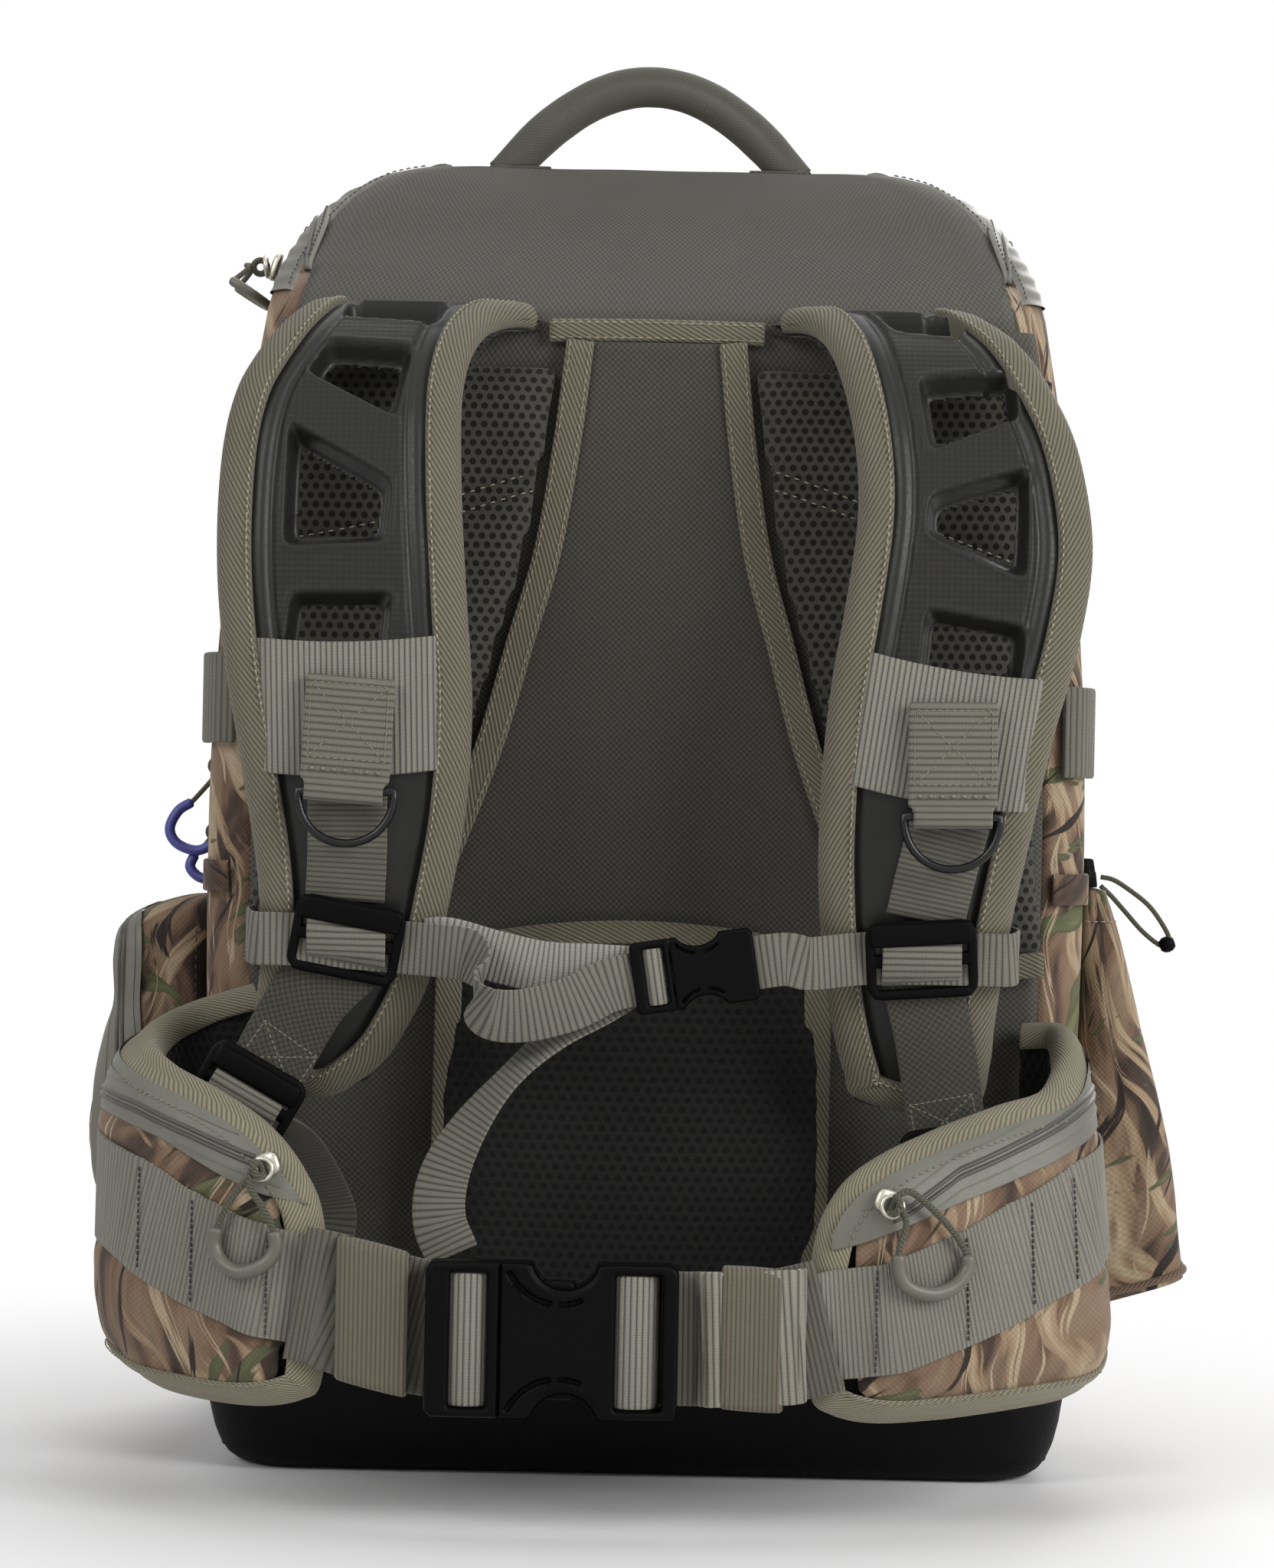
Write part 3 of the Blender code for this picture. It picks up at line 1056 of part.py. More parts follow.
clear_scene()
part_collection = collection(PARTS)
cutter_collection = collection("cutters")
build_base_pan()
build_bag()
build_inside()
build_door_pocket()
build_back_panel()
build_lumbar_pad()
for strap_side in ("left", "right"):
    build_strap(strap_side)
    build_strap_trim(strap_side)
    build_strap_webbing(strap_side)
build_sternum()
for belt_side in ("left", "right"):
    build_wing(belt_side)
    build_waist_webbing(belt_side)
build_waist_buckle()
build_side_pockets()
build_handle()
build_bag_zips()
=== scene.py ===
# %% [markdown]
# # A tackle backpack
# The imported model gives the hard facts: where each piece sits, how big it is and what it moves with.
# Here each soft piece is made again as cloth, webbing, mesh or moulded foam, and each rides on the
# body that carries it. All lengths are metres, in the model's own frame: the harness faces -Y.

# %% Load the frame
import json
import math

import bmesh
import bpy
import numpy as np
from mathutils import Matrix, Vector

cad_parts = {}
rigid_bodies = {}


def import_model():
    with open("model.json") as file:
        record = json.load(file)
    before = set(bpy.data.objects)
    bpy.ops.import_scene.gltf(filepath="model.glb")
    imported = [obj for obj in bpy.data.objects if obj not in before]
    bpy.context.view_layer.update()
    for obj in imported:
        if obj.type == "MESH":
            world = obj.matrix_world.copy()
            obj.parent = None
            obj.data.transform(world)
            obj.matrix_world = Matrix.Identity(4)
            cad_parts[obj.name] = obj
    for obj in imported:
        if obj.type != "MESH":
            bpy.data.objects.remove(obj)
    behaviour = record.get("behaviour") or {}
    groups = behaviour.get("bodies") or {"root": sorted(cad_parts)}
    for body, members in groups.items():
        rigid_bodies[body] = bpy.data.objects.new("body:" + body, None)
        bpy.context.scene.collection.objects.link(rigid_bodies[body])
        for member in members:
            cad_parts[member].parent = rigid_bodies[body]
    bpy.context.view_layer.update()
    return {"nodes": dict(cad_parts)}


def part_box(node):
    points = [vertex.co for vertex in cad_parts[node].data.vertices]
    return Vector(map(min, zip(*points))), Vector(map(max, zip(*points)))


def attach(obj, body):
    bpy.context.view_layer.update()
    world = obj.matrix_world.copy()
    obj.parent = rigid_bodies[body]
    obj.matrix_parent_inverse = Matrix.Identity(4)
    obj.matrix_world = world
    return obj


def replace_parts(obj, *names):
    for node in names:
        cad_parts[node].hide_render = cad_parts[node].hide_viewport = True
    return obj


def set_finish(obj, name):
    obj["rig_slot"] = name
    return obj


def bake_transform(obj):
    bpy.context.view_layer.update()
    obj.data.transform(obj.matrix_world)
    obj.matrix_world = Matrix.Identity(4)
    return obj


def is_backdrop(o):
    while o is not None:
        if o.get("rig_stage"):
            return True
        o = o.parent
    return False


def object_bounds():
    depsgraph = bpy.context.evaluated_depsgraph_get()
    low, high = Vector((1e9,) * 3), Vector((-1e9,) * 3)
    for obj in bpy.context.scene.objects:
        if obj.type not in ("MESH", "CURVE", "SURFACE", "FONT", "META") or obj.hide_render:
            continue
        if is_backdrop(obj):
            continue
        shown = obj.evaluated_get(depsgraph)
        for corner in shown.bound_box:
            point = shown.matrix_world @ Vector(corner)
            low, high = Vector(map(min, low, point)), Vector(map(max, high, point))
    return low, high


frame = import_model()
SIDES = (("left", -1), ("right", 1))    # as seen from the front of the harness: left is -X

# %% [markdown]
# ## Camera, light and backdrop
# The view is square on to the harness from 1.5 m, with a lens long enough that the bag fills the
# picture. The camera leans a little over a degree. Two broad lamps from the sides and a weak one
# overhead keep a plain level, so that a colour renders about as it is written. The white comes from
# what the camera sees of the world and the floor, not from more light on the bag.

# %% Camera
def put(name, data):
    """A new object with that data, in the scene."""
    made = bpy.data.objects.new(name, data)
    bpy.context.scene.collection.objects.link(made)
    return made


CAMERA_AT = (-0.0042, -1.5, 0.275)
CAMERA_LEAN = -1.2
LENS = 87.0

camera = put("camera", bpy.data.cameras.new("camera"))
camera.data.lens = LENS
camera.data.sensor_width = 36.0
camera.location = CAMERA_AT
camera.rotation_euler = (math.radians(90), math.radians(CAMERA_LEAN), 0)
bpy.context.scene.camera = camera
bpy.context.scene.view_settings.view_transform = "Standard"
print("camera at", CAMERA_AT)

# %% Lamps
# name: place, aimed at, size of the square, watts
LAMPS = {
    "left_softbox": ((-1.5, -1.5, 1.5), (0, 0, 0.28), 1.2, 22.0),
    "right_softbox": ((1.7, -1.3, 1.1), (0, 0, 0.28), 1.2, 36.0),
    "overhead": ((0.1, 0.4, 2.0), (0, 0.1, 0.3), 1.4, 9.0),
    "behind": ((0.6, 1.9, 1.2), (0, 0.1, 0.28), 1.2, 26.0),
}


def aim(place, target):
    """Rotation that points an object's own -Z from place at target."""
    from mathutils import Vector
    return (Vector(target) - Vector(place)).to_track_quat("-Z", "Y").to_euler()


for lamp_name, (place, target, size, watts) in LAMPS.items():
    light = bpy.data.lights.new(lamp_name, "AREA")
    light.size = size
    light.energy = watts
    lamp = put(lamp_name, light)
    lamp.location = place
    lamp.rotation_euler = aim(place, target)
print("lamps:", ", ".join(LAMPS))

# %% [markdown]
# ## Small tools
# Nearly every piece here is a grid of points worked out at once with numpy. One function turns such
# a grid into a mesh with a UV map in metres, so that a weave or a rib has its real size on any piece.

# %% Grids
def unit(v):
    """Vectors of length 1."""
    v = np.asarray(v, float)
    return v / np.maximum(np.linalg.norm(v, axis=-1, keepdims=True), 1e-12)


def along(points):
    """Distance travelled along a line of points."""
    step = np.linalg.norm(np.diff(points, axis=0), axis=1)
    return np.concatenate([[0.0], np.cumsum(step)])


def round_trip(ring):
    """Distance travelled along a closed line, with the way back to its start."""
    return along(np.vstack([ring, ring[:1]]))


def together(*parts):
    """Arrays of sizes that broadcast, as the coordinates of one grid."""
    return np.stack(np.broadcast_arrays(*parts), -1)


def spline(points, per_span=6):
    """Catmull-Rom: each span is a cubic whose end slopes are half the gap between its neighbours."""
    p = np.asarray(points, float)
    p = np.vstack([2 * p[0] - p[1], p, 2 * p[-1] - p[-2]])
    a, b, c, d = p[:-3, None], p[1:-2, None], p[2:-1, None], p[3:, None]
    t = (np.arange(per_span) / per_span)[None, :, None]
    curve = 0.5 * (2 * b + (c - a) * t + (2 * a - 5 * b + 4 * c - d) * t * t + (3 * b - a - 3 * c + d) * t ** 3)
    return np.vstack([curve.reshape(-1, p.shape[1]), p[-2]])


def evenly(points, count):
    """The same line with count points at equal distances."""
    s = along(points)
    at = np.linspace(0, s[-1], count)
    return np.stack([np.interp(at, s, points[:, i]) for i in range(points.shape[1])], 1)

# %% Meshes
def read_points(mesh):
    """A mesh's points as rows of (x, y, z)."""
    points = np.zeros(len(mesh.vertices) * 3)
    mesh.vertices.foreach_get("co", points)
    return points.reshape(-1, 3)


def write_points(mesh, points):
    """Give a mesh new places for its points."""
    mesh.vertices.foreach_set("co", points.ravel())
    mesh.update()


def read_corners(mesh):
    """The point that each face corner stands on."""
    corners = np.zeros(len(mesh.loops), int)
    mesh.loops.foreach_get("vertex_index", corners)
    return corners


def lay_uv(mesh, uv):
    """Store one UV per face corner in the layer named cloth, and smooth the faces."""
    layer = mesh.uv_layers.get("cloth") or mesh.uv_layers.new(name="cloth")
    layer.data.foreach_set("uv", np.asarray(uv, np.float32).ravel())
    mesh.polygons.foreach_set("use_smooth", np.full(len(mesh.polygons), True))


def make_piece(name, verts, faces, loop_uv, material, body, slot):
    """A mesh from arrays of points, faces (rows of 3 or 4 indices) and one UV per face corner."""
    mesh = bpy.data.meshes.new(name)
    mesh.from_pydata(np.asarray(verts, float).tolist(), [], faces)
    lay_uv(mesh, loop_uv)
    mesh.materials.append(material)
    piece = put(name, mesh)
    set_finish(piece, slot)
    if body:
        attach(piece, body)
    return piece


def grid_faces(rows, columns, wrap_rows, wrap_columns):
    """Corner indices of every cell of a grid, and the matching corners in a UV grid that never wraps."""
    i, j = np.meshgrid(np.arange(rows if wrap_rows else rows - 1),
                       np.arange(columns if wrap_columns else columns - 1), indexing="ij")
    i, j = i.ravel(), j.ravel()
    near, far = i % rows, (i + 1) % rows
    left, right = j % columns, (j + 1) % columns
    faces = np.stack([near * columns + left, near * columns + right, far * columns + right, far * columns + left],
                     1)
    wide = columns + 1 if wrap_columns else columns
    uv = np.stack([i * wide + j, i * wide + j + 1, (i + 1) * wide + j + 1, (i + 1) * wide + j], 1)
    return faces, uv


def surface(name, points, material, body, slot, uv, wrap_rows=False, wrap_columns=False, caps=False, flip=False):
    """A grid of points (rows, columns, 3) as a mesh. uv has one more row or column where the grid wraps."""
    rows, columns = points.shape[:2]
    faces, uv_index = grid_faces(rows, columns, wrap_rows, wrap_columns)
    if flip:
        faces, uv_index = faces[:, ::-1], uv_index[:, ::-1]
    loop_uv = uv.reshape(-1, 2)[uv_index.ravel()]
    face_list = faces.tolist()
    if caps:
        first, last = np.arange(columns), (rows - 1) * columns + np.arange(columns)
        first, last = (first, last[::-1]) if flip else (first[::-1], last)
        face_list += [first.tolist(), last.tolist()]
        loop_uv = np.vstack([loop_uv, points.reshape(-1, 3)[first][:, [0, 2]],
                             points.reshape(-1, 3)[last][:, [0, 2]]])
    return make_piece(name, points.reshape(-1, 3), face_list, loop_uv, material, body, slot)


def tubular(name, points, material, body, slot, uv, flip=False):
    """A grid whose last column meets its first, closed at both ends."""
    return surface(name, points, material, body, slot, uv, wrap_columns=True, caps=True, flip=flip)


def sweep(name, path, across, profile, material, body, slot, closed=False):
    """Carry a profile (width, height) along a path.

    Each row is path + width * across + height * normal, where normal is tangent x across. The
    profile may be one outline or one for each point of the path.
    """
    path = np.asarray(path, float)
    ahead = np.roll(path, -1, 0) - np.roll(path, 1, 0)
    if not closed:
        ahead[0], ahead[-1] = path[1] - path[0], path[-1] - path[-2]
    tangent = unit(ahead)
    across = np.broadcast_to(np.asarray(across, float), path.shape)
    across = unit(across - tangent * (across * tangent).sum(1, keepdims=True))
    normal = np.cross(tangent, across)
    outline = np.broadcast_to(profile, (len(path),) + np.shape(profile)[-2:])
    points = path[:, None] + outline[..., :1] * across[:, None] + outline[..., 1:] * normal[:, None]
    s = along(np.vstack([path, path[:1]]) if closed else path)
    ring = np.vstack([outline[0], outline[0][:1]])
    v = ring[:, 0] + 0.35 * (ring[:, 1] - ring[:, 1].min())
    uv = together(s[:, None], v[None, :])
    return surface(name, points, material, body, slot, uv, wrap_rows=closed, wrap_columns=True,
                   caps=not closed)

# %% Sections and noise
def rounded_section(width, height, radius, corner=3):
    """A closed rectangle with round corners, in order round its edge."""
    radius = min(radius, width / 2, height / 2) * 0.999
    angles = np.radians(np.linspace(0, 90, corner + 1))
    corners = [(1, 1, 0), (-1, 1, 90), (-1, -1, 180), (1, -1, 270)]
    parts = [np.stack([sx * (width / 2 - radius) + radius * np.cos(angles + math.radians(turn)),
                       sy * (height / 2 - radius) + radius * np.sin(angles + math.radians(turn))], 1)
             for sx, sy, turn in corners]
    return np.vstack(parts)


def round_section(diameter, sides=12):
    """A circle's points."""
    angles = np.linspace(0, 2 * math.pi, sides, endpoint=False)
    return diameter / 2 * np.stack([np.cos(angles), np.sin(angles)], 1)


def ripple(p, seed, size):
    """Seeded noise from -1 to 1: sine waves in random directions, finer and weaker each time."""
    rng = np.random.default_rng(seed)
    total, weight = np.zeros(p.shape[:-1]), 0.0
    for octave in range(3):
        share = 0.6 ** octave
        for _ in range(5):
            direction = unit(rng.normal(size=3)) * 2 * math.pi / size * 1.9 ** octave
            total = total + share * np.sin(p @ direction + rng.uniform(0, 2 * math.pi)) / 5
        weight += share
    return total / weight


def smoothstep(x, low, high):
    """0 below low, 1 above high, and a smooth rise between."""
    t = np.clip((np.asarray(x, float) - low) / (high - low), 0, 1)
    return t * t * (3 - 2 * t)

# %% [markdown]
# ## Finishes
# The pack is nearly all textile, and what tells one cloth from another is its structure: a plain
# weave for the panels, ribs for webbing, a diagonal twill for the binding tape, and a lattice of
# holes for the padding mesh. Each structure is a node group that reads UVs in metres and gives a
# height and a mask. A material then mixes its own colours with them.

# %% Node tools
def add_node(tree, kind, inputs=None, out=0, **settings):
    """Add a node, set or link its inputs, and return one output."""
    made = tree.nodes.new(kind)
    for key, value in settings.items():
        setattr(made, key, value)
    for key, value in (inputs or {}).items():
        if isinstance(value, bpy.types.NodeSocket):
            tree.links.new(value, made.inputs[key])
        else:
            made.inputs[key].default_value = value
    return made.outputs[out]


def calc(tree, operation, *values):
    """A node that works out one number."""
    return add_node(tree, "ShaderNodeMath", dict(enumerate(values)), operation=operation)


def mix_colour(tree, share, a, b):
    """Colour a turning into colour b as share goes from 0 to 1."""
    return add_node(tree, "ShaderNodeMix", {0: share, 6: a, 7: b}, out=2, data_type="RGBA")


def on_vector(tree, operation, vector, other=None, scale=None, out=0):
    """A vector sum, difference or product with another vector, or a vector scaled by a number."""
    inputs = {0: vector, **({} if other is None else {1: other}), **({} if scale is None else {3: scale})}
    return add_node(tree, "ShaderNodeVectorMath", inputs, out=out, operation=operation)


def wave(tree, kind, value, pitch, turn=math.pi):
    """The sine or cosine of turn * value / pitch."""
    return calc(tree, kind, calc(tree, "MULTIPLY", calc(tree, "DIVIDE", value, pitch), turn))


def ramp(tree, value, stops):
    """A colour ramp with its stops as (place, colour)."""
    made = tree.nodes.new("ShaderNodeValToRGB")
    elements = made.color_ramp.elements
    while len(elements) < len(stops):
        elements.new(0.5)
    for element, (place, colour) in zip(elements, stops):
        element.position = place
        element.color = (*colour, 1.0) if len(colour) == 3 else colour
    tree.links.new(value, made.inputs[0])
    return made.outputs[0]


def new_group(name, inputs, outputs):
    """A shader node group with named sockets: name to (kind, default)."""
    group = bpy.data.node_groups.new(name, "ShaderNodeTree")
    for label, (kind, default) in inputs.items():
        socket = group.interface.new_socket(label, in_out="INPUT", socket_type=kind)
        if default is not None:
            socket.default_value = default
    for label, kind in outputs.items():
        group.interface.new_socket(label, in_out="OUTPUT", socket_type=kind)
    entry, exit_ = group.nodes.new("NodeGroupInput"), group.nodes.new("NodeGroupOutput")
    return group, entry.outputs, exit_.inputs


def use_group(tree, group, **inputs):
    """A group node with its inputs set or linked by name, and its outputs."""
    made = tree.nodes.new("ShaderNodeGroup")
    made.node_tree = group
    for key, value in inputs.items():
        socket = made.inputs[key.replace("_", " ").capitalize()]
        if isinstance(value, bpy.types.NodeSocket):
            tree.links.new(value, socket)
        else:
            socket.default_value = value
    return made.outputs


FLOAT, VECTOR, COLOUR = "NodeSocketFloat", "NodeSocketVector", "NodeSocketColor"


def uv_parts(tree, vector):
    """The along and across coordinates of a UV vector."""
    return (add_node(tree, "ShaderNodeSeparateXYZ", {0: vector}, out=0),
            add_node(tree, "ShaderNodeSeparateXYZ", {0: vector}, out=1))

# %% Structures
def weave_group():
    """Plain weave: sin(pi u / pitch) * sin(pi v / pitch) rises and falls like threads going over and under."""
    group, given, result = new_group("plain_weave", {"Vector": (VECTOR, None), "Pitch": (FLOAT, 0.001)},
                                     {"Height": FLOAT})
    u, v = uv_parts(group, given["Vector"])
    over = calc(group, "MULTIPLY", *(wave(group, "SINE", part, given["Pitch"]) for part in (u, v)))
    group.links.new(calc(group, "MULTIPLY_ADD", over, 0.5, 0.5), result["Height"])
    return group


def ribs_group():
    """Webbing: round ribs that run across the strap, each |sin(pi u / pitch)|, under fine threads along it."""
    group, given, result = new_group("webbing_ribs", {"Vector": (VECTOR, None), "Pitch": (FLOAT, 0.0022),
                                                      "Thread": (FLOAT, 0.0007)}, {"Height": FLOAT})
    u, v = uv_parts(group, given["Vector"])
    rib = calc(group, "ABSOLUTE", wave(group, "SINE", u, given["Pitch"]))
    thread = calc(group, "ABSOLUTE", wave(group, "SINE", v, given["Thread"]))
    rounded = calc(group, "POWER", rib, 0.6)
    group.links.new(calc(group, "MULTIPLY", rounded, calc(group, "MULTIPLY_ADD", thread, 0.35, 0.65)),
                    result["Height"])
    return group


def twill_group():
    """Binding tape: diagonal ribs |sin(pi (u + lean v) / pitch)|."""
    group, given, result = new_group("twill",
                                     {"Vector": (VECTOR, None), "Pitch": (FLOAT, 0.0024), "Lean": (FLOAT, 0.9)},
                                     {"Height": FLOAT})
    u, v = uv_parts(group, given["Vector"])
    slant = calc(group, "ADD", u, calc(group, "MULTIPLY", v, given["Lean"]))
    rib = calc(group, "ABSOLUTE", wave(group, "SINE", slant, given["Pitch"]))
    group.links.new(calc(group, "POWER", rib, 0.7), result["Height"])
    return group


def lattice_group():
    """Spacer mesh: three cosines 120 degrees apart add up to a honeycomb of round holes."""
    group, given, result = new_group("mesh_lattice", {"Vector": (VECTOR, None), "Pitch": (FLOAT, 0.004)},
                                     {"Hole": FLOAT, "Height": FLOAT})
    u, v = uv_parts(group, given["Vector"])
    scale = 4 * math.pi / math.sqrt(3)
    total = None
    for degrees in (90, 210, 330):
        a = math.radians(degrees)
        line = calc(group, "ADD", calc(group, "MULTIPLY", u, math.cos(a)), calc(group, "MULTIPLY", v, math.sin(a)))
        waves = wave(group, "COSINE", line, given["Pitch"], scale)
        total = waves if total is None else calc(group, "ADD", total, waves)
    hole = add_node(group, "ShaderNodeMapRange", {0: total, 1: -0.4, 2: 1.1, 3: 0.0, 4: 1.0},
                    interpolation_type="SMOOTHSTEP")
    group.links.new(hole, result["Hole"])
    group.links.new(calc(group, "SUBTRACT", 1.0, hole), result["Height"])
    return group


def worn_group():
    """Slow light and dark drifts over a surface, as cloth has from handling and dust."""
    group, given, result = new_group("handling",
                                     {"Vector": (VECTOR, None), "Size": (FLOAT, 0.05), "Strength": (FLOAT, 0.2)},
                                     {"Tint": FLOAT})
    near = add_node(group, "ShaderNodeTexNoise",
                    {"Vector": given["Vector"], "Scale": calc(group, "DIVIDE", 1.0, given["Size"]),
                                                  "Detail": 4.0, "Roughness": 0.6})
    centred = calc(group, "SUBTRACT", near, 0.5)
    group.links.new(calc(group, "MULTIPLY_ADD", centred, given["Strength"], 1.0), result["Tint"])
    return group


GROUPS = {"weave": weave_group(), "ribs": ribs_group(), "twill": twill_group(), "lattice": lattice_group(),
          "worn": worn_group()}
print("node groups:", ", ".join(GROUPS))

# %% [markdown]
# ## Camouflage
# The bag's print is a generic reed camouflage: long bent blades in tan, rust and olive over dark
# brown shade, with a few pale stems. It is made from noise alone. The UV plane is bent by slow
# noise, so that the blades lean and cross, then squeezed along one direction so that noise turns
# into streaks. Three layers of streaks at different leans are laid over each other.

# %% Camouflage group
def camo_group():
    """Layers of bent streaks: noise read at (u * thin, v * long) on a turned and warped plane."""
    group, given, result = new_group("reed_camouflage", {"Vector": (VECTOR, None), "Size": (FLOAT, 1.0)},
                                     {"Colour": COLOUR, "Shade": FLOAT})
    metres = on_vector(group, "SCALE", given["Vector"], scale=given["Size"])
    bend = add_node(group, "ShaderNodeTexNoise", {"Vector": metres, "Scale": 9.0, "Detail": 2.0}, out=1)
    bend = on_vector(group, "SUBTRACT", bend, (0.5, 0.5, 0.5))
    bend = on_vector(group, "SCALE", bend, scale=0.085)
    warped = on_vector(group, "ADD", metres, bend)

    def streaks(lean, across, length, shift):
        """Noise on a plane turned by lean degrees, squeezed into streaks."""
        turned = add_node(group, "ShaderNodeMapping", {"Vector": warped, "Rotation": (0, 0, math.radians(lean)),
                                                       "Location": (shift, 0.37 * shift, shift)})
        squeezed = on_vector(group, "MULTIPLY", turned, (across, length, 1.0))
        return add_node(group, "ShaderNodeTexNoise",
                        {"Vector": squeezed, "Scale": 1.0, "Detail": 3.0, "Roughness": 0.55})

    shade = ramp(group, streaks(18, 55, 16, 0.0), [
        (0.30, (0.020, 0.013, 0.010)), (0.42, (0.070, 0.045, 0.032)), (0.50, (0.180, 0.110, 0.070)),
        (0.60, (0.230, 0.160, 0.105)), (0.72, (0.100, 0.066, 0.046))])
    blades = streaks(-28, 95, 13, 3.1)
    blade_colour = ramp(group, blades, [
        (0.50, (0.130, 0.072, 0.042)), (0.57, (0.300, 0.210, 0.130)), (0.64, (0.410, 0.325, 0.215)),
        (0.72, (0.190, 0.120, 0.075))])
    blade_mask = ramp(group, blades, [(0.525, (0, 0, 0)), (0.545, (1, 1, 1)), (1.0, (1, 1, 1))])
    leaves = streaks(62, 60, 17, 7.7)
    leaf_colour = ramp(group, leaves,
                       [(0.58, (0.065, 0.070, 0.035)), (0.66, (0.120, 0.125, 0.060)),
                        (0.74, (0.200, 0.190, 0.095))])
    leaf_mask = ramp(group, leaves, [(0.585, (0, 0, 0)), (0.600, (1, 1, 1)), (1.0, (1, 1, 1))])
    stems = streaks(-8, 170, 10, 13.3)
    stem_mask = ramp(group, stems, [(0.615, (0, 0, 0)), (0.630, (1, 1, 1)), (0.665, (1, 1, 1)), (0.680, (0, 0, 0))])
    gaps = streaks(35, 120, 12, 21.0)
    gap_mask = ramp(group, gaps, [(0.600, (0, 0, 0)), (0.625, (1, 1, 1)), (1.0, (1, 1, 1))])

    colour = mix_colour(group, blade_mask, shade, blade_colour)
    colour = mix_colour(group, leaf_mask, colour, leaf_colour)
    colour = mix_colour(group, stem_mask, colour, (0.400, 0.310, 0.210, 1.0))
    colour = mix_colour(group, gap_mask, colour, (0.022, 0.014, 0.011, 1.0))
    group.links.new(colour, result["Colour"])
    group.links.new(blades, result["Shade"])
    return group


GROUPS["camo"] = camo_group()
print("camouflage nodes:", len(GROUPS["camo"].nodes))

# %% [markdown]
# ## Materials
# A material names its structure, its size in metres, its colours and how deep the structure is.
# Thread colours are the light value on top of a rib and the dark one in the groove beside it.

# %% Material makers
def srgb(r, g, b):
    """A colour as seen on screen, 0 to 255, as the linear value a shader takes."""
    values = np.array([r, g, b]) / 255
    return tuple(np.where(values <= 0.04045, values / 12.92, ((values + 0.055) / 1.055) ** 2.4))


def start_material(name, roughness, sheen, specular):
    """A new material with its tree and its main shader."""
    material = bpy.data.materials.new(name)
    material.use_nodes = True
    tree = material.node_tree
    shader = tree.nodes["Principled BSDF"]
    shader.inputs["Roughness"].default_value = roughness
    shader.inputs["Sheen Weight"].default_value = sheen
    shader.inputs["Specular IOR Level"].default_value = specular
    return material, tree, shader


def drifts(tree, colour, size, strength, place=None):
    """The colour made slowly lighter and darker, as by handling."""
    place = place or add_node(tree, "ShaderNodeTexCoord", out="Object")
    tint = use_group(tree, GROUPS["worn"], vector=place, size=size, strength=strength)["Tint"]
    return on_vector(tree, "SCALE", colour, scale=tint)


def dress(tree, shader, colour, height, depth):
    """Link the colour, and a height from 0 to 1 that stands for depth metres, to the shader."""
    normal = add_node(tree, "ShaderNodeBump", {"Height": height, "Distance": depth, "Strength": 1.0})
    tree.links.new(colour, shader.inputs["Base Color"])
    tree.links.new(normal, shader.inputs["Normal"])


def cloth(name, structure, light, dark, depth, **sizes):
    """A textile of one colour pair on a structure group."""
    material, tree, shader = start_material(name, 0.85, 0.15, 0.3)
    uv = add_node(tree, "ShaderNodeUVMap", uv_map="cloth")
    height = use_group(tree, GROUPS[structure], vector=uv, **sizes)["Height"]
    colour = mix_colour(tree, height, (*dark, 1), (*light, 1))
    dress(tree, shader, drifts(tree, colour, 0.04, 0.25), height, depth)
    return material


def camo_cloth(name):
    """Printed plain weave: the print's colours, with the weave only in the bump and a slight speckle."""
    material, tree, shader = start_material(name, 0.8, 0.1, 0.3)
    uv = add_node(tree, "ShaderNodeUVMap", uv_map="cloth")
    print_ = use_group(tree, GROUPS["camo"], vector=uv, size=1.0)["Colour"]
    thread = use_group(tree, GROUPS["weave"], vector=uv, pitch=0.0011)["Height"]
    place = add_node(tree, "ShaderNodeTexCoord", out="Object")
    tint = use_group(tree, GROUPS["worn"], vector=place, size=0.05, strength=0.3)["Tint"]
    speckle = calc(tree, "MULTIPLY", calc(tree, "MULTIPLY_ADD", thread, 0.25, 0.85), tint)
    dress(tree, shader, on_vector(tree, "SCALE", print_, scale=speckle), thread, 0.00012)
    return material


def spacer_mesh(name, light, dark, pitch):
    """Padding mesh: knitted bars between deep round holes."""
    material, tree, shader = start_material(name, 0.9, 0.1, 0.25)
    uv = add_node(tree, "ShaderNodeUVMap", uv_map="cloth")
    holes = use_group(tree, GROUPS["lattice"], vector=uv, pitch=pitch)
    colour = mix_colour(tree, holes["Hole"], (*light, 1), (*dark, 1))
    dress(tree, shader, drifts(tree, colour, 0.04, 0.25), holes["Height"], 0.0006)
    return material


def moulded(name, colour, roughness, grain_size=0.0008, grain_depth=0.00003, crosshatch=0.0, metallic=0.0,
            specular=0.5):
    """Moulded plastic, foam or metal: a fine grain, rubbed lighter in drifts, and a crosshatch if asked."""
    material, tree, shader = start_material(name, roughness, 0.0, specular)
    shader.inputs["Metallic"].default_value = metallic
    place = add_node(tree, "ShaderNodeTexCoord", out="Object")
    base = drifts(tree, (*colour,), 0.02, 0.35, place)
    grain = add_node(tree, "ShaderNodeTexNoise", {"Vector": place, "Scale": 1 / grain_size, "Detail": 2.0})
    height, depth = grain, grain_depth
    if crosshatch:
        uv = add_node(tree, "ShaderNodeUVMap", uv_map="cloth")
        turned = add_node(tree, "ShaderNodeMapping", {"Vector": uv, "Rotation": (0, 0, math.radians(45))})
        threads = use_group(tree, GROUPS["weave"], vector=turned, pitch=crosshatch)["Height"]
        base = mix_colour(tree, threads, base, on_vector(tree, "SCALE", base, scale=1.7))
        height, depth = threads, 0.00012
    rough = add_node(tree, "ShaderNodeMapRange",
                     {0: grain, 1: 0.3, 2: 0.7, 3: roughness - 0.06, 4: roughness + 0.08})
    tree.links.new(rough, shader.inputs["Roughness"])
    dress(tree, shader, base, height, depth)
    return material

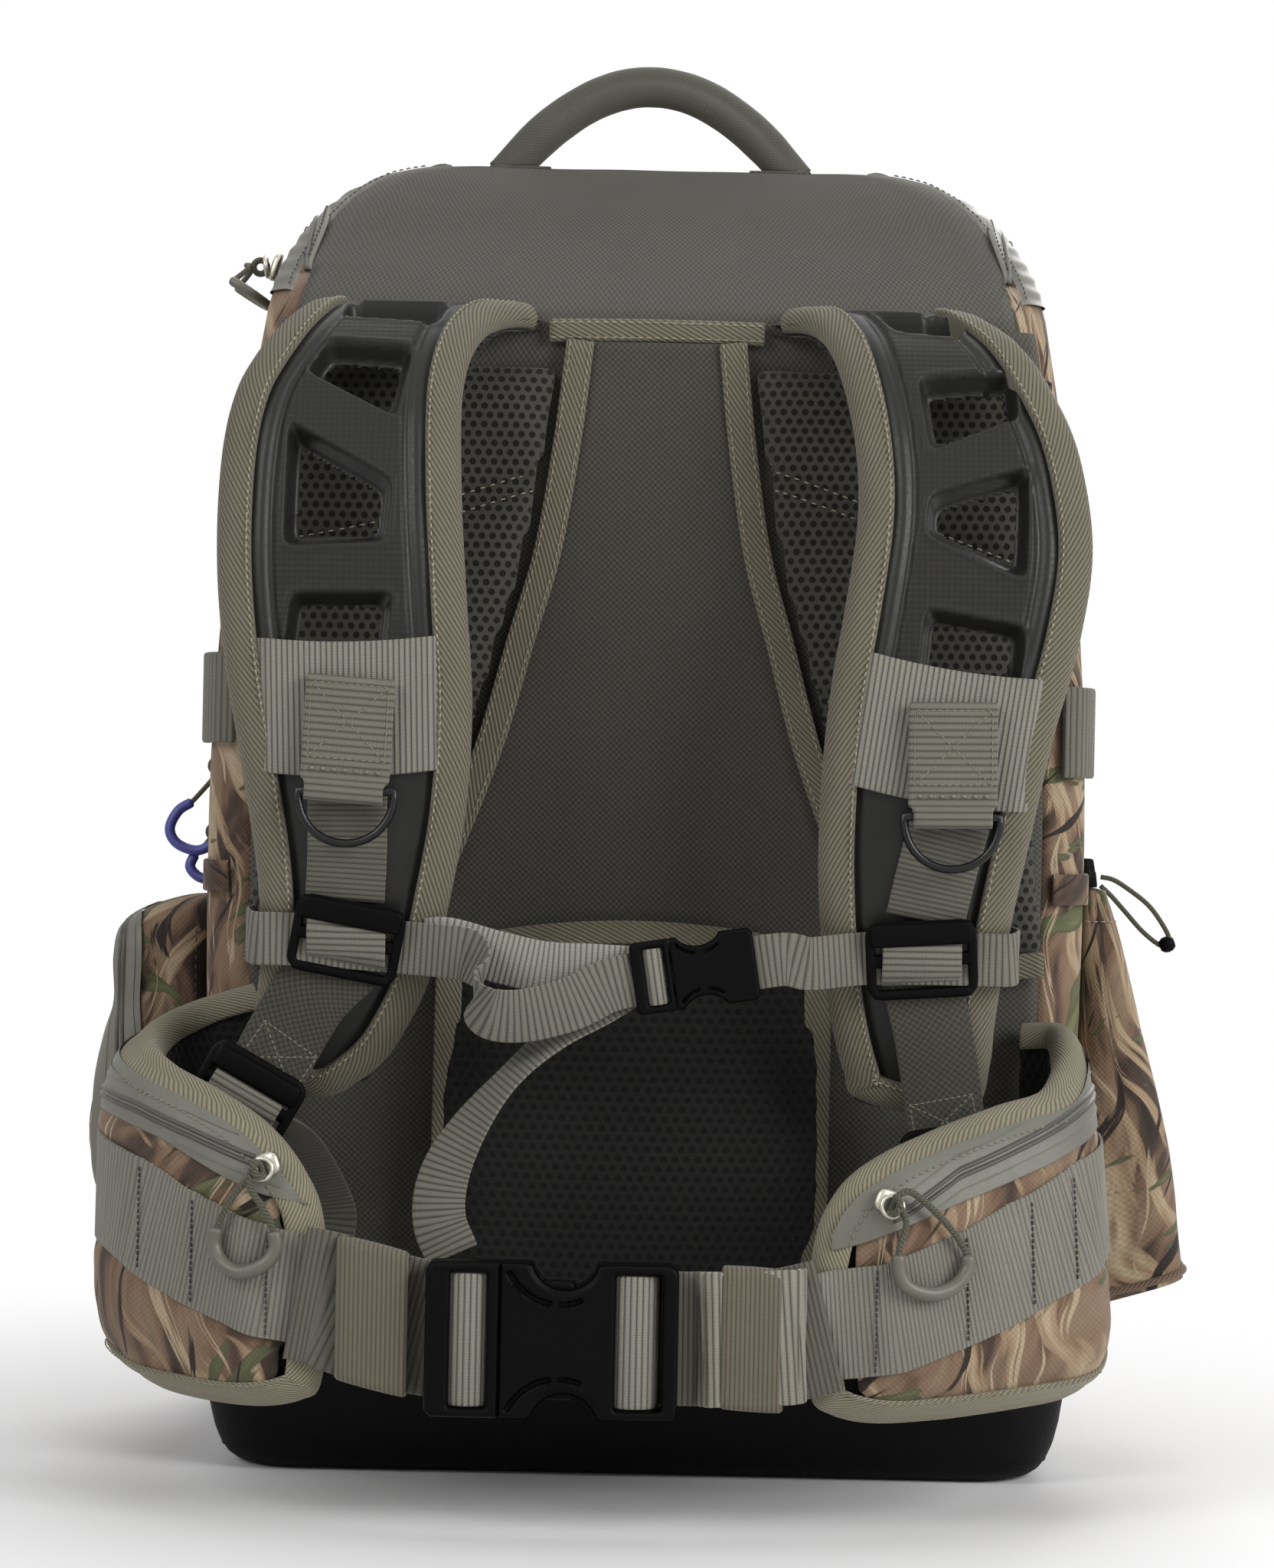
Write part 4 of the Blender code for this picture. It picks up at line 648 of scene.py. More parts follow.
# %% The bag's materials
M = {
    "panel": cloth("olive_panel", "weave", srgb(87, 85, 78), srgb(51, 50, 44), 0.00018, pitch=0.0012),
    "spine": cloth("spine_fabric", "weave", srgb(78, 76, 68), srgb(42, 41, 36), 0.00018, pitch=0.0012),
    "handle": cloth("handle_wrap", "weave", srgb(92, 91, 83), srgb(70, 69, 62), 0.00012, pitch=0.0008),
    "binding": cloth("twill_binding", "twill", srgb(118, 113, 95), srgb(48, 45, 35), 0.00035, pitch=0.0032,
                     lean=1.8),
    "pale_binding": cloth("pale_binding", "twill", srgb(146, 140, 118), srgb(80, 76, 60), 0.0003, pitch=0.0024,
                          lean=1.8),
    "webbing": cloth("ribbed_webbing", "ribs", srgb(150, 147, 136), srgb(40, 38, 33), 0.00045, pitch=0.0021),
    "pale_webbing": cloth("pale_webbing", "ribs", srgb(168, 165, 156), srgb(74, 72, 66), 0.00045, pitch=0.0021),
    "narrow_webbing": cloth("narrow_webbing", "ribs", srgb(128, 125, 114), srgb(44, 42, 37), 0.0004, pitch=0.0024),
    # a darker copy of the ribbed webbing: painted shade for the strap runs above the sliders and below the
    # adjusters
    "shade_painted_webbing": cloth("shaded_webbing", "ribs", srgb(104, 102, 92), srgb(48, 46, 40), 0.0003, pitch=0.0020),
    "long_webbing": cloth("plain_webbing", "weave", srgb(78, 76, 68), srgb(44, 43, 37), 0.0002, pitch=0.0014),
    "band_webbing": cloth("band_webbing", "ribs", srgb(138, 135, 124), srgb(78, 76, 70), 0.00035, pitch=0.0016),
    # a darker copy of the ribbed webbing that the buckle windows show lighter: painted shade on the belt beside the
    # buckle
    "belt_webbing": cloth("belt_webbing", "ribs", srgb(104, 102, 92), srgb(52, 50, 43), 0.00035, pitch=0.0020),
    "fold_webbing": cloth("folded_webbing", "ribs", srgb(160, 156, 142), srgb(44, 42, 36), 0.0005, pitch=0.0024),
    "brown_binding": cloth("brown_piping", "twill", srgb(118, 96, 80), srgb(60, 46, 38), 0.0002, pitch=0.0022,
                           lean=1.4),
    "pale_thread": moulded("pale_stitching", srgb(128, 124, 108), 0.7),
    "tab": cloth("tab_webbing", "ribs", srgb(122, 120, 108), srgb(60, 58, 50), 0.0004, pitch=0.0026),
    "keeper": cloth("elastic", "ribs", srgb(116, 110, 94), srgb(62, 58, 47), 0.0003, pitch=0.0017),
    "camo": camo_cloth("camouflage_cloth"),
    "mesh": spacer_mesh("padding_mesh", srgb(64, 63, 56), srgb(14, 14, 13), 0.0042),
    "dark_mesh": spacer_mesh("lumbar_mesh", srgb(26, 26, 24), srgb(6, 6, 5), 0.0044),
    "strap_foam": moulded("strap_foam", srgb(25, 25, 23), 0.52, crosshatch=0.0016, specular=0.25),
    "smooth_foam": moulded("pressed_foam", srgb(28, 28, 26), 0.40, grain_size=0.0012, grain_depth=0.00004,
                           specular=0.3),
    "base_foam": moulded("base_foam", srgb(9, 9, 10), 0.6, grain_size=0.0016, grain_depth=0.0001, specular=0.12),
    "buckle": moulded("buckle_plastic", srgb(8, 8, 9), 0.46, grain_size=0.0009, specular=0.06),
    "wire": moulded("black_wire", srgb(12, 12, 13), 0.28, specular=0.35),
    "zip_metal": moulded("slider_metal", srgb(190, 186, 172), 0.32, metallic=0.85),
    "laminate": moulded("laminated_zip", srgb(104, 103, 94), 0.52, grain_size=0.0009),
    "coil": moulded("zip_coil", srgb(62, 60, 54), 0.45),
    "cord": cloth("braided_cord", "twill", srgb(92, 92, 78), srgb(40, 40, 32), 0.0002, pitch=0.0016),
    "olive_grip": moulded("olive_grip", srgb(96, 95, 84), 0.42),
    "blue_grip": moulded("blue_grip", srgb(66, 68, 142), 0.42),
    "thread": moulded("stitching", srgb(150, 146, 126), 0.7),
    "dark_thread": moulded("dark_stitching", srgb(40, 38, 44), 0.7),
    "lining": cloth("lining", "weave", srgb(70, 69, 64), srgb(46, 45, 41), 0.0001, pitch=0.0010),
    "board": moulded("stiffener", srgb(120, 118, 112), 0.6),
}
print("materials:", len(M))

# %% [markdown]
# ## The bag
# The bag is one lofted shell: a rounded rectangle at every height, 333 mm wide at the foot, 352 mm
# at the hips and narrower at the shoulder, where the back starts to slope up to the crest. The rear
# tray door and the lid are parts of the same surface, so they are cut from the same grid and their
# zips meet when shut. Cloth between seams isn't flat, so the sides and the lid get slow ripples that
# fade out at the openings' edges and where the harness is sewn on.

# %% The bag's form
FOOT_HALF, BODY_HALF, SHOULDER_HALF, CREST_HALF = 0.1665, 0.176, 0.157, 0.098
BODY_Z, SHOULDER_Z, LID_Z, CREST_Z = 0.250, 0.458, 0.478, 0.531
BAG_DEPTH, CREST_REAR, CREST_FRONT, CORNER = 0.225, 0.088, 0.152, 0.024
DOOR_BACK, DOOR_LOW, DOOR_HINGE_Y, DOOR_REACH = 0.116, 0.075, 0.2265, 0.345
LID_CHEEK, LID_REAR, BACK_HALF = 0.1415, 0.108, 0.1565
CLOTH = 0.0026


def half_width(z):
    """Half of the width: a quarter sine to the hips, a parabola to the shoulder, an ellipse to the crest."""
    z = np.asarray(z, float)
    low = FOOT_HALF + (BODY_HALF - FOOT_HALF) * np.sin(math.pi / 2 * np.clip(z / BODY_Z, 0, 1))
    mid = BODY_HALF - (BODY_HALF - SHOULDER_HALF) * np.clip((z - BODY_Z) / (SHOULDER_Z - BODY_Z), 0, 1) ** 2
    rise = np.clip((z - SHOULDER_Z) / (CREST_Z - SHOULDER_Z), 0, 1)
    top = CREST_HALF + (SHOULDER_HALF - CREST_HALF) * np.sqrt(1 - rise ** 2)
    return np.where(z <= BODY_Z, low, np.where(z <= SHOULDER_Z, mid, top))


def rear_y(z):
    """The back is upright up to the shoulder, then slopes in a straight line to the crest."""
    return CREST_REAR * np.clip((z - SHOULDER_Z) / (CREST_Z - SHOULDER_Z), 0, 1)


def front_y(z):
    """The front is upright up to the lid, then a quarter ellipse to the crest."""
    rise = np.clip((z - LID_Z) / (CREST_Z - LID_Z), 0, 1)
    return BAG_DEPTH - (BAG_DEPTH - CREST_FRONT) * (1 - np.sqrt(1 - rise ** 2))


def ring_columns(side, end, corner):
    """Rows of (a corner's signs, angle on it, the next corner's signs, share of the way there)."""
    quarter = np.radians(np.linspace(0, 90, corner + 1))
    columns = []
    for k, (sx, sy, count) in enumerate([(1, 1, end), (-1, 1, side), (-1, -1, end), (1, -1, side)]):
        nx, ny = [(-1, 1), (-1, -1), (1, -1), (1, 1)][k]
        columns += [(sx, sy, a + k * math.pi / 2, sx, sy, 0.0) for a in quarter]
        columns += [(sx, sy, (k + 1) * math.pi / 2, nx, ny, f) for f in np.arange(1, count) / count]
    return np.array(columns)


def round_rectangle(columns, half, low, high, radius):
    """Points round |x| <= half, low <= y <= high: a slide between corner centres plus the corner's arc."""
    sx, sy, angle, nx, ny, share = columns.T
    ax, bx = sx * (half - radius), nx * (half - radius)
    ay, by = (np.where(s > 0, high - radius, low + radius) for s in (sy, ny))
    return ax + (bx - ax) * share + radius * np.cos(angle), ay + (by - ay) * share + radius * np.sin(angle)


# the side walls are split so that one column runs down the door's zip
COLUMNS = ring_columns(25, 44, 8)
STRAIGHT = BAG_DEPTH - 2 * CORNER
ZIP_SHARE = (BAG_DEPTH - CORNER - DOOR_BACK) / STRAIGHT


def bag_ring(z, columns=COLUMNS):
    """Points round the bag at heights z: (rows, columns, 3)."""
    z = np.asarray(z, float)[..., None]
    half, rear, front = half_width(z), rear_y(z), front_y(z)
    x, y = round_rectangle(columns, half, rear, front, np.minimum(CORNER, (front - rear) / 2 * 0.98))
    return together(x, y, z)


# slide the side walls' columns so that one lies exactly on the zip
for first, sign in ((1, 1), (3, -1)):
    on_wall = (COLUMNS[:, 5] > 0) & (COLUMNS[:, 0] == (-1 if first == 1 else 1)) & (COLUMNS[:, 1] == sign)
    shares = COLUMNS[on_wall, 5]
    target = ZIP_SHARE if sign > 0 else 1 - ZIP_SHARE
    nearest = shares[np.argmin(abs(shares - target))]
    COLUMNS[on_wall, 5] = np.interp(shares, [0, nearest, 1], [0, target, 1])

rows_low = np.linspace(0.016, DOOR_LOW, 9)
rows_mid = np.linspace(DOOR_LOW, BODY_Z, 30)[1:]
rows_up = np.linspace(BODY_Z, 0.410, 27)[1:]
rows_neck = np.linspace(0.410, LID_Z, 12)[1:]
rows_dome = LID_Z + (CREST_Z - LID_Z) * np.sin(np.linspace(0, math.pi / 2, 14))[1:]
heights = np.concatenate([rows_low, rows_mid, rows_up, rows_neck, rows_dome])
bag = bag_ring(heights)

# bend the rows near the door's top so that one of them is its arc about the hinge line
arc_z = DOOR_LOW + np.sqrt(np.maximum(DOOR_REACH ** 2 - (DOOR_HINGE_Y - np.maximum(bag[0, :, 1], DOOR_BACK)) ** 2,
                                      0))
bent = np.stack([np.interp(heights, [0, BODY_Z, 0.410, LID_Z, 1], [0, BODY_Z, a, LID_Z, 1]) for a in arc_z], 1)
below = heights < LID_Z - 1e-6
for column in range(bag.shape[1]):
    bag[below, column] = bag_ring(bent[below, column], COLUMNS[column:column + 1])[:, 0]

# the crest closes with smaller and smaller copies of its last ring, a little domed
crest = bag[-1]
centre = np.array([0, (CREST_REAR + CREST_FRONT) / 2, CREST_Z])
for share in (0.88, 0.74, 0.58, 0.42, 0.26, 0.10, 0.01):
    ring = centre + (crest - centre) * share
    bag = np.concatenate([bag, ring[None]])


def crest_lift(points):
    """How far the padded top swells above its pattern: a little everywhere, most over the shoulders."""
    x, y, z = points[..., 0], points[..., 1], points[..., 2]
    swell = 0.0014 + 0.0020 * np.exp(-((abs(x) - 0.105) / 0.030) ** 2)
    return swell * smoothstep(z, 0.490, 0.528) * (1 - smoothstep(y, 0.06, 0.12))


bag[..., 2] += crest_lift(bag)
print("bag grid:", bag.shape)

# %% Ripples in the cloth
outward = np.zeros_like(bag)
outward[..., 0] = np.sign(bag[..., 0]) * smoothstep(abs(bag[..., 0]), 0.12, 0.15)
outward[..., 1] = smoothstep(bag[..., 1], 0.20, 0.222)
outward[..., 2] = smoothstep(bag[..., 2], 0.505, 0.528)
outward = unit(outward + 1e-9)
away = smoothstep(bag[..., 1], 0.012, 0.045)                          # none where the harness is sewn on
away *= smoothstep(abs(bag[..., 2] - LID_Z), 0.0, 0.02)               # none at the lid's edge
away *= smoothstep(abs(bag[..., 1] - DOOR_BACK), 0.0, 0.02) + (bag[..., 2] > 0.43)
away *= smoothstep(bag[..., 2], 0.05, 0.10)
away = np.where(bag[..., 1] > 0.21, away * 0.25, np.clip(away, 0, 1))
squeeze = bag * np.array([1.0, 1.0, 0.45])
bag = bag + outward * (away * 0.0011 * (ripple(squeeze, 11, 0.085) + 0.35))[..., None]
bag_s = round_trip(bag[60])
bag_t = np.concatenate([[0], np.cumsum(np.linalg.norm(np.diff(bag[:, 45], axis=0), axis=1))])
bag_uv = together(bag_s[None, :], bag_t[:, None])
print("round the bag:", round(float(bag_s[-1]), 3), "m")

# %% [markdown]
# The lid and the door are cut out with flat knives: first every face edge is split along the planes
# of the zips, then each face goes to the lid, the door or the shell by where its middle lies.

# %% Cut the form
def cut_form():
    """One bmesh of the whole form, split along the planes of the lid's zip."""
    whole = surface("bag_form", bag, M["camo"], None, "camo_fabric", bag_uv, wrap_columns=True)
    bm = bmesh.new()
    bm.from_mesh(whole.data)
    bpy.data.objects.remove(whole)
    for point, normal in (((LID_CHEEK, 0, 0), (1, 0, 0)), ((-LID_CHEEK, 0, 0), (1, 0, 0)),
                          ((0, LID_REAR, 0), (0, 1, 0))):
        high = [f for f in bm.faces if f.calc_center_median().z > LID_Z]
        geometry = high + list({e for f in high for e in f.edges}) + list({v for f in high for v in f.verts})
        bmesh.ops.bisect_plane(bm, geom=geometry, plane_co=point, plane_no=normal, dist=1e-6)
    return bm


def part_of(centre):
    """Which piece a face belongs to."""
    x, y, z = centre
    if z > LID_Z and not (abs(x) < LID_CHEEK and y < LID_REAR):
        return "lid"
    arc = math.hypot(y - DOOR_HINGE_Y, z - DOOR_LOW)
    if y > DOOR_BACK and z > DOOR_LOW and arc < DOOR_REACH:
        return "tray_door"
    return "bag_shell"


def carve(name, keep, material, body, slot, replaces):
    """A piece from the form's faces that keep(part, centre) accepts, with the cloth's thickness inside."""
    bm = cut_form()
    bmesh.ops.delete(bm, geom=[f for f in bm.faces
                               if not keep(part_of(f.calc_center_median()), f.calc_center_median())],
                     context="FACES")
    bmesh.ops.recalc_face_normals(bm, faces=bm.faces)
    probe = max(bm.faces, key=lambda f: f.calc_center_median().z + abs(f.calc_center_median().x))
    middle = probe.calc_center_median()
    if probe.normal.dot(middle - type(middle)((0, 0.11, 0.27))) < 0:
        bmesh.ops.reverse_faces(bm, faces=bm.faces)
    mesh = bpy.data.meshes.new(name)
    bm.to_mesh(mesh)
    bm.free()
    mesh.materials.append(material)
    mesh.materials.append(M["lining"])
    mesh.polygons.foreach_set("use_smooth", np.full(len(mesh.polygons), True))
    piece = put(name, mesh)
    wall = piece.modifiers.new("cloth", "SOLIDIFY")
    wall.thickness = CLOTH
    wall.offset = -1.0
    wall.material_offset = 1
    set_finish(piece, slot)
    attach(piece, body)
    if replaces:
        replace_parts(piece, replaces)
    return piece


def is_back(c):
    """The olive part of the shell: the back, its slope up to the crest, and the strip by the handle."""
    on_back = c.y < 0.006 and (abs(c.x) < BACK_HALF or c.z > SHOULDER_Z)
    return on_back or (c.z > SHOULDER_Z and abs(c.x) < LID_CHEEK and c.y < LID_REAR)


carve("bag_sides", lambda part, c: part == "bag_shell" and not is_back(c), M["camo"], "pack", "camo_fabric",
      "bag_shell")
carve("back_cloth", lambda part, c: part == "bag_shell" and is_back(c), M["panel"], "pack", "olive_fabric", None)
carve("lid_cloth", lambda part, c: part == "lid", M["camo"], "lid", "camo_fabric", "lid")
carve("door_cloth", lambda part, c: part == "tray_door", M["camo"], "tray_door", "camo_fabric", "tray_door")
print("shell, back, lid and door cut")

# %% [markdown]
# ## The base tray
# The foot is a tray moulded from dense foam. It is lofted from rounded rectangles too: a tucked
# bottom edge, a nearly upright wall with a soft swell, and a rolled lip that hugs the cloth.

# %% Base tray
PAN_TOP = 0.045
pan_columns = ring_columns(12, 24, 10)


def pan_ring(z, grow, radius):
    """A rounded rectangle grown by that much from the tray's nominal outline."""
    x, y = round_rectangle(pan_columns, 0.1690 + grow, -0.0038 - grow, 0.2288 + grow, radius)
    return together(x, y, z)


# height, growth and corner radius: under the foot, round its edge, up the wall, over the lip, down inside
PAN_PROFILE = [(0.0000, -0.1000, 0.010), (0.0000, -0.0160, 0.020), (0.0004, -0.0125, 0.022),
               (0.0016, -0.0090, 0.024),
               (0.0042, -0.0056, 0.026), (0.0080, -0.0030, 0.028), (0.0140, -0.0006, 0.029),
               (0.0230, 0.0014, 0.029),
               (0.0320, 0.0026, 0.029),
               (0.0400, 0.0034, 0.029), (0.0436, 0.0036, 0.029), (0.0450, 0.0026, 0.028), (0.0450, 0.0010, 0.027),
               (0.0436, 0.0002, 0.026), (0.0300, -0.0004, 0.026), (0.0080, -0.0030, 0.024),
               (0.0042, -0.0100, 0.022),
               (0.0042, -0.1000, 0.010)]
pan_table = np.array(PAN_PROFILE)
pan_at = np.linspace(0, len(pan_table) - 1, 3 * len(pan_table))
pan_stations = np.stack([np.interp(pan_at, np.arange(len(pan_table)), column) for column in pan_table.T], 1)
pan = np.stack([pan_ring(*row) for row in pan_stations])
pan[..., 2] = np.clip(pan[..., 2], 0.0, PAN_TOP)
pan_s = round_trip(pan[20])
pan_t = along(np.stack([pan_stations[:, 0], pan_stations[:, 1]], 1))
pan_uv = together(pan_s[None, :], pan_t[:, None])
tray = tubular("base_tray", pan, M["base_foam"], "pack", "eva", pan_uv)
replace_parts(tray, "base_pan")
print("base tray:", len(tray.data.polygons), "faces")

# %% [markdown]
# ## Padding
# The back pads, the lumbar pad and the closed pockets are foam or air inside cloth. Each starts as a
# closed form a little smaller than the real one. Cloth simulation with some pressure inside then
# pulls the faces into crowns and the sides in between the corners, as stuffing does. Seams come
# afterwards, as grooves pressed into the crown, and the UVs are laid on flat from the front.

# %% Padded forms
def pillow_rings(front, rear):
    """Rings that run left to right over the front grid and back over the rear grid."""
    return np.concatenate([front, rear[:, ::-1]], axis=1)


def puff(name, rings, material, body, slot, clamp, cap=0.005, voxel=0.005):
    """A closed form of rings, remeshed, blown up by cloth pressure and held inside clamp(points)."""
    uv = np.zeros((rings.shape[0], rings.shape[1] + 1, 2))
    piece = tubular(name, rings, material, None, slot, uv)
    remesh = piece.modifiers.new("even_cells", "REMESH")
    remesh.mode = "VOXEL"
    remesh.voxel_size = voxel
    graph = bpy.context.evaluated_depsgraph_get()
    even = bpy.data.meshes.new_from_object(piece.evaluated_get(graph))
    piece.modifiers.clear()
    piece.data = even
    start = read_points(even)
    end = start.copy()
    cloth_ = piece.modifiers.new("stuffing", "CLOTH")
    cloth_.settings.use_pressure = True
    cloth_.settings.uniform_pressure_force = 4.0
    cloth_.settings.effector_weights.gravity = 0.0
    cloth_.settings.quality = 4
    for number in range(1, 21):
        bpy.context.scene.frame_set(number)
    graph = bpy.context.evaluated_depsgraph_get()
    end = read_points(piece.evaluated_get(graph).to_mesh())
    piece.evaluated_get(graph).to_mesh_clear()
    piece.modifiers.clear()
    bpy.context.scene.frame_set(1)
    moved = end - start
    moved -= moved.mean(0)
    length = np.linalg.norm(moved, axis=1, keepdims=True)
    moved *= np.minimum(1.0, cap / np.maximum(length, 1e-9))
    finish_pad(piece, clamp(start + moved))
    if body:
        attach(piece, body)
    return piece


def finish_pad(piece, points):
    """Store the points, subdivide once and lay the UVs on flat from the front, in metres."""
    write_points(piece.data, points)
    smoother = piece.modifiers.new("rounder", "SUBSURF")
    smoother.levels = smoother.render_levels = 1
    graph = bpy.context.evaluated_depsgraph_get()
    fine = bpy.data.meshes.new_from_object(piece.evaluated_get(graph))
    piece.modifiers.clear()
    piece.data = fine
    lay_uv(fine, read_points(fine)[read_corners(fine)][:, [0, 2]])
    fine.update()


def press(piece, depth_at):
    """Push the front of a pad in along +Y by depth_at(points)."""
    points = read_points(piece.data)
    points[:, 1] += depth_at(points)
    write_points(piece.data, points)


def line_gap(points, line):
    """Distance in the XZ plane from points to a line of straight pieces."""
    p = points[:, [0, 2]]
    found = np.full(len(p), 1e9)
    line = np.asarray(line, float)
    for a, b in zip(line[:-1], line[1:]):
        t = np.clip(((p - a) @ (b - a)) / ((b - a) @ (b - a)), 0, 1)
        found = np.minimum(found, np.linalg.norm(p - a - t[:, None] * (b - a), axis=1))
    return found

# %% [markdown]
# ## Stitches
# A row of stitches is what makes cloth look sewn. A short thread with round ends is swept once and
# copied along a line, each copy turned to the line, so a whole row is one small mesh.

# %% Stitch rows
def spread(rows, count):
    """A list of vectors read off at count equal steps."""
    at, own = np.linspace(0, 1, count), np.linspace(0, 1, len(rows))
    return np.stack([np.interp(at, own, rows[:, i]) for i in range(3)], 1)


def stitches(name, line, normal, body, material="thread", pitch=0.0034, length=0.0022, width=0.0006, lift=0.0002,
             slot="webbing"):
    """Copies of one stitch: point + local x * tangent + local y * side + local z * normal."""
    line = np.asarray(line, float)
    count = max(2, int(along(line)[-1] / pitch))
    middles = evenly(line, 2 * count + 1)[1::2]
    ahead = unit(np.gradient(middles, axis=0))
    up = np.broadcast_to(np.asarray(normal, float), middles.shape) if np.ndim(normal) == 1 else spread(normal,
            count)
    up = unit(up)
    up = unit(up - ahead * (up * ahead).sum(1, keepdims=True))
    side = np.cross(up, ahead)
    hoop = np.radians([0, 60, 120, 180, 240, 300])
    stations = [(-0.5, 0.25, -0.6), (-0.3, 0.9, 0.2), (0.0, 1.0, 0.5), (0.3, 0.9, 0.2), (0.5, 0.25, -0.6)]
    local = np.array([[(x * length, r * width / 2 * np.cos(a), r * width / 2 * np.sin(a) + h * width / 2)
                       for a in hoop]
                      for x, r, h in stations]).reshape(-1, 3)
    verts = (middles[:, None] + local[None, :, :1] * ahead[:, None] + local[None, :, 1:2] * side[:, None]
             + (local[None, :, 2:] + lift) * up[:, None])
    quads, _ = grid_faces(len(stations), 6, False, True)
    ends = [list(range(5, -1, -1)), list(range(24, 30))]
    faces = []
    for k in range(count):
        faces += (quads + 30 * k).tolist() + [[v + 30 * k for v in end] for end in ends]
    corners = count * (len(quads) * 4 + 12)
    return make_piece(name, verts.reshape(-1, 3), faces, np.zeros((corners, 2)), M[material], body, slot)

# %% [markdown]
# ## The back panel
# Between the shoulder straps lies a plain woven spine panel. It is narrow at the yoke and flares
# towards the hips, and a tape of diagonal twill covers the seam on each side. Outside it are two
# mesh pads, quilted by cross seams with two rows of stitches.

# %% Spine panel
# height, then half the width between the tapes
SPINE_TABLE = np.array([(0.204, 0.0990), (0.226, 0.0825), (0.247, 0.0730), (0.290, 0.0570), (0.330, 0.0460),
                        (0.366, 0.0360),
                        (0.410, 0.0290), (0.4492, 0.0246)])
TAPE = 0.011


def spine_half(z):
    """Half width of the woven part at a height, read from the table along a smooth curve."""
    fine = spline(SPINE_TABLE, 8)
    return np.interp(z, fine[:, 0], fine[:, 1])


z = np.linspace(0.206, 0.4492, 66)[:, None]
share = np.linspace(-1, 1, 41)[None, :]
x = share * (spine_half(z) + 0.004)
crown = 0.0012 * (1 - share ** 2) ** 0.7 + 0.00035 * ripple(together(x, 0 * x, z), 5, 0.07)
spine = together(x, -0.0040 - crown, z)
spine_rear = spine.copy()
spine_rear[..., 1] = -0.0004
spine_rings = pillow_rings(spine, spine_rear)
spine_uv = np.concatenate([spine_rings, spine_rings[:, :1]], 1)[..., [0, 2]]
spine_cloth = tubular("spine_cloth", spine_rings, M["spine"], "pack", "olive_fabric", spine_uv)
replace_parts(spine_cloth, "spine_panel")
for side, sign in SIDES:
    z = np.linspace(0.222, 0.4495, 50)
    line = np.stack([sign * (spine_half(z) + TAPE / 2), np.full_like(z, -0.0058), z], 1)
    sweep(f"spine_tape_{side}", line, (1, 0, 0), rounded_section(TAPE, 0.0016, 0.0007), M["binding"], "pack",
          "olive_fabric")
    for k, inset in enumerate((-1, 1)):
        row = line + [inset * (TAPE / 2 - 0.0016), -0.0008, 0]
        stitches(f"spine_tape_stitch_{side}_{k}", row, (0, -1, 0), "pack", pitch=0.0036)

print("spine panel:", len(spine_cloth.data.polygons), "faces")

# %% Back pads
# the cross seams as (x, z)
SEAMS = {
    "left": [[(-0.165, 0.361), (-0.110, 0.372), (-0.0745, 0.384), (-0.030, 0.399)],
             [(-0.165, 0.296), (-0.090, 0.303), (-0.040, 0.310)]],
    "right": [[(0.030, 0.401), (0.040, 0.398), (0.080, 0.384), (0.143, 0.361), (0.165, 0.353)],
              [(0.040, 0.310), (0.090, 0.303), (0.165, 0.296)]],
}
PAD_OUTER, PAD_LOW, PAD_HIGH, PAD_DEPTH = 0.158, 0.206, 0.445, 0.0125


def pad_grid(sign, depth_share):
    """A grid over one pad: depth rises from its rim as sqrt(1 - (1 - t)^2) over 14 mm."""
    z = np.linspace(PAD_LOW, PAD_HIGH, 56)[:, None]
    t = np.linspace(0, 1, 30)[None, :]
    inner = spine_half(z) + TAPE * 0.8
    x = inner + (PAD_OUTER - inner) * t
    rim = np.minimum(np.minimum(x - inner, PAD_OUTER - x), np.minimum(z - PAD_LOW, PAD_HIGH - z))
    rise = np.clip(rim / 0.014, 0, 1)
    y = -0.0005 - depth_share * (0.0030 + (PAD_DEPTH - 0.0045) * np.sqrt(1 - (1 - rise) ** 2))
    return together(sign * x, y, z)[:, ::sign]


def keep_on_back(points):
    """Nothing sinks into the bag or stands out further than the strap's padding allows."""
    points = points.copy()
    points[:, 1] = np.clip(points[:, 1], -0.0160, -0.0004)
    points[:, 2] = np.clip(points[:, 2], PAD_LOW - 0.003, 0.4478)
    return points


def on_pad(pad, line):
    """The line laid on the pad: each point takes the depth of the nearest point of the pad's face."""
    skin = read_points(pad.data)
    skin = skin[skin[:, 1] < -0.003]
    gap = ((line[:, None, [0, 2]] - skin[None, :, [0, 2]]) ** 2).sum(-1)
    depth = np.convolve(np.pad(skin[gap.argmin(1), 1], 2, mode="edge"), np.ones(5) / 5, "valid")
    return np.stack([line[:, 0], depth - 0.0004, line[:, 2]], 1)


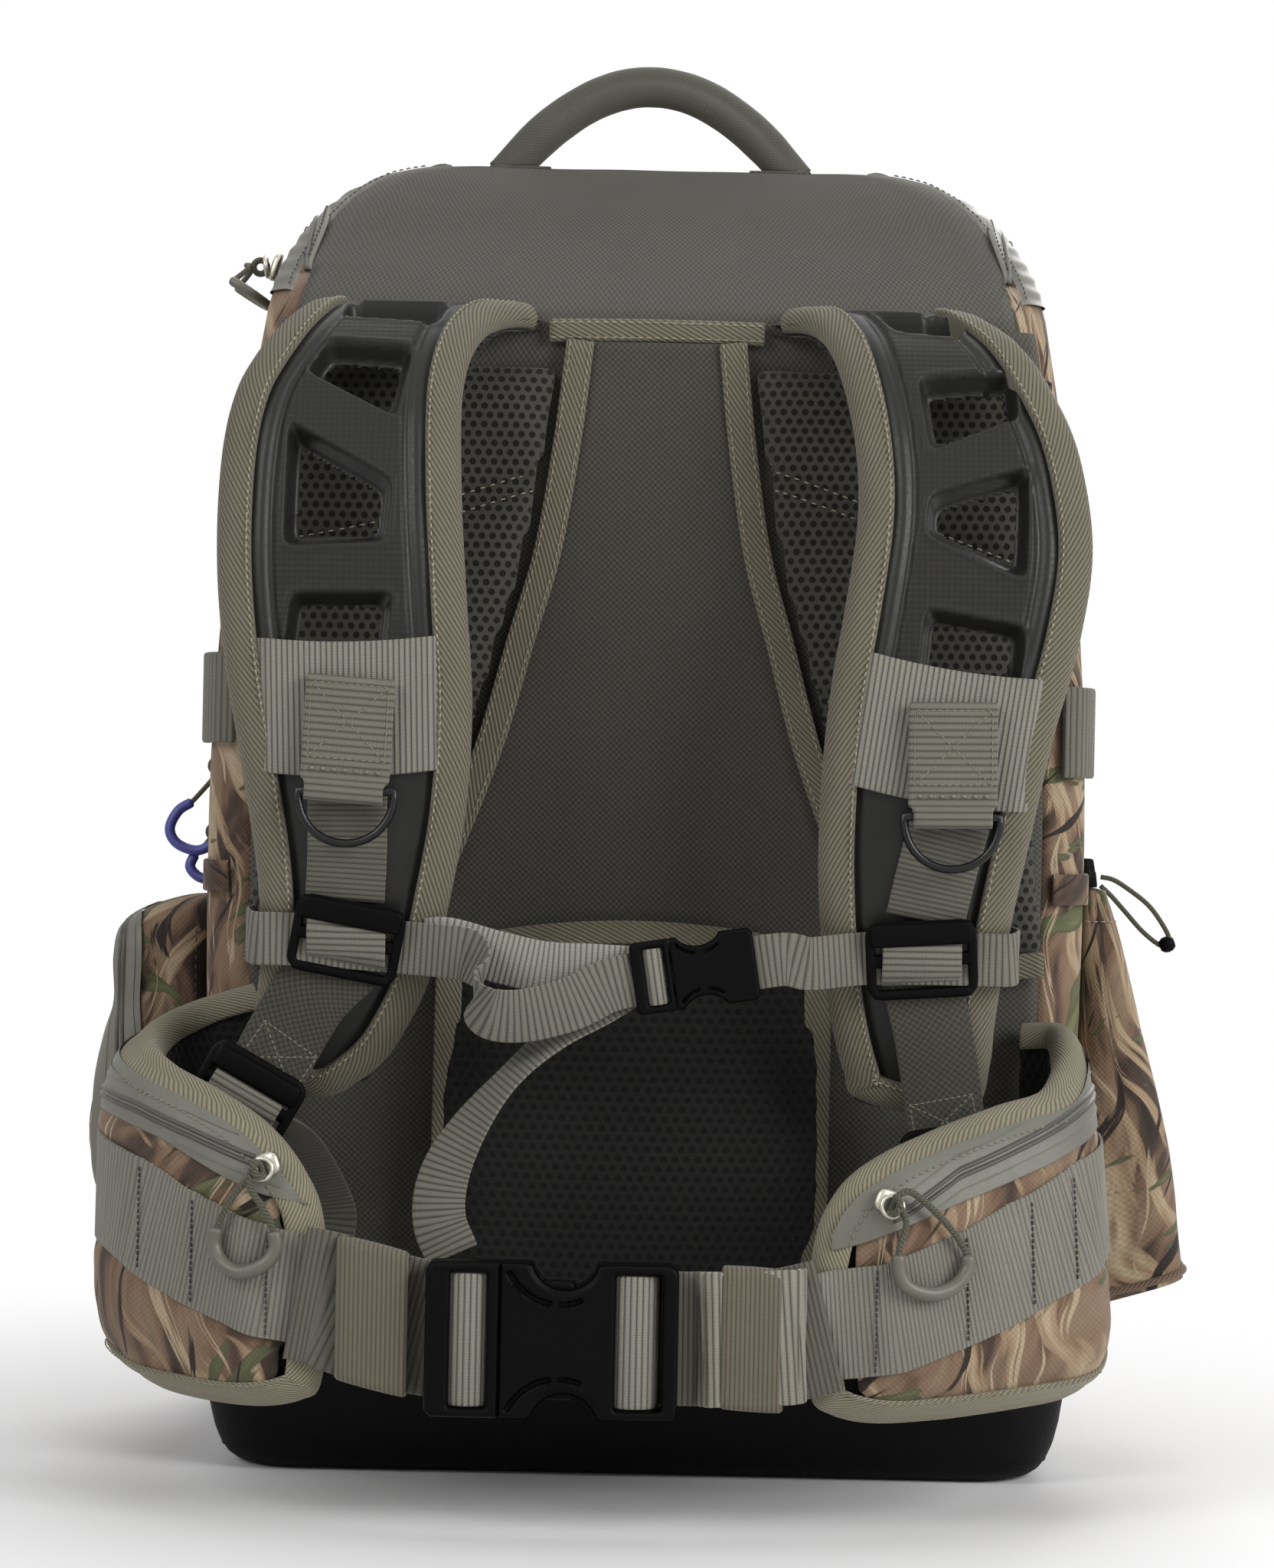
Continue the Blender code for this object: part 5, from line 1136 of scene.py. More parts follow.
for side, sign in SIDES:
    rings = pillow_rings(pad_grid(sign, 1.0), pad_grid(sign, 0.0))
    pad = puff(f"back_mesh_{side}", rings, M["mesh"], "pack", "mesh", keep_on_back, cap=0.004)
    for seam in SEAMS[side]:
        press(pad, lambda p, seam=seam: np.where(p[:, 1] < -0.004,
                                                 0.0055 * np.exp(-(line_gap(p, seam) / 0.0052) ** 2), 0))
    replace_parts(pad, f"back_pad_{side}")
    for k, seam in enumerate(SEAMS[side]):
        for row, drop in enumerate((-0.0035, 0.0035)):
            line = spline([(px, -0.0088, pz + drop) for px, pz in seam], 8)
            line = line[(np.abs(line[:, 0]) > spine_half(line[:, 2]) + TAPE + 0.003)
                        & (np.abs(line[:, 0]) < PAD_OUTER - 0.004)]
            line = on_pad(pad, evenly(line, 80))
            stitches(f"pad_stitch_{side}_{k}_{row}", line, (0, -1, 0), "pack", pitch=0.0040, lift=0.0006,
                     slot="mesh")
    base = np.array([(sign * (spine_half(PAD_LOW) + 0.006), -0.0070, PAD_LOW),
                     (sign * 0.130, -0.0072, PAD_LOW - 0.001),
                     (sign * 0.1575, -0.0060, PAD_LOW + 0.001)])
    sweep(f"pad_hem_{side}", spline(base, 10), (0, 0, 1), rounded_section(0.010, 0.0022, 0.001), M["binding"],
          "pack", "mesh")

print("pad seams:", sum(map(len, SEAMS.values())))

# %% Yoke tape
yoke = np.linspace([-0.0425, -0.0026, 0.4535], [0.0425, -0.0026, 0.4535], 24)
yoke[:, 2] += 0.0006 * np.cos(np.linspace(-1.5, 1.5, 24))
yoke_piece = sweep("yoke_binding", yoke, (0, 0, 1), rounded_section(0.0092, 0.0036, 0.0016), M["binding"], "pack",
                   "olive_fabric")
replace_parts(yoke_piece, "yoke_tape")
for k, drop in enumerate((-0.0030, 0.0030)):
    stitches(f"yoke_stitch_{k}", yoke + [0, -0.0018, drop], (0, -1, 0), "pack", pitch=0.0034)

# %% [markdown]
# ## The lumbar pad
# Low on the back sits a domed pad in a more open, darker mesh. A twill binding runs over its arched
# top edge and two upright tapes stiffen its sides.

# %% Lumbar pad
LUMBAR_X, LUMBAR_HALF, LUMBAR_LOW, LUMBAR_HIGH = -0.004, 0.079, 0.0462, 0.2195


def lumbar_grid(depth_share):
    """Depth = 28 mm * dome(width) * dome(height), with the top edge arched down 10 mm at its corners."""
    v = np.linspace(0, 1, 54)[:, None]
    u = np.linspace(-1, 1, 50)[None, :]
    x = LUMBAR_X + LUMBAR_HALF * u * np.interp(v, [0, 0.06, 0.9, 1.0], [0.96, 1.0, 0.99, 0.94])
    z = LUMBAR_LOW + (LUMBAR_HIGH - LUMBAR_LOW) * v - 0.010 * v ** 4 * u ** 2
    across = 0.34 + 0.66 * np.sqrt(np.clip(1 - u ** 2, 0, 1))
    up = np.interp(v, [0, 0.03, 0.10, 0.25, 0.45, 0.70, 0.86, 0.95, 1.0],
                   [0.42, 0.58, 0.76, 0.93, 1.0, 0.88, 0.64, 0.42, 0.24])
    y = -0.0006 - depth_share * 0.0275 * across * up
    return together(x, y, z)


def keep_lumbar(points):
    """Held inside the pad's box."""
    points = points.copy()
    points[:, 0] = np.clip(points[:, 0], -0.0865, 0.0785)
    points[:, 1] = np.clip(points[:, 1], -0.0325, -0.0005)
    points[:, 2] = np.clip(points[:, 2], 0.0456, 0.2225)
    return points


lumbar = puff("lumbar_mesh", pillow_rings(lumbar_grid(1.0), lumbar_grid(0.0)), M["dark_mesh"], "pack", "mesh",
              keep_lumbar, cap=0.004)
press(lumbar, lambda p: np.where(p[:, 1] < -0.004,
                                 0.0022 * (np.exp(-((abs(p[:, 0] - LUMBAR_X) - 0.066) / 0.006) ** 2)), 0))
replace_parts(lumbar, "lumbar_pad")


def on_lumbar(x, z, lift):
    """A point on the dome's front at (x, z), lift proud of it."""
    grid_ = lumbar_grid(1.0).reshape(-1, 3)
    q = np.stack([np.atleast_1d(x), np.atleast_1d(z)], 1)
    gap = ((grid_[None, :, [0, 2]] - q[:, None]) ** 2).sum(-1)
    near = np.argsort(gap, 1)[:, :4]
    weight = 1 / (np.take_along_axis(gap, near, 1) + 1e-9)
    y = (grid_[near, 1] * weight).sum(1) / weight.sum(1)
    return np.stack([q[:, 0], y - lift, q[:, 1]], 1)


u = np.linspace(-0.97, 0.97, 40)
arch = on_lumbar(LUMBAR_X + 0.0775 * u, LUMBAR_HIGH - 0.003 - 0.010 * u ** 2, 0.0022)
arch[:, 1] = np.minimum(arch[:, 1], -0.0085)
arch_up = np.tile([0, 0.35, 1.0], (40, 1))
sweep("lumbar_binding", arch, arch_up, rounded_section(0.0098, 0.0024, 0.001), M["binding"], "pack", "mesh")
stitches("lumbar_binding_stitch", arch + [0, -0.0016, -0.0034], (0, -1, 0), "pack", pitch=0.0036)
for side, sign in SIDES:
    z = np.linspace(0.052, 0.207, 40)
    rail = on_lumbar(LUMBAR_X + sign * 0.0725 + 0 * z, z, 0.0018)
    sweep(f"lumbar_tape_{side}", rail, (1, 0, 0), rounded_section(0.0105, 0.0018, 0.0008), M["binding"], "pack",
          "mesh")
print("back panel done")

# %% [markdown]
# ## Shoulder straps
# A shoulder strap is a moulded foam band that arches off the back. It is drawn flat first, as x
# against the distance s along its arch, with a height h over its face, and then bent onto the arch:
# point = C(s) + n(s) * (half thickness + h), where C is the arch and n its normal.

# %% The arch
STRAP_T = 0.011
ARCH = evenly(spline([(-0.042, 0.150), (-0.050, 0.170), (-0.058, 0.200), (-0.067, 0.250), (-0.070, 0.300),
                      (-0.067, 0.360), (-0.058, 0.400), (-0.050, 0.420), (-0.038, 0.440), (-0.026, 0.451),
                      (-0.0125, 0.4575), (0.0010, 0.4590)], 12), 400)
ARCH_S = along(ARCH)
ARCH_T = unit(np.gradient(ARCH, ARCH_S, axis=0))
ARCH_N = np.stack([-ARCH_T[:, 1], ARCH_T[:, 0]], 1)
print("strap length:", round(float(ARCH_S[-1]), 3), "m")


def bend(x, s, h=0.0):
    """Flat strap coordinates to space; h is the height over the strap's face."""
    x, s, h = np.broadcast_arrays(np.asarray(x, float), np.asarray(s, float), np.asarray(h, float))
    over = s - np.clip(s, 0, ARCH_S[-1])
    y, z = (np.interp(s, ARCH_S, ARCH[:, i]) + over * np.interp(s, ARCH_S, ARCH_T[:, i]) for i in (0, 1))
    ny, nz = (np.interp(s, ARCH_S, ARCH_N[:, i]) for i in (0, 1))
    return np.stack([x, y + ny * (STRAP_T / 2 + h), z + nz * (STRAP_T / 2 + h)], -1)


def face_s(z):
    """Where the face of the strap is at height z."""
    return np.interp(z, ARCH[:, 1] + ARCH_N[:, 1] * STRAP_T / 2, ARCH_S)


def middle_s(z):
    """Where the middle of the strap is at height z."""
    return np.interp(z, ARCH[:, 1], ARCH_S)


def face_normal(s):
    """The direction out of the strap's face."""
    return np.stack([0 * s, np.interp(s, ARCH_S, ARCH_N[:, 0]), np.interp(s, ARCH_S, ARCH_N[:, 1])], -1)

# %% Outlines of the straps
# outer and inner edge as (x, z), from the yoke down; windows as their corners' (x, z)
OUTLINES = {
    "left": ([(-0.134, 0.4590), (-0.140, 0.4560), (-0.150, 0.443), (-0.159, 0.426), (-0.164, 0.400),
              (-0.1645, 0.360),
              (-0.161, 0.322), (-0.154, 0.283), (-0.147, 0.240), (-0.1455, 0.205), (-0.148, 0.180),
              (-0.144, 0.160), (-0.134, 0.151)],
             [(-0.0445, 0.4590), (-0.052, 0.4582), (-0.061, 0.4555), (-0.0695, 0.445), (-0.0745, 0.424),
              (-0.0735, 0.384),
              (-0.0705, 0.344), (-0.0675, 0.304), (-0.0690, 0.265), (-0.0750, 0.228), (-0.0820, 0.199),
              (-0.093, 0.176), (-0.106, 0.158)]),
    "right": ([(0.120, 0.4590), (0.128, 0.4565), (0.138, 0.4490), (0.150, 0.431), (0.161, 0.404), (0.166, 0.367),
               (0.161, 0.330), (0.152, 0.295), (0.144, 0.255), (0.138, 0.222), (0.134, 0.190),
               (0.132, 0.165), (0.128, 0.151)],
              [(0.0445, 0.4590), (0.052, 0.4582), (0.060, 0.4555), (0.069, 0.441), (0.076, 0.412), (0.078, 0.380),
               (0.0735, 0.343), (0.069, 0.315), (0.066, 0.280), (0.0655, 0.245), (0.0680, 0.212),
               (0.073, 0.182), (0.082, 0.154)]),
}
WINDOWS = {
    "left": [[(-0.1210, 0.4622), (-0.0810, 0.4626), (-0.0850, 0.4525), (-0.1227, 0.4545)],
             [(-0.1270, 0.4445), (-0.0935, 0.4425), (-0.0985, 0.4125), (-0.1345, 0.4310)],
             [(-0.1395, 0.4110), (-0.0991, 0.3886), (-0.1006, 0.3645), (-0.1395, 0.3622)],
             [(-0.1360, 0.3445), (-0.0977, 0.3453), (-0.1001, 0.3150), (-0.1395, 0.3120)]],
    "right": [[(0.0830, 0.4622), (0.1220, 0.4612), (0.1170, 0.4505), (0.0916, 0.4525)],
              [(0.1000, 0.4333), (0.1375, 0.4374), (0.1386, 0.4183), (0.1041, 0.4036)],
              [(0.1425, 0.3990), (0.1410, 0.3547), (0.1027, 0.3718), (0.1041, 0.3869)],
              [(0.1030, 0.3436), (0.1415, 0.3371), (0.1375, 0.3050), (0.1004, 0.3130)]],
}
BIND, RAIL, WALL_IN = 0.0125, 0.0085, 0.0036

# %% The strap's face
def flat_edge(points):
    """An outline edge in flat coordinates (x, s)."""
    p = np.array(points)
    return evenly(spline(np.stack([p[:, 0], middle_s(p[:, 1])], 1), 10), 320)


def window_depth(x, s, corners):
    """Distance inside a convex window: the soft minimum -k log(sum exp(-d / k)) of its edge distances."""
    q = np.stack([np.array(corners)[:, 0], face_s(np.array(corners)[:, 1])], 1)
    turn = np.sign(np.sum(np.cross(q - q[0], np.roll(q, -1, 0) - q[0])))
    total, corner_size = 0.0, 0.0016
    for a, b in zip(q, np.roll(q, -1, 0)):
        d = unit(b - a)
        total = total + np.exp(-turn * (d[0] * (s - a[1]) - d[1] * (x - a[0])) / corner_size)
    return -corner_size * np.log(total)


def strap_form(side):
    """Flat grid (x, s) of a strap, its face height and how deep each point is inside a window."""
    outer, inner = (flat_edge(p) for p in OUTLINES[side])
    share = np.linspace(0, 1, 121)[None, :, None]
    grid_ = outer[:, None] + (inner[:, None] - outer[:, None]) * share
    x, s = grid_[..., 0], grid_[..., 1]
    from_outer, from_inner = (edge_gap(x, s, e) for e in (outer, inner))
    e = np.minimum(from_outer, from_inner)
    plateau = smoothstep(s, face_s(0.275), face_s(0.290))
    rail = -0.0045 * (1 - np.clip(e / BIND, 0, 1)) ** 2 - 0.0012 * (1 - smoothstep(e, BIND, BIND + RAIL * 0.5))
    channel = -0.0011 * np.exp(-((e - BIND - RAIL * 0.86) / 0.0016) ** 2)
    channel = channel - 0.0009 * (1 - smoothstep(e, BIND + RAIL, BIND + RAIL + 0.0016))
    low = -0.0010 - 0.0018 * (1 - smoothstep(e, BIND, BIND + 0.020))
    h = rail + plateau * (channel - 0.0004) + (1 - plateau) * low
    depth = np.full(x.shape, -1.0)
    for corners in WINDOWS[side]:
        depth = np.maximum(depth, window_depth(x, s, corners))
    lip = 0.0005 * np.exp(-((depth + 0.0010) / 0.0009) ** 2)
    wall = -0.0098 * smoothstep(depth, -0.0004, WALL_IN) ** 0.9
    return outer, inner, x, s, h + lip + wall, depth


def edge_gap(x, s, edge):
    """Distance from each grid point to a strap edge, measured to the edge's nearest sampled point."""
    pick = edge[::8]
    gap = np.sqrt((x[..., None] - pick[:, 0]) ** 2 + (s[..., None] - pick[:, 1]) ** 2)
    near = gap.argmin(-1)
    a, b = pick[np.clip(near - 1, 0, len(pick) - 1)], pick[np.clip(near + 1, 0, len(pick) - 1)]
    d = unit(b - a)
    return np.abs(d[..., 0] * (s - pick[near][..., 1]) - d[..., 1] * (x - pick[near][..., 0]))

# %% Strap foam
def build_strap(side):
    """The foam with its windows cut through: a face, a back, and smooth foam along the edges."""
    outer, inner, x, s, h, depth = strap_form(side)
    front, back = bend(x, s, h), bend(x, s, -STRAP_T)
    rows, columns = x.shape
    faces, uv_index = grid_faces(rows, columns, False, False)
    keep = depth.ravel()[faces].min(1) < WALL_IN + 0.0001
    faces, uv_index = faces[keep], uv_index[keep]
    if side == "right":
        faces, uv_index = faces[:, ::-1], uv_index[:, ::-1]
    rear_faces = faces[:, ::-1] + rows * columns
    flat = np.stack([s, x], -1).reshape(-1, 2)
    loop_uv = np.vstack([flat[uv_index.ravel()], flat[uv_index[:, ::-1].ravel()]])
    foam = make_piece(f"strap_foam_{side}", np.vstack([front.reshape(-1, 3), back.reshape(-1, 3)]),
                      np.vstack([faces, rear_faces]).tolist(), loop_uv, M["strap_foam"], "pack", "strap_foam")
    foam.data.materials.append(M["smooth_foam"])
    foam.data.materials.append(M["mesh"])
    centre_depth = depth.ravel()[faces].mean(1)
    centre = np.stack([x.ravel()[faces].mean(1), s.ravel()[faces].mean(1)], 1)
    e = np.minimum(edge_gap(centre[:, 0], centre[:, 1], outer), edge_gap(centre[:, 0], centre[:, 1], inner))
    shiny = (centre_depth > 0.0004) | (e < BIND + RAIL) | (centre[:, 1] < face_s(0.285))
    foam.data.polygons.foreach_set("material_index",
                                   np.concatenate([shiny.astype(np.int32), np.full(len(faces), 2, np.int32)]))
    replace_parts(foam, f"shoulder_strap_{side}")
    return outer, inner

# %% Strap binding
# the folded tape's outline: distance in from the edge, height over the middle of the foam
BIND_PROFILE = np.array([(12.9, 4.2), (12.7, 5.3), (12.0, 5.75), (10.0, 5.75), (6.5, 5.35), (3.4, 4.5), (1.2, 3.1),
                         (-0.2, 1.2),
                         (-0.5, -0.6), (-0.1, -2.6), (1.2, -4.4), (3.4, -5.6), (6.5, -6.2), (12.0, -6.4),
                         (12.8, -5.9),
                         (12.9, -4.6)]) * 0.001


def strap_rim(outer, inner):
    """One line down the outer edge, round the strap's lower end and up the inner edge."""
    foot = (outer[-1] + inner[-1]) / 2 - [0, 0.0015]
    line = np.vstack([outer[outer[:, 1] > outer[-1, 1] + 0.012][::12], [outer[-1] + [0, 0.0040]], [foot],
                      [inner[-1] + [0, 0.0035]], inner[inner[:, 1] > inner[-1, 1] + 0.012][::-12]])
    return evenly(spline(line, 8), 620)


def build_strap_binding(side, edge):
    """Twill tape folded round the strap's edge, in flat coordinates, then bent with the strap."""
    d = unit(np.gradient(edge, axis=0))
    inward = np.stack([-d[:, 1], d[:, 0]], 1) * (1 if side == "left" else -1)
    e, h = BIND_PROFILE[None, :, 0], BIND_PROFILE[None, :, 1]
    x = edge[:, :1] + inward[:, :1] * e
    s = edge[:, 1:] + inward[:, 1:] * e
    puffed = h + 0.00035 * np.sin(np.linspace(0, 90, len(edge)))[:, None] * (e > 0.002)
    points = bend(x, s, puffed - STRAP_T / 2)
    length = along(edge)
    around = along(BIND_PROFILE)
    wide = np.append(around, around[-1] + 0.009)
    uv = together(length[:, None], wide[None, :])
    tubular(f"strap_binding_{side}", points, M["binding"], "pack", "webbing", uv,
            flip=side == "left")
    row = edge + inward * 0.0113
    stitches(f"strap_binding_stitch_{side}", bend(row[:, 0], row[:, 1], 0.00025),
             face_normal(row[:, 1]), "pack", pitch=0.0030, length=0.0019, width=0.0008)


for side in ("left", "right"):
    outer, inner = build_strap(side)
    build_strap_binding(side, strap_rim(outer, inner))
print("straps done")

# %% [markdown]
# ## Webbing and buckles
# Webbing is a flat band carried along a route with its width held in a given direction, so it can
# lie, fold over itself and twist. Sliders and adjusters are swept frames and bars with round edges, and the handle
# patches keep the frame's own shapes with every sharp edge turned into a small round: nothing moulded has a knife
# edge, and the rounds are what catch the light.

# %% Webbing
def webbing(name, route, across, width, thickness, material, body, slot="webbing", twist=None):
    """A band along a smooth route. twist turns its width about the route, in degrees at each route point."""
    route = np.asarray(route, float)
    across = np.broadcast_to(np.asarray(across, float), route.shape)
    line, wide = spline(route, 8), spline(across, 8)
    count = max(12, int(along(line)[-1] / 0.0018))
    s = along(line)
    at = np.linspace(0, s[-1], count)
    path = np.stack([np.interp(at, s, line[:, i]) for i in range(3)], 1)
    wide = np.stack([np.interp(at, s, wide[:, i]) for i in range(3)], 1)
    if twist is not None:
        tangent = unit(np.gradient(path, axis=0))
        wide = unit(wide - tangent * (wide * tangent).sum(1, keepdims=True))
        turn = np.radians(np.interp(at, s, spline(np.asarray(twist, float)[:, None], 8)[:, 0]))[:, None]
        wide = wide * np.cos(turn) + np.cross(tangent, wide) * np.sin(turn)
    profile = rounded_section(width, thickness, thickness * 0.42, 2)
    edge = np.abs(profile[:, 0]) / (width / 2)
    profile = np.stack([profile[:, 0], profile[:, 1] * (1 - 0.25 * edge ** 6)], 1)
    return sweep(name, path, wide, profile, M[material], body, slot)

# %% Moulded parts
def rounded(name, node, width, material, body, slot):
    """A CAD node's shape with corners welded and every edge sharper than 30 degrees rounded."""
    bm = bmesh.new()
    bm.from_mesh(frame["nodes"][node].data)
    bmesh.ops.remove_doubles(bm, verts=bm.verts, dist=0.00002)
    bmesh.ops.dissolve_limit(bm, angle_limit=math.radians(1.5), verts=bm.verts, edges=bm.edges)
    sharp = [e for e in bm.edges if len(e.link_faces) == 2 and e.calc_face_angle(0) > math.radians(30)]
    bmesh.ops.bevel(bm, geom=sharp, offset=width, segments=3, profile=0.5, affect="EDGES", clamp_overlap=True)
    mesh = bpy.data.meshes.new(name)
    bmesh.ops.triangulate(bm, faces=bm.faces)
    bm.to_mesh(mesh)
    bm.free()
    mesh.materials.clear()
    mesh.materials.append(M[material])
    piece = put(name, mesh)
    box_uv(mesh)
    mesh.set_sharp_from_angle(angle=math.radians(40))
    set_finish(piece, slot)
    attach(piece, body)
    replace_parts(piece, node)
    return piece


def box_uv(mesh):
    """UVs in metres from the axis that each face looks along."""
    normals = np.zeros(len(mesh.polygons) * 3)
    mesh.polygons.foreach_get("normal", normals)
    sizes = np.zeros(len(mesh.polygons), int)
    mesh.polygons.foreach_get("loop_total", sizes)
    main = np.repeat(np.abs(normals.reshape(-1, 3)).argmax(1), sizes)
    pairs = np.array([(1, 2), (0, 2), (0, 1)])[main]
    lay_uv(mesh, np.take_along_axis(read_points(mesh)[read_corners(mesh)], pairs, 1))
    mesh.update()


def bar(name, a, b, across, width, height, radius, material, body, slot):
    """A straight bar with round edges and slightly round ends."""
    a, b = np.asarray(a, float), np.asarray(b, float)
    stations = np.array([0, 0.35, 1.0]) * radius
    length = np.linalg.norm(b - a)
    t = np.concatenate([stations, np.linspace(radius * 2, length - radius * 2, 6),
                        length - stations[::-1]]) / length
    shrink = np.concatenate([stations, np.full(6, radius), stations[::-1]]) / radius
    grow = 1 - (1 - np.sqrt(np.clip(1 - (1 - shrink) ** 2, 0, 1))) * radius * 1.6 / min(width, height)
    profile = rounded_section(width, height, radius, 3)[None] * grow[:, None, None]
    return sweep(name, a + t[:, None] * (b - a), across, profile, M[material], body, slot)


def loop_frame(name, centre, right, up, width, height, rail, depth, radius, material, body, slot, corner=0.004):
    """A rectangular frame swept round its own centre line with round corners."""
    outline = rounded_section(width - rail, height - rail, corner, 5)
    centre, right, up = np.asarray(centre, float), unit(right), unit(up)
    path = centre + outline[:, :1] * right + outline[:, 1:] * up
    across = unit(np.cross(np.roll(path, -1, 0) - np.roll(path, 1, 0), np.cross(right, up)))
    return sweep(name, path, across, rounded_section(rail, depth, radius, 3), M[material], body, slot, closed=True)


def joined(name, pieces):
    """Several pieces as one mesh, with their materials kept."""
    data = [(read_points(p.data), p) for p in pieces]
    verts, faces, uvs, index, base = [], [], [], [], 0
    materials = []
    for points, p in data:
        faces += [[v + base for v in face.vertices] for face in p.data.polygons]
        uv = np.zeros(len(p.data.loops) * 2)
        p.data.uv_layers["cloth"].data.foreach_get("uv", uv)
        uvs.append(uv.reshape(-1, 2))
        base += len(points)
        verts.append(points)
        own = p.data.materials[0]
        if own not in materials:
            materials.append(own)
        index += [materials.index(own)] * len(p.data.polygons)
    first = pieces[0]
    body, slot_ = first.parent.name.split(":")[-1], first["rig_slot"]
    piece = make_piece(name, np.vstack(verts), faces, np.vstack(uvs), materials[0], body, slot_)
    for material in materials[1:]:
        piece.data.materials.append(material)
    piece.data.polygons.foreach_set("material_index", np.array(index, np.int32))
    for p in pieces:
        old = p.data
        bpy.data.objects.remove(p, do_unlink=True)
        bpy.data.meshes.remove(old)
    return piece


def barred_frame(name, centre, right, up, out, size, bars):
    """A moulded frame and its cross bars: (rise, half length, how far out, width, height, edge radius)."""
    plastic = ("buckle", "pack", "buckle_plastic")
    pieces = [loop_frame(name + "_frame", centre, right, up, *size, 0.0012, *plastic)]
    for k, (rise, half, off, width, height, radius) in enumerate(bars):
        middle = centre + up * rise + out * off
        pieces.append(bar(f"{name}_bar_{k}", middle - right * half, middle + right * half, up, width, height,
                          radius, *plastic))
    return joined(name, pieces)

# %% Bands across the straps
BAND_WIDTH, BAND_THICK = 0.0500, 0.0016
# middle of the band and of the tab's top edge: x, z and tilt in degrees; the band's half length
TRIM = {"left": dict(band=(-0.1127, 0.3010, 2.0), tab=(-0.1130, 0.3130, -4.0), reach=0.0350),
        "right": dict(band=(0.1115, 0.2950, -8.0), tab=(0.1140, 0.3080, 1.0), reach=0.0350)}
for side in ("left", "right"):
    x0, z0, tilt = TRIM[side]["band"]
    u = np.linspace(-1, 1, 71)
    v = rounded_section(BAND_WIDTH, BAND_THICK, 0.0007, 2)
    t = math.radians(tilt)
    sag = 0.0022 * u ** 2
    lift = 0.0008 + 0.0009 * (1 - u ** 2) - 0.0024 * smoothstep(np.abs(u), 0.86, 1.0)
    x = x0 + TRIM[side]["reach"] * u[:, None] * math.cos(t) - v[None, :, 0] * math.sin(t)
    s = face_s(z0) + TRIM[side]["reach"] * u[:, None] * math.sin(t) + v[None, :, 0] * math.cos(t) + sag[:, None]
    points = bend(x, s, lift[:, None] + v[None, :, 1] + 0.0004 * ripple(np.stack([x * 3, s, x * 0], -1), 9, 0.03))
    wide = np.append(v[:, 0], v[0, 0] + 0.001)
    uv = together(TRIM[side]["reach"] * u[:, None], wide[None])
    band = tubular(f"band_{side}", points[:, ::-1], M["webbing"], "pack", "webbing", uv)
    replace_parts(band, f"strap_band_{side}")
print("bands across the straps:", len(TRIM))

# %% Tabs that hold the D rings
def ring_seat(side):
    """Depth and height of the D ring's straight bar."""
    ring_low, ring_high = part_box(f"d_ring_{side}")
    return (ring_low.y + ring_high.y) / 2, ring_high.z - 0.0015


for side in ("left", "right"):
    tx, top, tilt = TRIM[side]["tab"]
    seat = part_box(f"dring_tab_{side}")[1].y
    ring_y, ring_z = ring_seat(side)
    z = np.concatenate([[top, top - 0.0004, top - 0.0014], np.linspace(top - 0.004, ring_z + 0.0052, 18),
                        ring_z + 0.0042 * np.cos(np.linspace(0.35, math.pi, 10))])
    thick = np.concatenate([[0.0014, 0.0026, 0.0032], np.full(18, 0.0034),
                            np.interp(np.linspace(0.35, math.pi, 10), [0.35, 1.0, 2.0, 2.7, math.pi],
                            [0.0044, 0.0070, 0.0072, 0.0046, 0.0012])])
    half = np.concatenate([[0.0160, 0.0165, 0.01675], np.full(18, 0.01675), np.full(10, 0.01475)])
    half[20:24] = [0.01675, 0.0163, 0.0153, 0.0149]
    middle = np.concatenate([np.full(21, seat - 0.0018), np.full(10, ring_y)])
    middle[19:23] = np.linspace(seat - 0.0018, ring_y, 4)
    lean = math.radians(tilt)
    profile = np.stack([rounded_section(2 * h, t, 0.0012, 3) for h, t in zip(half, thick)])
    bulge = 1 + 0.10 * (1 - (profile[..., 0] / half[:, None]) ** 2)
    x = tx + profile[..., 0] + (z[:, None] - (top + ring_z) / 2) * -math.sin(lean) * 0.6
    y = middle[:, None] + profile[..., 1] * bulge
    zz = z[:, None] + profile[..., 0] * math.sin(lean) * 0.9
    points = np.stack([x, y, zz], -1)
    s = along(np.stack([z, middle], 1))
    ring_u = np.append(profile[5, :, 0], profile[5, 0, 0])
    uv = together(s[:, None], ring_u[None])
    tab = tubular(f"tab_{side}", points, M["tab"], "pack", "webbing", uv)
    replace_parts(tab, f"dring_tab_{side}")
    face = seat - 0.0037
    tilt_z = lambda x, z: (x + (z - (top + ring_z) / 2) * -math.sin(lean) * 0.6, face,
                           z + (x - tx) * math.sin(lean) * 0.9)
    square = [tilt_z(tx - 0.0145, top - 0.0030), tilt_z(tx + 0.0145, top - 0.0030),
              tilt_z(tx + 0.0145, top - 0.0310),
              tilt_z(tx - 0.0145, top - 0.0310), tilt_z(tx - 0.0145, top - 0.0030)]
    rows_ = [square, [square[0], square[2]], [square[1], square[3]]]
    for k, line in enumerate(rows_):
        stitches(f"tab_stitch_{side}_{k}", line, (0, -1, 0), "pack", "pale_thread", pitch=0.0026, length=0.0019,
                 width=0.0005, lift=-0.0001)
    dots = [tilt_z(tx - 0.0145, top - 0.0352), tilt_z(tx + 0.0145, top - 0.0352)]
    stitches(f"tab_dots_{side}", dots, (0, -1, 0), "pack", "pale_thread", pitch=0.0040, length=0.0016, width=0.0013,
             lift=0.0002)
print("tabs:", len(TRIM))

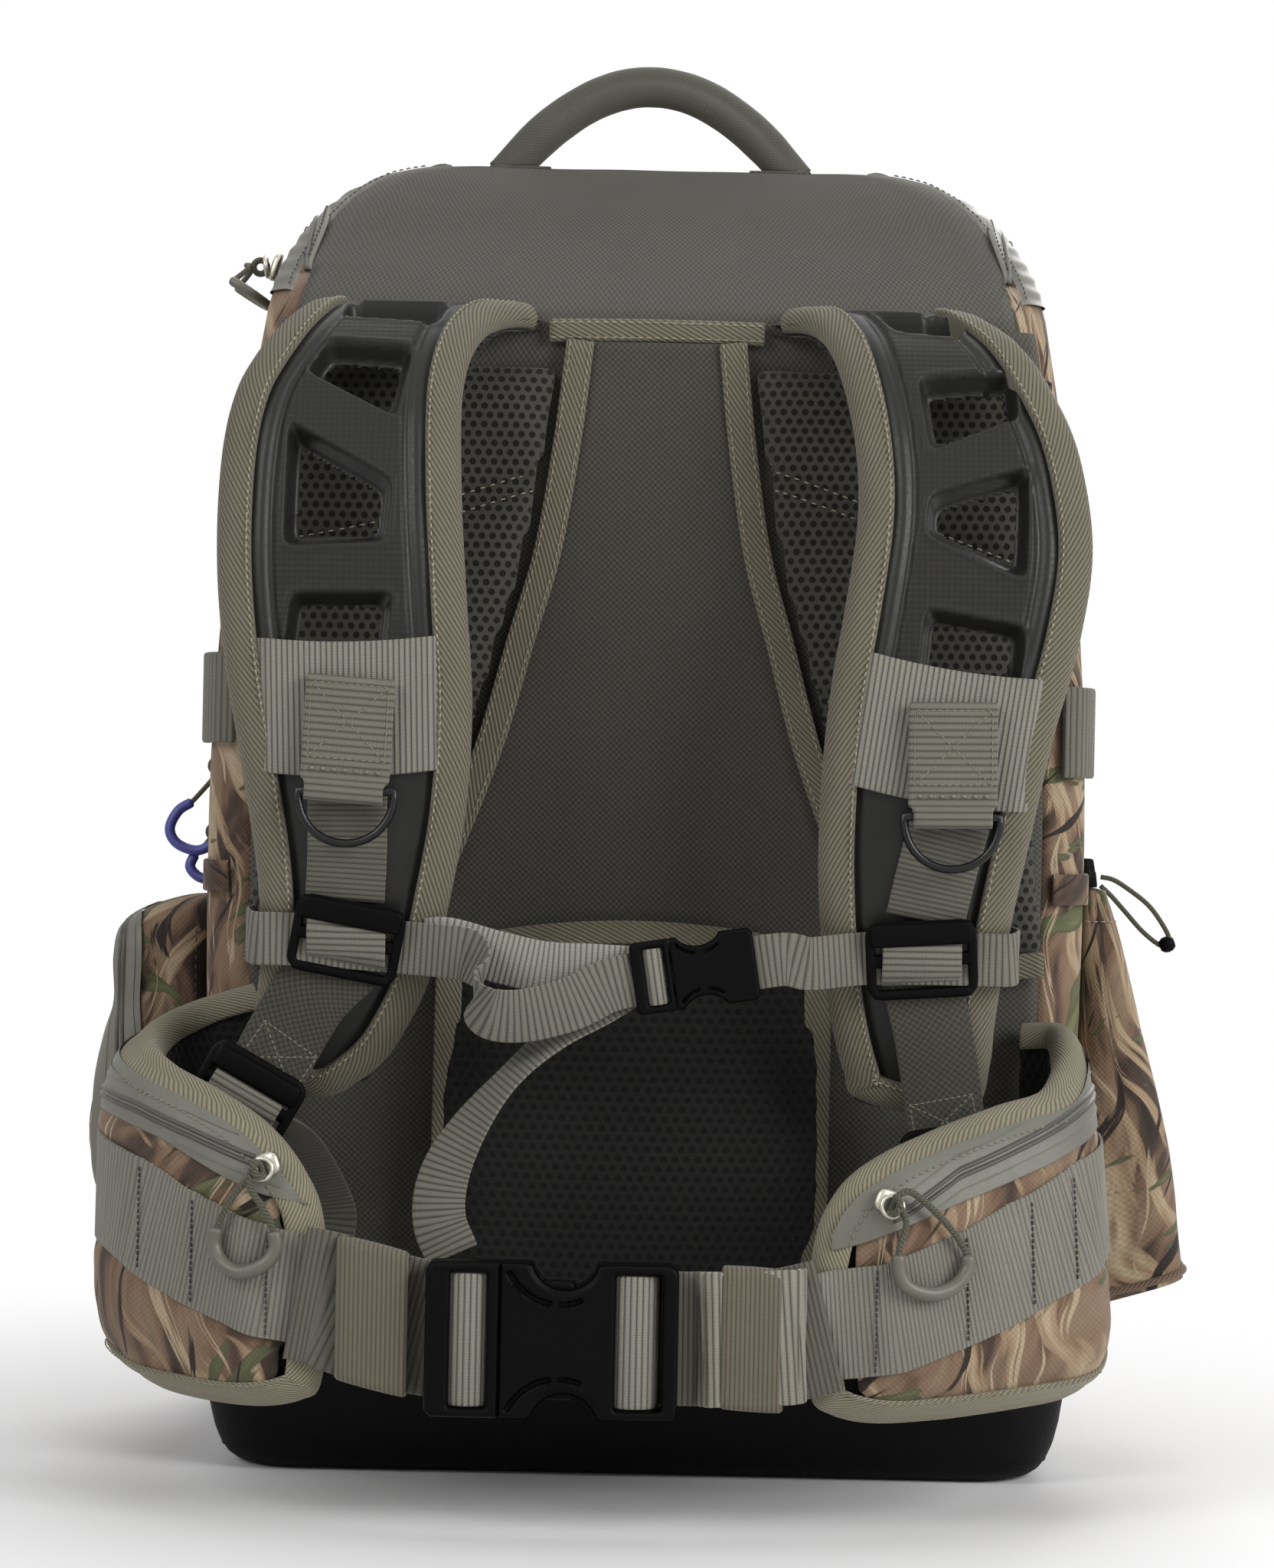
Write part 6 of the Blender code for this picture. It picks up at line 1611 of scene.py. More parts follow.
# %% D rings
for side in ("left", "right"):
    tx, half_ring = TRIM[side]["tab"][0], 0.0180
    ring_y, ring_z = ring_seat(side)
    arc = np.linspace(0, math.pi, 33)
    loop = together(tx + half_ring * np.cos(arc), ring_y, ring_z - 0.0195 * np.sin(arc) ** 0.9)
    bar_line = np.linspace(loop[-1], loop[0], 14)[1:-1]
    ring = sweep(f"ring_{side}", np.vstack([loop, bar_line]), (0, 1, 0), round_section(0.0032, 14), M["wire"],
                 f"dring_{side}", "black_metal", closed=True)
    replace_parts(ring, f"d_ring_{side}")
print("D rings:", len(TRIM))

# %% Strap webbing
STRAP_WEB = 0.0300
# slider: x, z and tilt in degrees; lower adjuster: x, y, z and tilt
SLIDES = {"left": (-0.1125, 0.2150, -10.0), "right": (0.1045, 0.2120, 4.0)}
LOCK_AT = {"left": (-0.1500, -0.0625, 0.1540, 29.0), "right": (0.1200, -0.0570, 0.1330, -10.0)}
for side, sign in SIDES:
    tx = TRIM[side]["tab"][0]
    sx, sz, tilt = SLIDES[side]
    lx, ly, lz, _ = LOCK_AT[side]
    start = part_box(f"dring_tab_{side}")[0].z + 0.003
    t = math.radians(tilt)
    line = [bend(tx, face_s(start), 0.0012), bend((tx + sx) / 2, face_s((start + sz) / 2 + 0.006), 0.0012),
            bend(sx + 0.001 * sign, face_s(sz + 0.014), 0.0010)]
    wide = [(1, 0, 0)] * 3
    # the run from the tab to the slider takes the darker webbing copy, which paints shade
    webbing(f"upper_run_{side}", line, wide, STRAP_WEB, 0.0016, "shade_painted_webbing", "pack")
    over = [bend(sx, face_s(sz + 0.0075), 0.0020), bend(sx, face_s(sz + 0.0050), 0.0066),
            bend(sx, face_s(sz + 0.0005), 0.0080),
            bend(sx, face_s(sz - 0.0060), 0.0072), bend(sx, face_s(sz - 0.0100), 0.0020)]
    webbing(f"slider_wrap_{side}", over, (math.cos(t), 0, math.sin(t)), STRAP_WEB - 0.0002, 0.0018,
            "narrow_webbing", "pack")
    down = [bend(sx, face_s(sz - 0.008), 0.0024)]
    for share in (0.35, 0.62):
        down.append(bend(sx + (lx - sx) * share, face_s(sz + (lz - sz) * share), 0.0026))
    end = np.array([lx + 0.55 * (sx - lx) * 0.30, ly + 0.0012, lz + 0.0060])
    down.append(end)
    run = np.array(down)
    head = unit(run[-1] - run[0])
    wide = unit(np.cross(head, (0, -1, 0)))
    wide = wide * np.sign(wide[0])
    strap_run = webbing(f"lower_run_{side}", run, wide, STRAP_WEB, 0.0017, "long_webbing", "pack")
    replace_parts(strap_run, f"strap_webbing_{side}")
    # box and cross stitched where the webbing is folded back on itself
    a, b = np.array(run[-1]) - head * 0.002, np.array(run[-1]) - head * 0.019
    face = np.array([0, -0.0014, 0])
    corner = [a + wide * 0.012, a - wide * 0.012, b - wide * 0.012, b + wide * 0.012]
    for k, line in enumerate(([corner[0], corner[1], corner[2], corner[3], corner[0]], [corner[0], corner[2]],
                              [corner[1], corner[3]])):
        stitches(f"run_stitch_{side}_{k}", np.array(line) + face, (0, -1, 0), "pack", "pale_thread", pitch=0.0023,
                 length=0.0017, width=0.0005)

print("strap webbing:", len(SLIDES))

# %% Sliders on the straps
# a frame with a broad upper bar, and a middle bar under the webbing
for side in ("left", "right"):
    sx, sz, tilt = SLIDES[side]
    t = math.radians(tilt)
    right, up = np.array([math.cos(t), 0, math.sin(t)]), np.array([-math.sin(t), 0, math.cos(t)])
    slope = face_normal(face_s(np.array(sz)))
    up = unit(up - slope * (up @ slope))
    centre = bend(sx, face_s(sz), 0.0052)
    slider = barred_frame(f"strap_slider_{side}", centre, right, up, slope, (0.0420, 0.0300, 0.0036, 0.0036), [
        (0.0102, 0.0195, 0.0008, 0.0088, 0.0046, 0.0014), (-0.0128, 0.0190, 0, 0.0036, 0.0044, 0.0014),
        (0, 0.0195, 0, 0.0050, 0.0030, 0.0012)])
    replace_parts(slider, f"sternum_slider_{side}")
print("sliders:", len(SLIDES))

# %% Lower adjusters and the webbing below them
for side in ("left", "right"):
    lx, ly, lz, tilt = LOCK_AT[side]
    t = math.radians(tilt)
    right, up = np.array([math.cos(t), 0, -math.sin(t)]), np.array([math.sin(t), 0, math.cos(t)])
    centre = np.array([lx, ly - 0.0017, lz])
    lock = barred_frame(f"lower_adjuster_{side}", centre, right, up, np.array([0, -1.0, 0]),
                        (0.0400, 0.0300, 0.0036, 0.0040), [
        (0.0085, 0.0180, 0.0012, 0.0088, 0.0042, 0.0014), (0, 0.0185, 0, 0.0050, 0.0032, 0.0013),
        (-0.0130, 0.0180, 0, 0.0040, 0.0046, 0.0014)])
    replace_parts(lock, f"ladder_lock_{side}")
    wrap = [centre + up * 0.0045 + [0, 0.0030, 0], centre + up * 0.0026 - [0, 0.0026, 0],
            centre - up * 0.0004 - [0, 0.0036, 0],
            centre - up * 0.0040 - [0, 0.0024, 0], centre - up * 0.0066 + [0, 0.0026, 0]]
    webbing(f"lock_wrap_{side}", wrap, right, STRAP_WEB - 0.0010, 0.0017, "narrow_webbing", "pack")
    anchor = math.copysign(0.1270, lx)
    route = [centre - up * 0.0066 + [0, 0.0026, 0], ((lx + anchor) / 2, ly * 0.55, lz - 0.020),
             (anchor, -0.0060, 0.107), (anchor, -0.0020, 0.093),
             (anchor, -0.0016, 0.086)]
    # the run to the anchor takes the darker webbing copy, which paints shade
    lower = webbing(f"anchor_run_{side}", route, (1, 0, 0), STRAP_WEB - 0.0004, 0.0016, "shade_painted_webbing", "pack")
    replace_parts(lower, f"lower_webbing_{side}")
print("strap trim done")

# %% [markdown]
# ## Side-release buckles
# Each buckle half is a plate drawn by a distance field: positive inside the outline, zero on it.
# Fields combine simply. The larger of two joins them, and the smaller of one and minus the other
# cuts a hole. Grid points beside the outline are moved onto it, the cells outside are dropped, and
# the front falls away near every edge as a quarter circle.

# %% Plates from distance fields
def box_field(x, z, cx, cz, half_x, half_z, radius=0.0):
    """Distance inside a rectangle with round corners."""
    qx, qz = np.abs(x - cx) - (half_x - radius), np.abs(z - cz) - (half_z - radius)
    return radius - np.hypot(np.maximum(qx, 0), np.maximum(qz, 0)) - np.minimum(np.maximum(qx, qz), 0)


def disc_field(x, z, cx, cz, radius, stretch=1.0):
    """Distance inside a disc, drawn wider by stretch."""
    return radius - np.hypot((x - cx) / stretch, z - cz)


def arc_field(x, z, cx, cz, radius, width, start, end):
    """Distance inside a curved slot between two angles in degrees."""
    angle = np.degrees(np.arctan2(z - cz, x - cx)) % 360
    middle, half = (start + end) / 2, (end - start) / 2
    off = np.abs((angle - middle + 180) % 360 - 180)
    return np.minimum(width / 2 - np.abs(np.hypot(x - cx, z - cz) - radius), np.radians(half - off) * radius)


def plate(low, high, cell, field, front, back, edge_radius):
    """Points and faces of a closed plate in local (x, y, z), with y from front(x, z) to back(x, z)."""
    nx, nz = int((high[0] - low[0]) / cell) + 1, int((high[1] - low[1]) / cell) + 1
    z, x = np.meshgrid(np.linspace(low[1], high[1], nz), np.linspace(low[0], high[0], nx), indexing="ij")
    faces, _ = grid_faces(nz, nx, False, False)
    faces = faces[field(x, z).ravel()[faces].mean(1) > 0]
    edges = np.sort(np.vstack([faces[:, [k, (k + 1) % 4]] for k in range(4)]), axis=1)
    unique, count = np.unique(edges, axis=0, return_counts=True)
    rim = np.unique(unique[count == 1])
    px, pz = x.ravel().copy(), z.ravel().copy()
    for _ in range(3):
        d = field(px[rim], pz[rim])
        gx = (field(px[rim] + 1e-5, pz[rim]) - d) / 1e-5
        gz = (field(px[rim], pz[rim] + 1e-5) - d) / 1e-5
        size = np.maximum(gx ** 2 + gz ** 2, 0.25)
        step = np.clip(-d / size, -0.9 * cell, 0.9 * cell)
        px[rim] += step * gx
        pz[rim] += step * gz
    d = np.clip(field(px, pz), 0, None)
    fall = edge_radius * (1 - np.sqrt(np.clip(1 - (1 - np.clip(d / edge_radius, 0, 1)) ** 2, 0, 1)))
    y0, y1 = front(px, pz) + fall, back(px, pz) - fall
    points = np.vstack([np.stack([px, y0, pz], 1), np.stack([px, y1, pz], 1)])
    n = len(px)
    directed = np.vstack([faces[:, [k, (k + 1) % 4]] for k in range(4)])
    key = np.sort(directed, axis=1)
    code = key[:, 0] * n + key[:, 1]
    _, index, total = np.unique(code, return_inverse=True, return_counts=True)
    open_ = directed[total[index] == 1]
    walls = np.stack([open_[:, 1], open_[:, 0], open_[:, 0] + n, open_[:, 1] + n], 1)
    faces = np.vstack([faces, faces[:, ::-1] + n, walls])
    used, faces = np.unique(faces, return_inverse=True)
    return points[used], faces.reshape(-1, 4)


def plates(name, layers, place, material, body, slot):
    """Several plates as one piece. place(points) puts the local coordinates in the frame."""
    verts, faces, base = [], [], 0
    for points, cells in layers:
        verts.append(points)
        faces.append(cells + base)
        base += len(points)
    verts, faces = place(np.vstack(verts)), np.vstack(faces)
    piece = make_piece(name, verts, faces.tolist(), np.zeros((faces.size, 2)), M[material], body, slot)
    box_uv(piece.data)
    piece.data.set_sharp_from_angle(angle=math.radians(50))
    return piece


def level(value):
    """A face at one depth everywhere."""
    return lambda x, z: np.full(np.shape(x), value)

# %% Waist buckle
# the buckle's middle, then its joint, its left and right ends, half its height and half its depth
BELT_Y, BELT_Z = -0.1262, 0.0730
JOINT_X, LEFT_X, RIGHT_X, HALF_H, HALF_D = -0.0500, -0.0763, 0.0148, 0.0280, 0.0070
RELIEF_X = -0.0262


def at_belt(points):
    """Local points of the waist buckle put in the frame."""
    return points + [0, BELT_Y, BELT_Z]


def male_outline(x, z):
    """The waist buckle's left plate, with a window for its webbing."""
    middle, half = (LEFT_X + JOINT_X + 0.012) / 2 - 0.0005, (JOINT_X - LEFT_X + 0.012) / 2
    body = box_field(x, z, middle, 0, half, HALF_H, 0.0040)
    body = np.minimum(body, JOINT_X - x)
    window = box_field(x, z, -0.0612, 0, 0.0068, 0.0247, 0.0012)
    return np.minimum(body, -window)


def prongs(x, z):
    """Two prongs with round heads, split along the middle."""
    bars = box_field(x, np.abs(z), JOINT_X + 0.0120, 0.0172, 0.0155, 0.0042, 0.0020)
    heads = disc_field(x, np.abs(z), JOINT_X + 0.0215, 0.0160, 0.0056, 1.3)
    return np.minimum(np.maximum(bars, heads), 0.0215 - np.abs(z))


def female_outline(x, z):
    """The right plate, with its window and a round relief over each prong's head."""
    body = box_field(x, z, (RIGHT_X + JOINT_X - 0.012) / 2, 0, (RIGHT_X - JOINT_X + 0.012) / 2, HALF_H, 0.0040)
    body = np.minimum(body, x - JOINT_X - 0.0003)
    window = box_field(x, z, 0.0006, 0, 0.0086, 0.0247, 0.0012)
    reliefs = disc_field(x, np.abs(z), RELIEF_X, HALF_H + 0.0030, 0.0122)
    return np.minimum(np.minimum(body, -window), -reliefs)


def female_front(x, z):
    """The face with a sunk crescent beside each relief and a soft step round the reliefs."""
    slot = np.maximum(arc_field(x, np.abs(z), RELIEF_X - 0.002, HALF_H + 0.0060, 0.0205, 0.0022, 205, 262),
                      arc_field(x, np.abs(z), RELIEF_X - 0.002, HALF_H + 0.0060, 0.0205, 0.0020, 270, 294))
    rim = disc_field(x, np.abs(z), RELIEF_X, HALF_H + 0.0030, 0.0142)
    return -HALF_D + 0.0019 * smoothstep(slot, -0.0002, 0.0005) + 0.0007 * smoothstep(rim, -0.0004, 0.0008)


male = [plate((LEFT_X - 0.001, -0.029), (JOINT_X + 0.001, 0.029), 0.0006, male_outline, level(-HALF_D),
              level(HALF_D), 0.0016),
        plate((JOINT_X - 0.004, -0.023), (JOINT_X + 0.031, 0.023), 0.0008, prongs, level(-0.0036), level(0.0036),
              0.0012)]
waist_male = plates("side_release_male", male, at_belt, "buckle", "belt_left", "buckle_plastic")
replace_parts(waist_male, "waist_buckle_male")
socket = lambda x, z: box_field(x, z, JOINT_X + 0.012, 0, 0.0170, 0.0222, 0.001)
hollow = lambda x, z: np.minimum(female_outline(x, z), -socket(x, z))
female = [plate((JOINT_X, -0.029), (RIGHT_X + 0.001, 0.029), 0.00055, female_outline, female_front, level(-0.0042),
                0.0016),
          plate((JOINT_X, -0.029), (RIGHT_X + 0.001, 0.029), 0.0010, hollow, level(-0.0043), level(0.0043), 0.0001),
          plate((JOINT_X, -0.029), (RIGHT_X + 0.001, 0.029), 0.0010, female_outline, level(0.0042), level(HALF_D),
                0.0012)]
waist_female = plates("side_release_female", female, at_belt, "buckle", "pack", "buckle_plastic")
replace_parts(waist_female, "waist_buckle_female")
for name, low, high, body in (("male", -0.0681, -0.0548, "belt_left"), ("female", -0.0080, 0.0062, "pack")):
    route = [(low - 0.0012, BELT_Y + 0.0040, BELT_Z), (low + 0.0008, BELT_Y - 0.0030, BELT_Z),
             ((low + high) / 2, BELT_Y - 0.0052, BELT_Z),
             (high - 0.0008, BELT_Y - 0.0030, BELT_Z), (high + 0.0012, BELT_Y + 0.0040, BELT_Z)]
    webbing(f"window_webbing_{name}", route, (0, 0, 1), 0.0482, 0.0022, "webbing", body)

print("waist buckle:", len(waist_male.data.polygons) + len(waist_female.data.polygons), "faces")

# %% Sternum buckle
ST_Y, ST_Z, ST_JOINT, ST_TILT = -0.0800, 0.2040, 0.0105, math.radians(9.0)
ST_H, ST_D = 0.0135, 0.00425


def at_sternum(points):
    """Turn local points by the buckle's tilt and put its joint in place."""
    x = points[:, 0] * math.cos(ST_TILT) - points[:, 2] * math.sin(ST_TILT)
    z = points[:, 0] * math.sin(ST_TILT) + points[:, 2] * math.cos(ST_TILT)
    return np.stack([ST_JOINT + x, ST_Y + points[:, 1], ST_Z + z], 1)


def small_male(x, z):
    """The sternum buckle's left plate and its window."""
    body = box_field(x, z, -0.0040, 0, 0.0108, ST_H, 0.0022)
    body = np.minimum(body, -x)
    window = box_field(x, z, -0.0062, 0, 0.0040, 0.0108, 0.0008)
    return np.minimum(body, -window)


def small_female(x, z):
    """The right plate, with a relief over each prong."""
    body = box_field(x, z, 0.0120, 0, 0.0196, ST_H, 0.0024)
    body = np.minimum(body, x - 0.0002)
    reliefs = disc_field(x, np.abs(z), 0.0112, ST_H + 0.0030, 0.0072, 1.25)
    return np.minimum(body, -reliefs)


def small_front(x, z):
    """Its face, with a sunk crescent beside each relief."""
    slot = np.maximum(arc_field(x, np.abs(z), 0.0112, ST_H + 0.0040, 0.0108, 0.0013, 215, 262),
                      arc_field(x, np.abs(z), 0.0112, ST_H + 0.0040, 0.0108, 0.0013, 278, 312))
    return -ST_D + 0.0012 * smoothstep(slot, -0.0001, 0.0004)


def small_prongs(x, z):
    """The sternum buckle's two prongs."""
    bars = box_field(x, np.abs(z), 0.0070, 0.0062, 0.0110, 0.0022, 0.0010)
    heads = disc_field(x, np.abs(z), 0.0130, 0.0058, 0.0030, 1.4)
    return np.minimum(np.maximum(bars, heads), 0.0080 - np.abs(z))


male = [plate((-0.0150, -0.0140), (0.0004, 0.0140), 0.0004, small_male, level(-ST_D), level(ST_D), 0.0012),
        plate((-0.0030, -0.0090), (0.0185, 0.0090), 0.0005, small_prongs, level(-0.0022), level(0.0022), 0.0008)]
st_male = plates("chest_release_male", male, at_sternum, "buckle", "sternum_left", "buckle_plastic")
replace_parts(st_male, "sternum_buckle_male")
small_socket = lambda x, z: box_field(x, z, 0.0090, 0, 0.0110, 0.0086, 0.0005)
small_hollow = lambda x, z: np.minimum(small_female(x, z), -small_socket(x, z))
female = [plate((0.0, -0.0140), (0.0322, 0.0140), 0.0004, small_female, small_front, level(-0.0026), 0.0011),
          plate((0.0, -0.0140), (0.0322, 0.0140), 0.0007, small_hollow, level(-0.0027), level(0.0027), 0.0001),
          plate((0.0, -0.0140), (0.0322, 0.0140), 0.0007, small_female, level(0.0026), level(ST_D), 0.0008)]
st_female = plates("chest_release_female", female, at_sternum, "buckle", "pack", "buckle_plastic")
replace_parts(st_female, "sternum_buckle_female")
route = at_sternum(np.array([(-0.0106, 0.0030, 0), (-0.0095, -0.0020, 0), (-0.0065, -0.0036, 0),
                             (-0.0035, -0.0022, 0), (-0.0020, 0.0030, 0)]))
webbing("chest_window_webbing", route, (-math.sin(ST_TILT), 0, math.cos(ST_TILT)), 0.0212, 0.0014, "webbing",
        "sternum_left")

print("sternum buckle:", len(st_male.data.polygons) + len(st_female.data.polygons), "faces")

# %% Sternum straps
CHEST_WEB, layer = 0.0200, 0.0034    # width, and how high the webbing lies over the strap


z = 0.2145
route = [bend(-0.1475, face_s(z), -0.0110), bend(-0.1505, face_s(z), -0.0040),
         bend(-0.1470, face_s(z), layer - 0.0002), bend(-0.136, face_s(z), layer),
         bend(-0.1125, face_s(z - 0.001), layer), bend(-0.0900, face_s(z - 0.0025), layer),
         (-0.0745, -0.0745, 0.2105), (-0.0655, -0.0775, 0.2090),
         (-0.0605, -0.0830, 0.2030), (-0.0625, -0.0880, 0.1945), (-0.0570, -0.0905, 0.1885),
         (-0.0440, -0.0900, 0.1880), (-0.0270, -0.0870, 0.1925),
         (-0.0140, -0.0835, 0.1990), (-0.0035, -0.0810, 0.2020)]
across = [(0, 0, 1)] * 8 + [(0.10, -0.20, 1), (0.16, -0.30, 1), (0.10, -0.22, 1), (0, -0.10, 1), (-0.1, 0, 1),
                            (-0.15, 0, 1), (-0.15, 0, 1)]
left_run = webbing("chest_strap_left", route, across, CHEST_WEB, 0.0016, "narrow_webbing", None)
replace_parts(left_run, "sternum_strap_left")
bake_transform(left_run)
route = [(-0.0830, -0.0690, 0.2130), (-0.0740, -0.0725, 0.2135), (-0.0560, -0.0745, 0.2090),
         (-0.0380, -0.0765, 0.2055), (-0.0200, -0.0785, 0.2050), (-0.0050, -0.0795, 0.2045)]
inner_run = webbing("chest_strap_return", route, [(0, 0.10, 1)] * 6, CHEST_WEB - 0.0005, 0.0015, "pale_webbing",
                    None)
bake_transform(inner_run)

z = 0.2120
right_end = at_sternum(np.array([(0.0300, 0, 0)]))[0]
route = [bend(0.1385, face_s(z), -0.0110), bend(0.1415, face_s(z), -0.0040),
         bend(0.1380, face_s(z), layer - 0.0002), bend(0.127, face_s(z), layer),
         bend(0.1045, face_s(z), layer), bend(0.0830, face_s(z - 0.0005), layer), (0.0690, -0.0755, 0.2095),
         (0.0610, -0.0795, 0.2090), (0.0530, -0.0805, 0.2105), right_end]
right_run = webbing("chest_strap_right", route, [(0, 0, 1)] * 8 + [(-0.08, 0, 1), (-0.15, 0, 1)], CHEST_WEB, 0.0016,
                    "narrow_webbing", "pack")
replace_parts(right_run, "sternum_strap_right")

tail_route = [(-0.0060, -0.0745, 0.2010), (-0.0160, -0.0745, 0.1930), (-0.0330, -0.0770, 0.1800),
              (-0.0500, -0.0800, 0.1640),
              (-0.0640, -0.0820, 0.1460), (-0.0730, -0.0850, 0.1280), (-0.0745, -0.0900, 0.1120),
              (-0.0690, -0.0950, 0.0990)]
tail = webbing("chest_strap_tail", tail_route, np.cross(unit(np.gradient(np.array(tail_route), axis=0)), (0, 1, 0)),
               CHEST_WEB, 0.0015, "narrow_webbing",
               "sternum_left", twist=[12, 30, 58, 66, 48, 22, 4, 0])
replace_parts(tail, "sternum_tail")
print("buckles done")

# %% [markdown]
# ## The hip belt
# Each wing curves forward from the back of the bag to a tip that carries the belt webbing. It is
# drawn flat as well: u along the wing, z up, and a layer outwards, so the stuffing, the seams and
# the webbing are laid out on a plane and then wrapped with point = C(u) + layer * N(u).

# %% The wings' plan
# from the root to the tip: x, y, then the heights of the upper and lower edge
WINGS = {
    "left": [(-0.152, -0.0064, 0.194, 0.060), (-0.174, -0.0115, 0.187, 0.056), (-0.188, -0.0290, 0.180, 0.052),
             (-0.189, -0.0520, 0.173, 0.048), (-0.177, -0.0740, 0.166, 0.044), (-0.158, -0.0880, 0.158, 0.042),
             (-0.139, -0.0980, 0.147, 0.042), (-0.125, -0.1050, 0.132, 0.045), (-0.114, -0.1105, 0.110, 0.052)],
    "right": [(0.148, -0.0064, 0.184, 0.060), (0.1645, -0.0140, 0.185, 0.057), (0.170, -0.0290, 0.181, 0.054),
              (0.167, -0.0460, 0.172, 0.050), (0.156, -0.0650, 0.162, 0.046), (0.136, -0.0790, 0.157, 0.044),
              (0.112, -0.0900, 0.149, 0.042), (0.088, -0.1000, 0.139, 0.041), (0.073, -0.1060, 0.127, 0.044),
              (0.062, -0.1105, 0.104, 0.052)],
}

# %% The wings' curve
SEEN_LAYER = 0.016    # how far out the face stands where it is seen from the front


class Wing:
    """One wing's plan line, with its edges' heights, sampled evenly along its length."""

    def __init__(self, side):
        """Sample the plan line evenly and find which way is outwards all along it."""
        self.side, self.sign = side, 1 if side == "left" else -1
        line = spline(WINGS[side], 10)
        plan = along(line[:, :2])
        self.length = plan[-1]
        self.u = np.linspace(0, self.length, 400)
        self.plan = np.stack([np.interp(self.u, plan, line[:, i]) for i in (0, 1)], 1)
        self.high, self.low = (np.interp(self.u, plan, line[:, i]) for i in (2, 3))
        ahead = unit(np.gradient(self.plan, self.u, axis=0))
        self.out = self.sign * np.stack([ahead[:, 1], -ahead[:, 0]], 1)
        self.flare = {"left": 0.0, "right": 0.085}[side]

    def place(self, u, z, layer):
        """Flat coordinates to space, going straight on past the tip."""
        u, z, layer = np.broadcast_arrays(u, z, layer)
        over = u - np.clip(u, 0, self.length)
        share = np.clip(u / self.length, 0, 1)
        flared = np.clip(np.minimum(share / 0.20, (0.93 - share) / 0.23), 0, 1)
        layer = layer + self.flare * (0.110 - z) * flared
        end = unit(self.plan[-1] - self.plan[-8])
        x, y = (np.interp(u, self.u, self.plan[:, i]) + over * end[i] for i in (0, 1))
        nx, ny = (np.interp(u, self.u, self.out[:, i]) for i in (0, 1))
        return np.stack([x + nx * layer, y + ny * layer, z], -1)

    def outward(self, u):
        """The outward direction at u."""
        return np.stack([*(np.interp(u, self.u, self.out[:, i]) for i in (0, 1)), 0 * np.asarray(u, float)], -1)

    def edges(self, u):
        """Heights of the lower and upper edge."""
        return np.interp(u, self.u, self.low), np.interp(u, self.u, self.high)

    def at_x(self, x, layer):
        """u where the outside of the wing is seen at x."""
        px = self.plan[:, 0] + self.out[:, 0] * layer
        front = self.u > 0.40 * self.length
        order = np.argsort(px[front])
        return np.interp(x, px[front][order], self.u[front][order])


WING = {side: Wing(side) for side in ("left", "right")}
BELT_BODY = {"left": "belt_left", "right": "pack"}
FRONT_SHARE = 0.17    # the pocket begins this far along the wing

print("wing lengths:", {side: round(float(WING[side].length), 3) for side in WING})

# %% Lines across the wings
# heights along x, as seen from the front: webbing band's middle, zip coil, seam under the zip panel
BAND_LINE = {
    "left": [(-0.2114, 0.1216), (-0.1954, 0.1154), (-0.1855, 0.1109), (-0.1642, 0.1004), (-0.1361, 0.0899),
             (-0.1127, 0.0847), (-0.1047, 0.0822)],
    "right": [(0.0524, 0.0752), (0.0604, 0.0763), (0.0936, 0.0819), (0.1233, 0.0922), (0.1585, 0.1085),
              (0.1777, 0.1174), (0.1933, 0.1247)],
}
COIL_LINE = {
    "left": [(-0.2114, 0.1554), (-0.1890, 0.1505), (-0.1664, 0.1428), (-0.1448, 0.1349), (-0.1260, 0.1272),
             (-0.1087, 0.1180)],
    "right": [(0.0604, 0.1059), (0.0809, 0.1134), (0.1007, 0.1211), (0.1233, 0.1342), (0.1585, 0.1476),
              (0.1777, 0.1549), (0.1933, 0.1612)],
}
SEAM_LINE = {
    "left": [(-0.2114, 0.1491), (-0.1954, 0.1457), (-0.1775, 0.1402), (-0.1555, 0.1292), (-0.1384, 0.1220),
             (-0.1236, 0.1178), (-0.1087, 0.1129)],
    "right": [(0.0604, 0.1029), (0.0793, 0.1074), (0.0936, 0.1132), (0.1233, 0.1239), (0.1585, 0.1365),
              (0.1777, 0.1440), (0.1933, 0.1508)],
}


def line_z(table, side, u):
    """Height of a seam at u, read from its line across the front view and carried on level round the side."""
    wing = WING[side]
    x = wing.place(u, 0 * np.asarray(u, float), SEEN_LAYER)[..., 0]
    t = np.array(table[side])
    bend_u = wing.u[np.argmax(np.abs(wing.plan[:, 0] + wing.out[:, 0] * SEEN_LAYER))]
    seen = np.interp(x, t[:, 0], t[:, 1])
    x_bend = wing.place(bend_u, 0.0, SEEN_LAYER)[0]
    rest = np.interp(x_bend, t[:, 0], t[:, 1])
    return np.where(u > bend_u, seen, rest)


def wing_face(side, u, z):
    """Layer of the pocket's face: 5.5 mm at the rim, up to 17 mm in the middle, flat again at the tip."""
    wing = WING[side]
    low, high = wing.edges(u)
    rim = np.minimum(z - low, high - z)
    share = u / wing.length
    swell = smoothstep(share, 0.18, 0.42) * (1 - smoothstep(share, 0.84, 0.985))
    rise = np.sqrt(np.clip(1 - (1 - np.clip((rim - 0.004) / 0.030, 0, 1)) ** 2, 0, 1))
    return 0.0058 + 0.0105 * swell * rise

# %% Pads round the wings
def under_band(side, u, middle, z):
    """Layer of the face under the sewn-on band: mostly its own, partly that along the band's middle."""
    return wing_face(side, u, middle) * 0.35 + wing_face(side, u, z) * 0.65


def band_puffs(side, u):
    """The band stands off a little between its bar tacks: |sin(pi u / 30 mm)|."""
    return 0.0007 * np.abs(np.sin(math.pi * (u - WING[side].length * 0.4) / 0.030))


def flat_rings(front, rear, sign):
    """Grids given as (u, z, layer) to flat pad rings with X = sign * u and Y = -layer."""
    parts = [np.stack([sign * g[..., 0], -g[..., 2], g[..., 1]], -1)[:, ::sign] for g in (front, rear)]
    return pillow_rings(*parts)


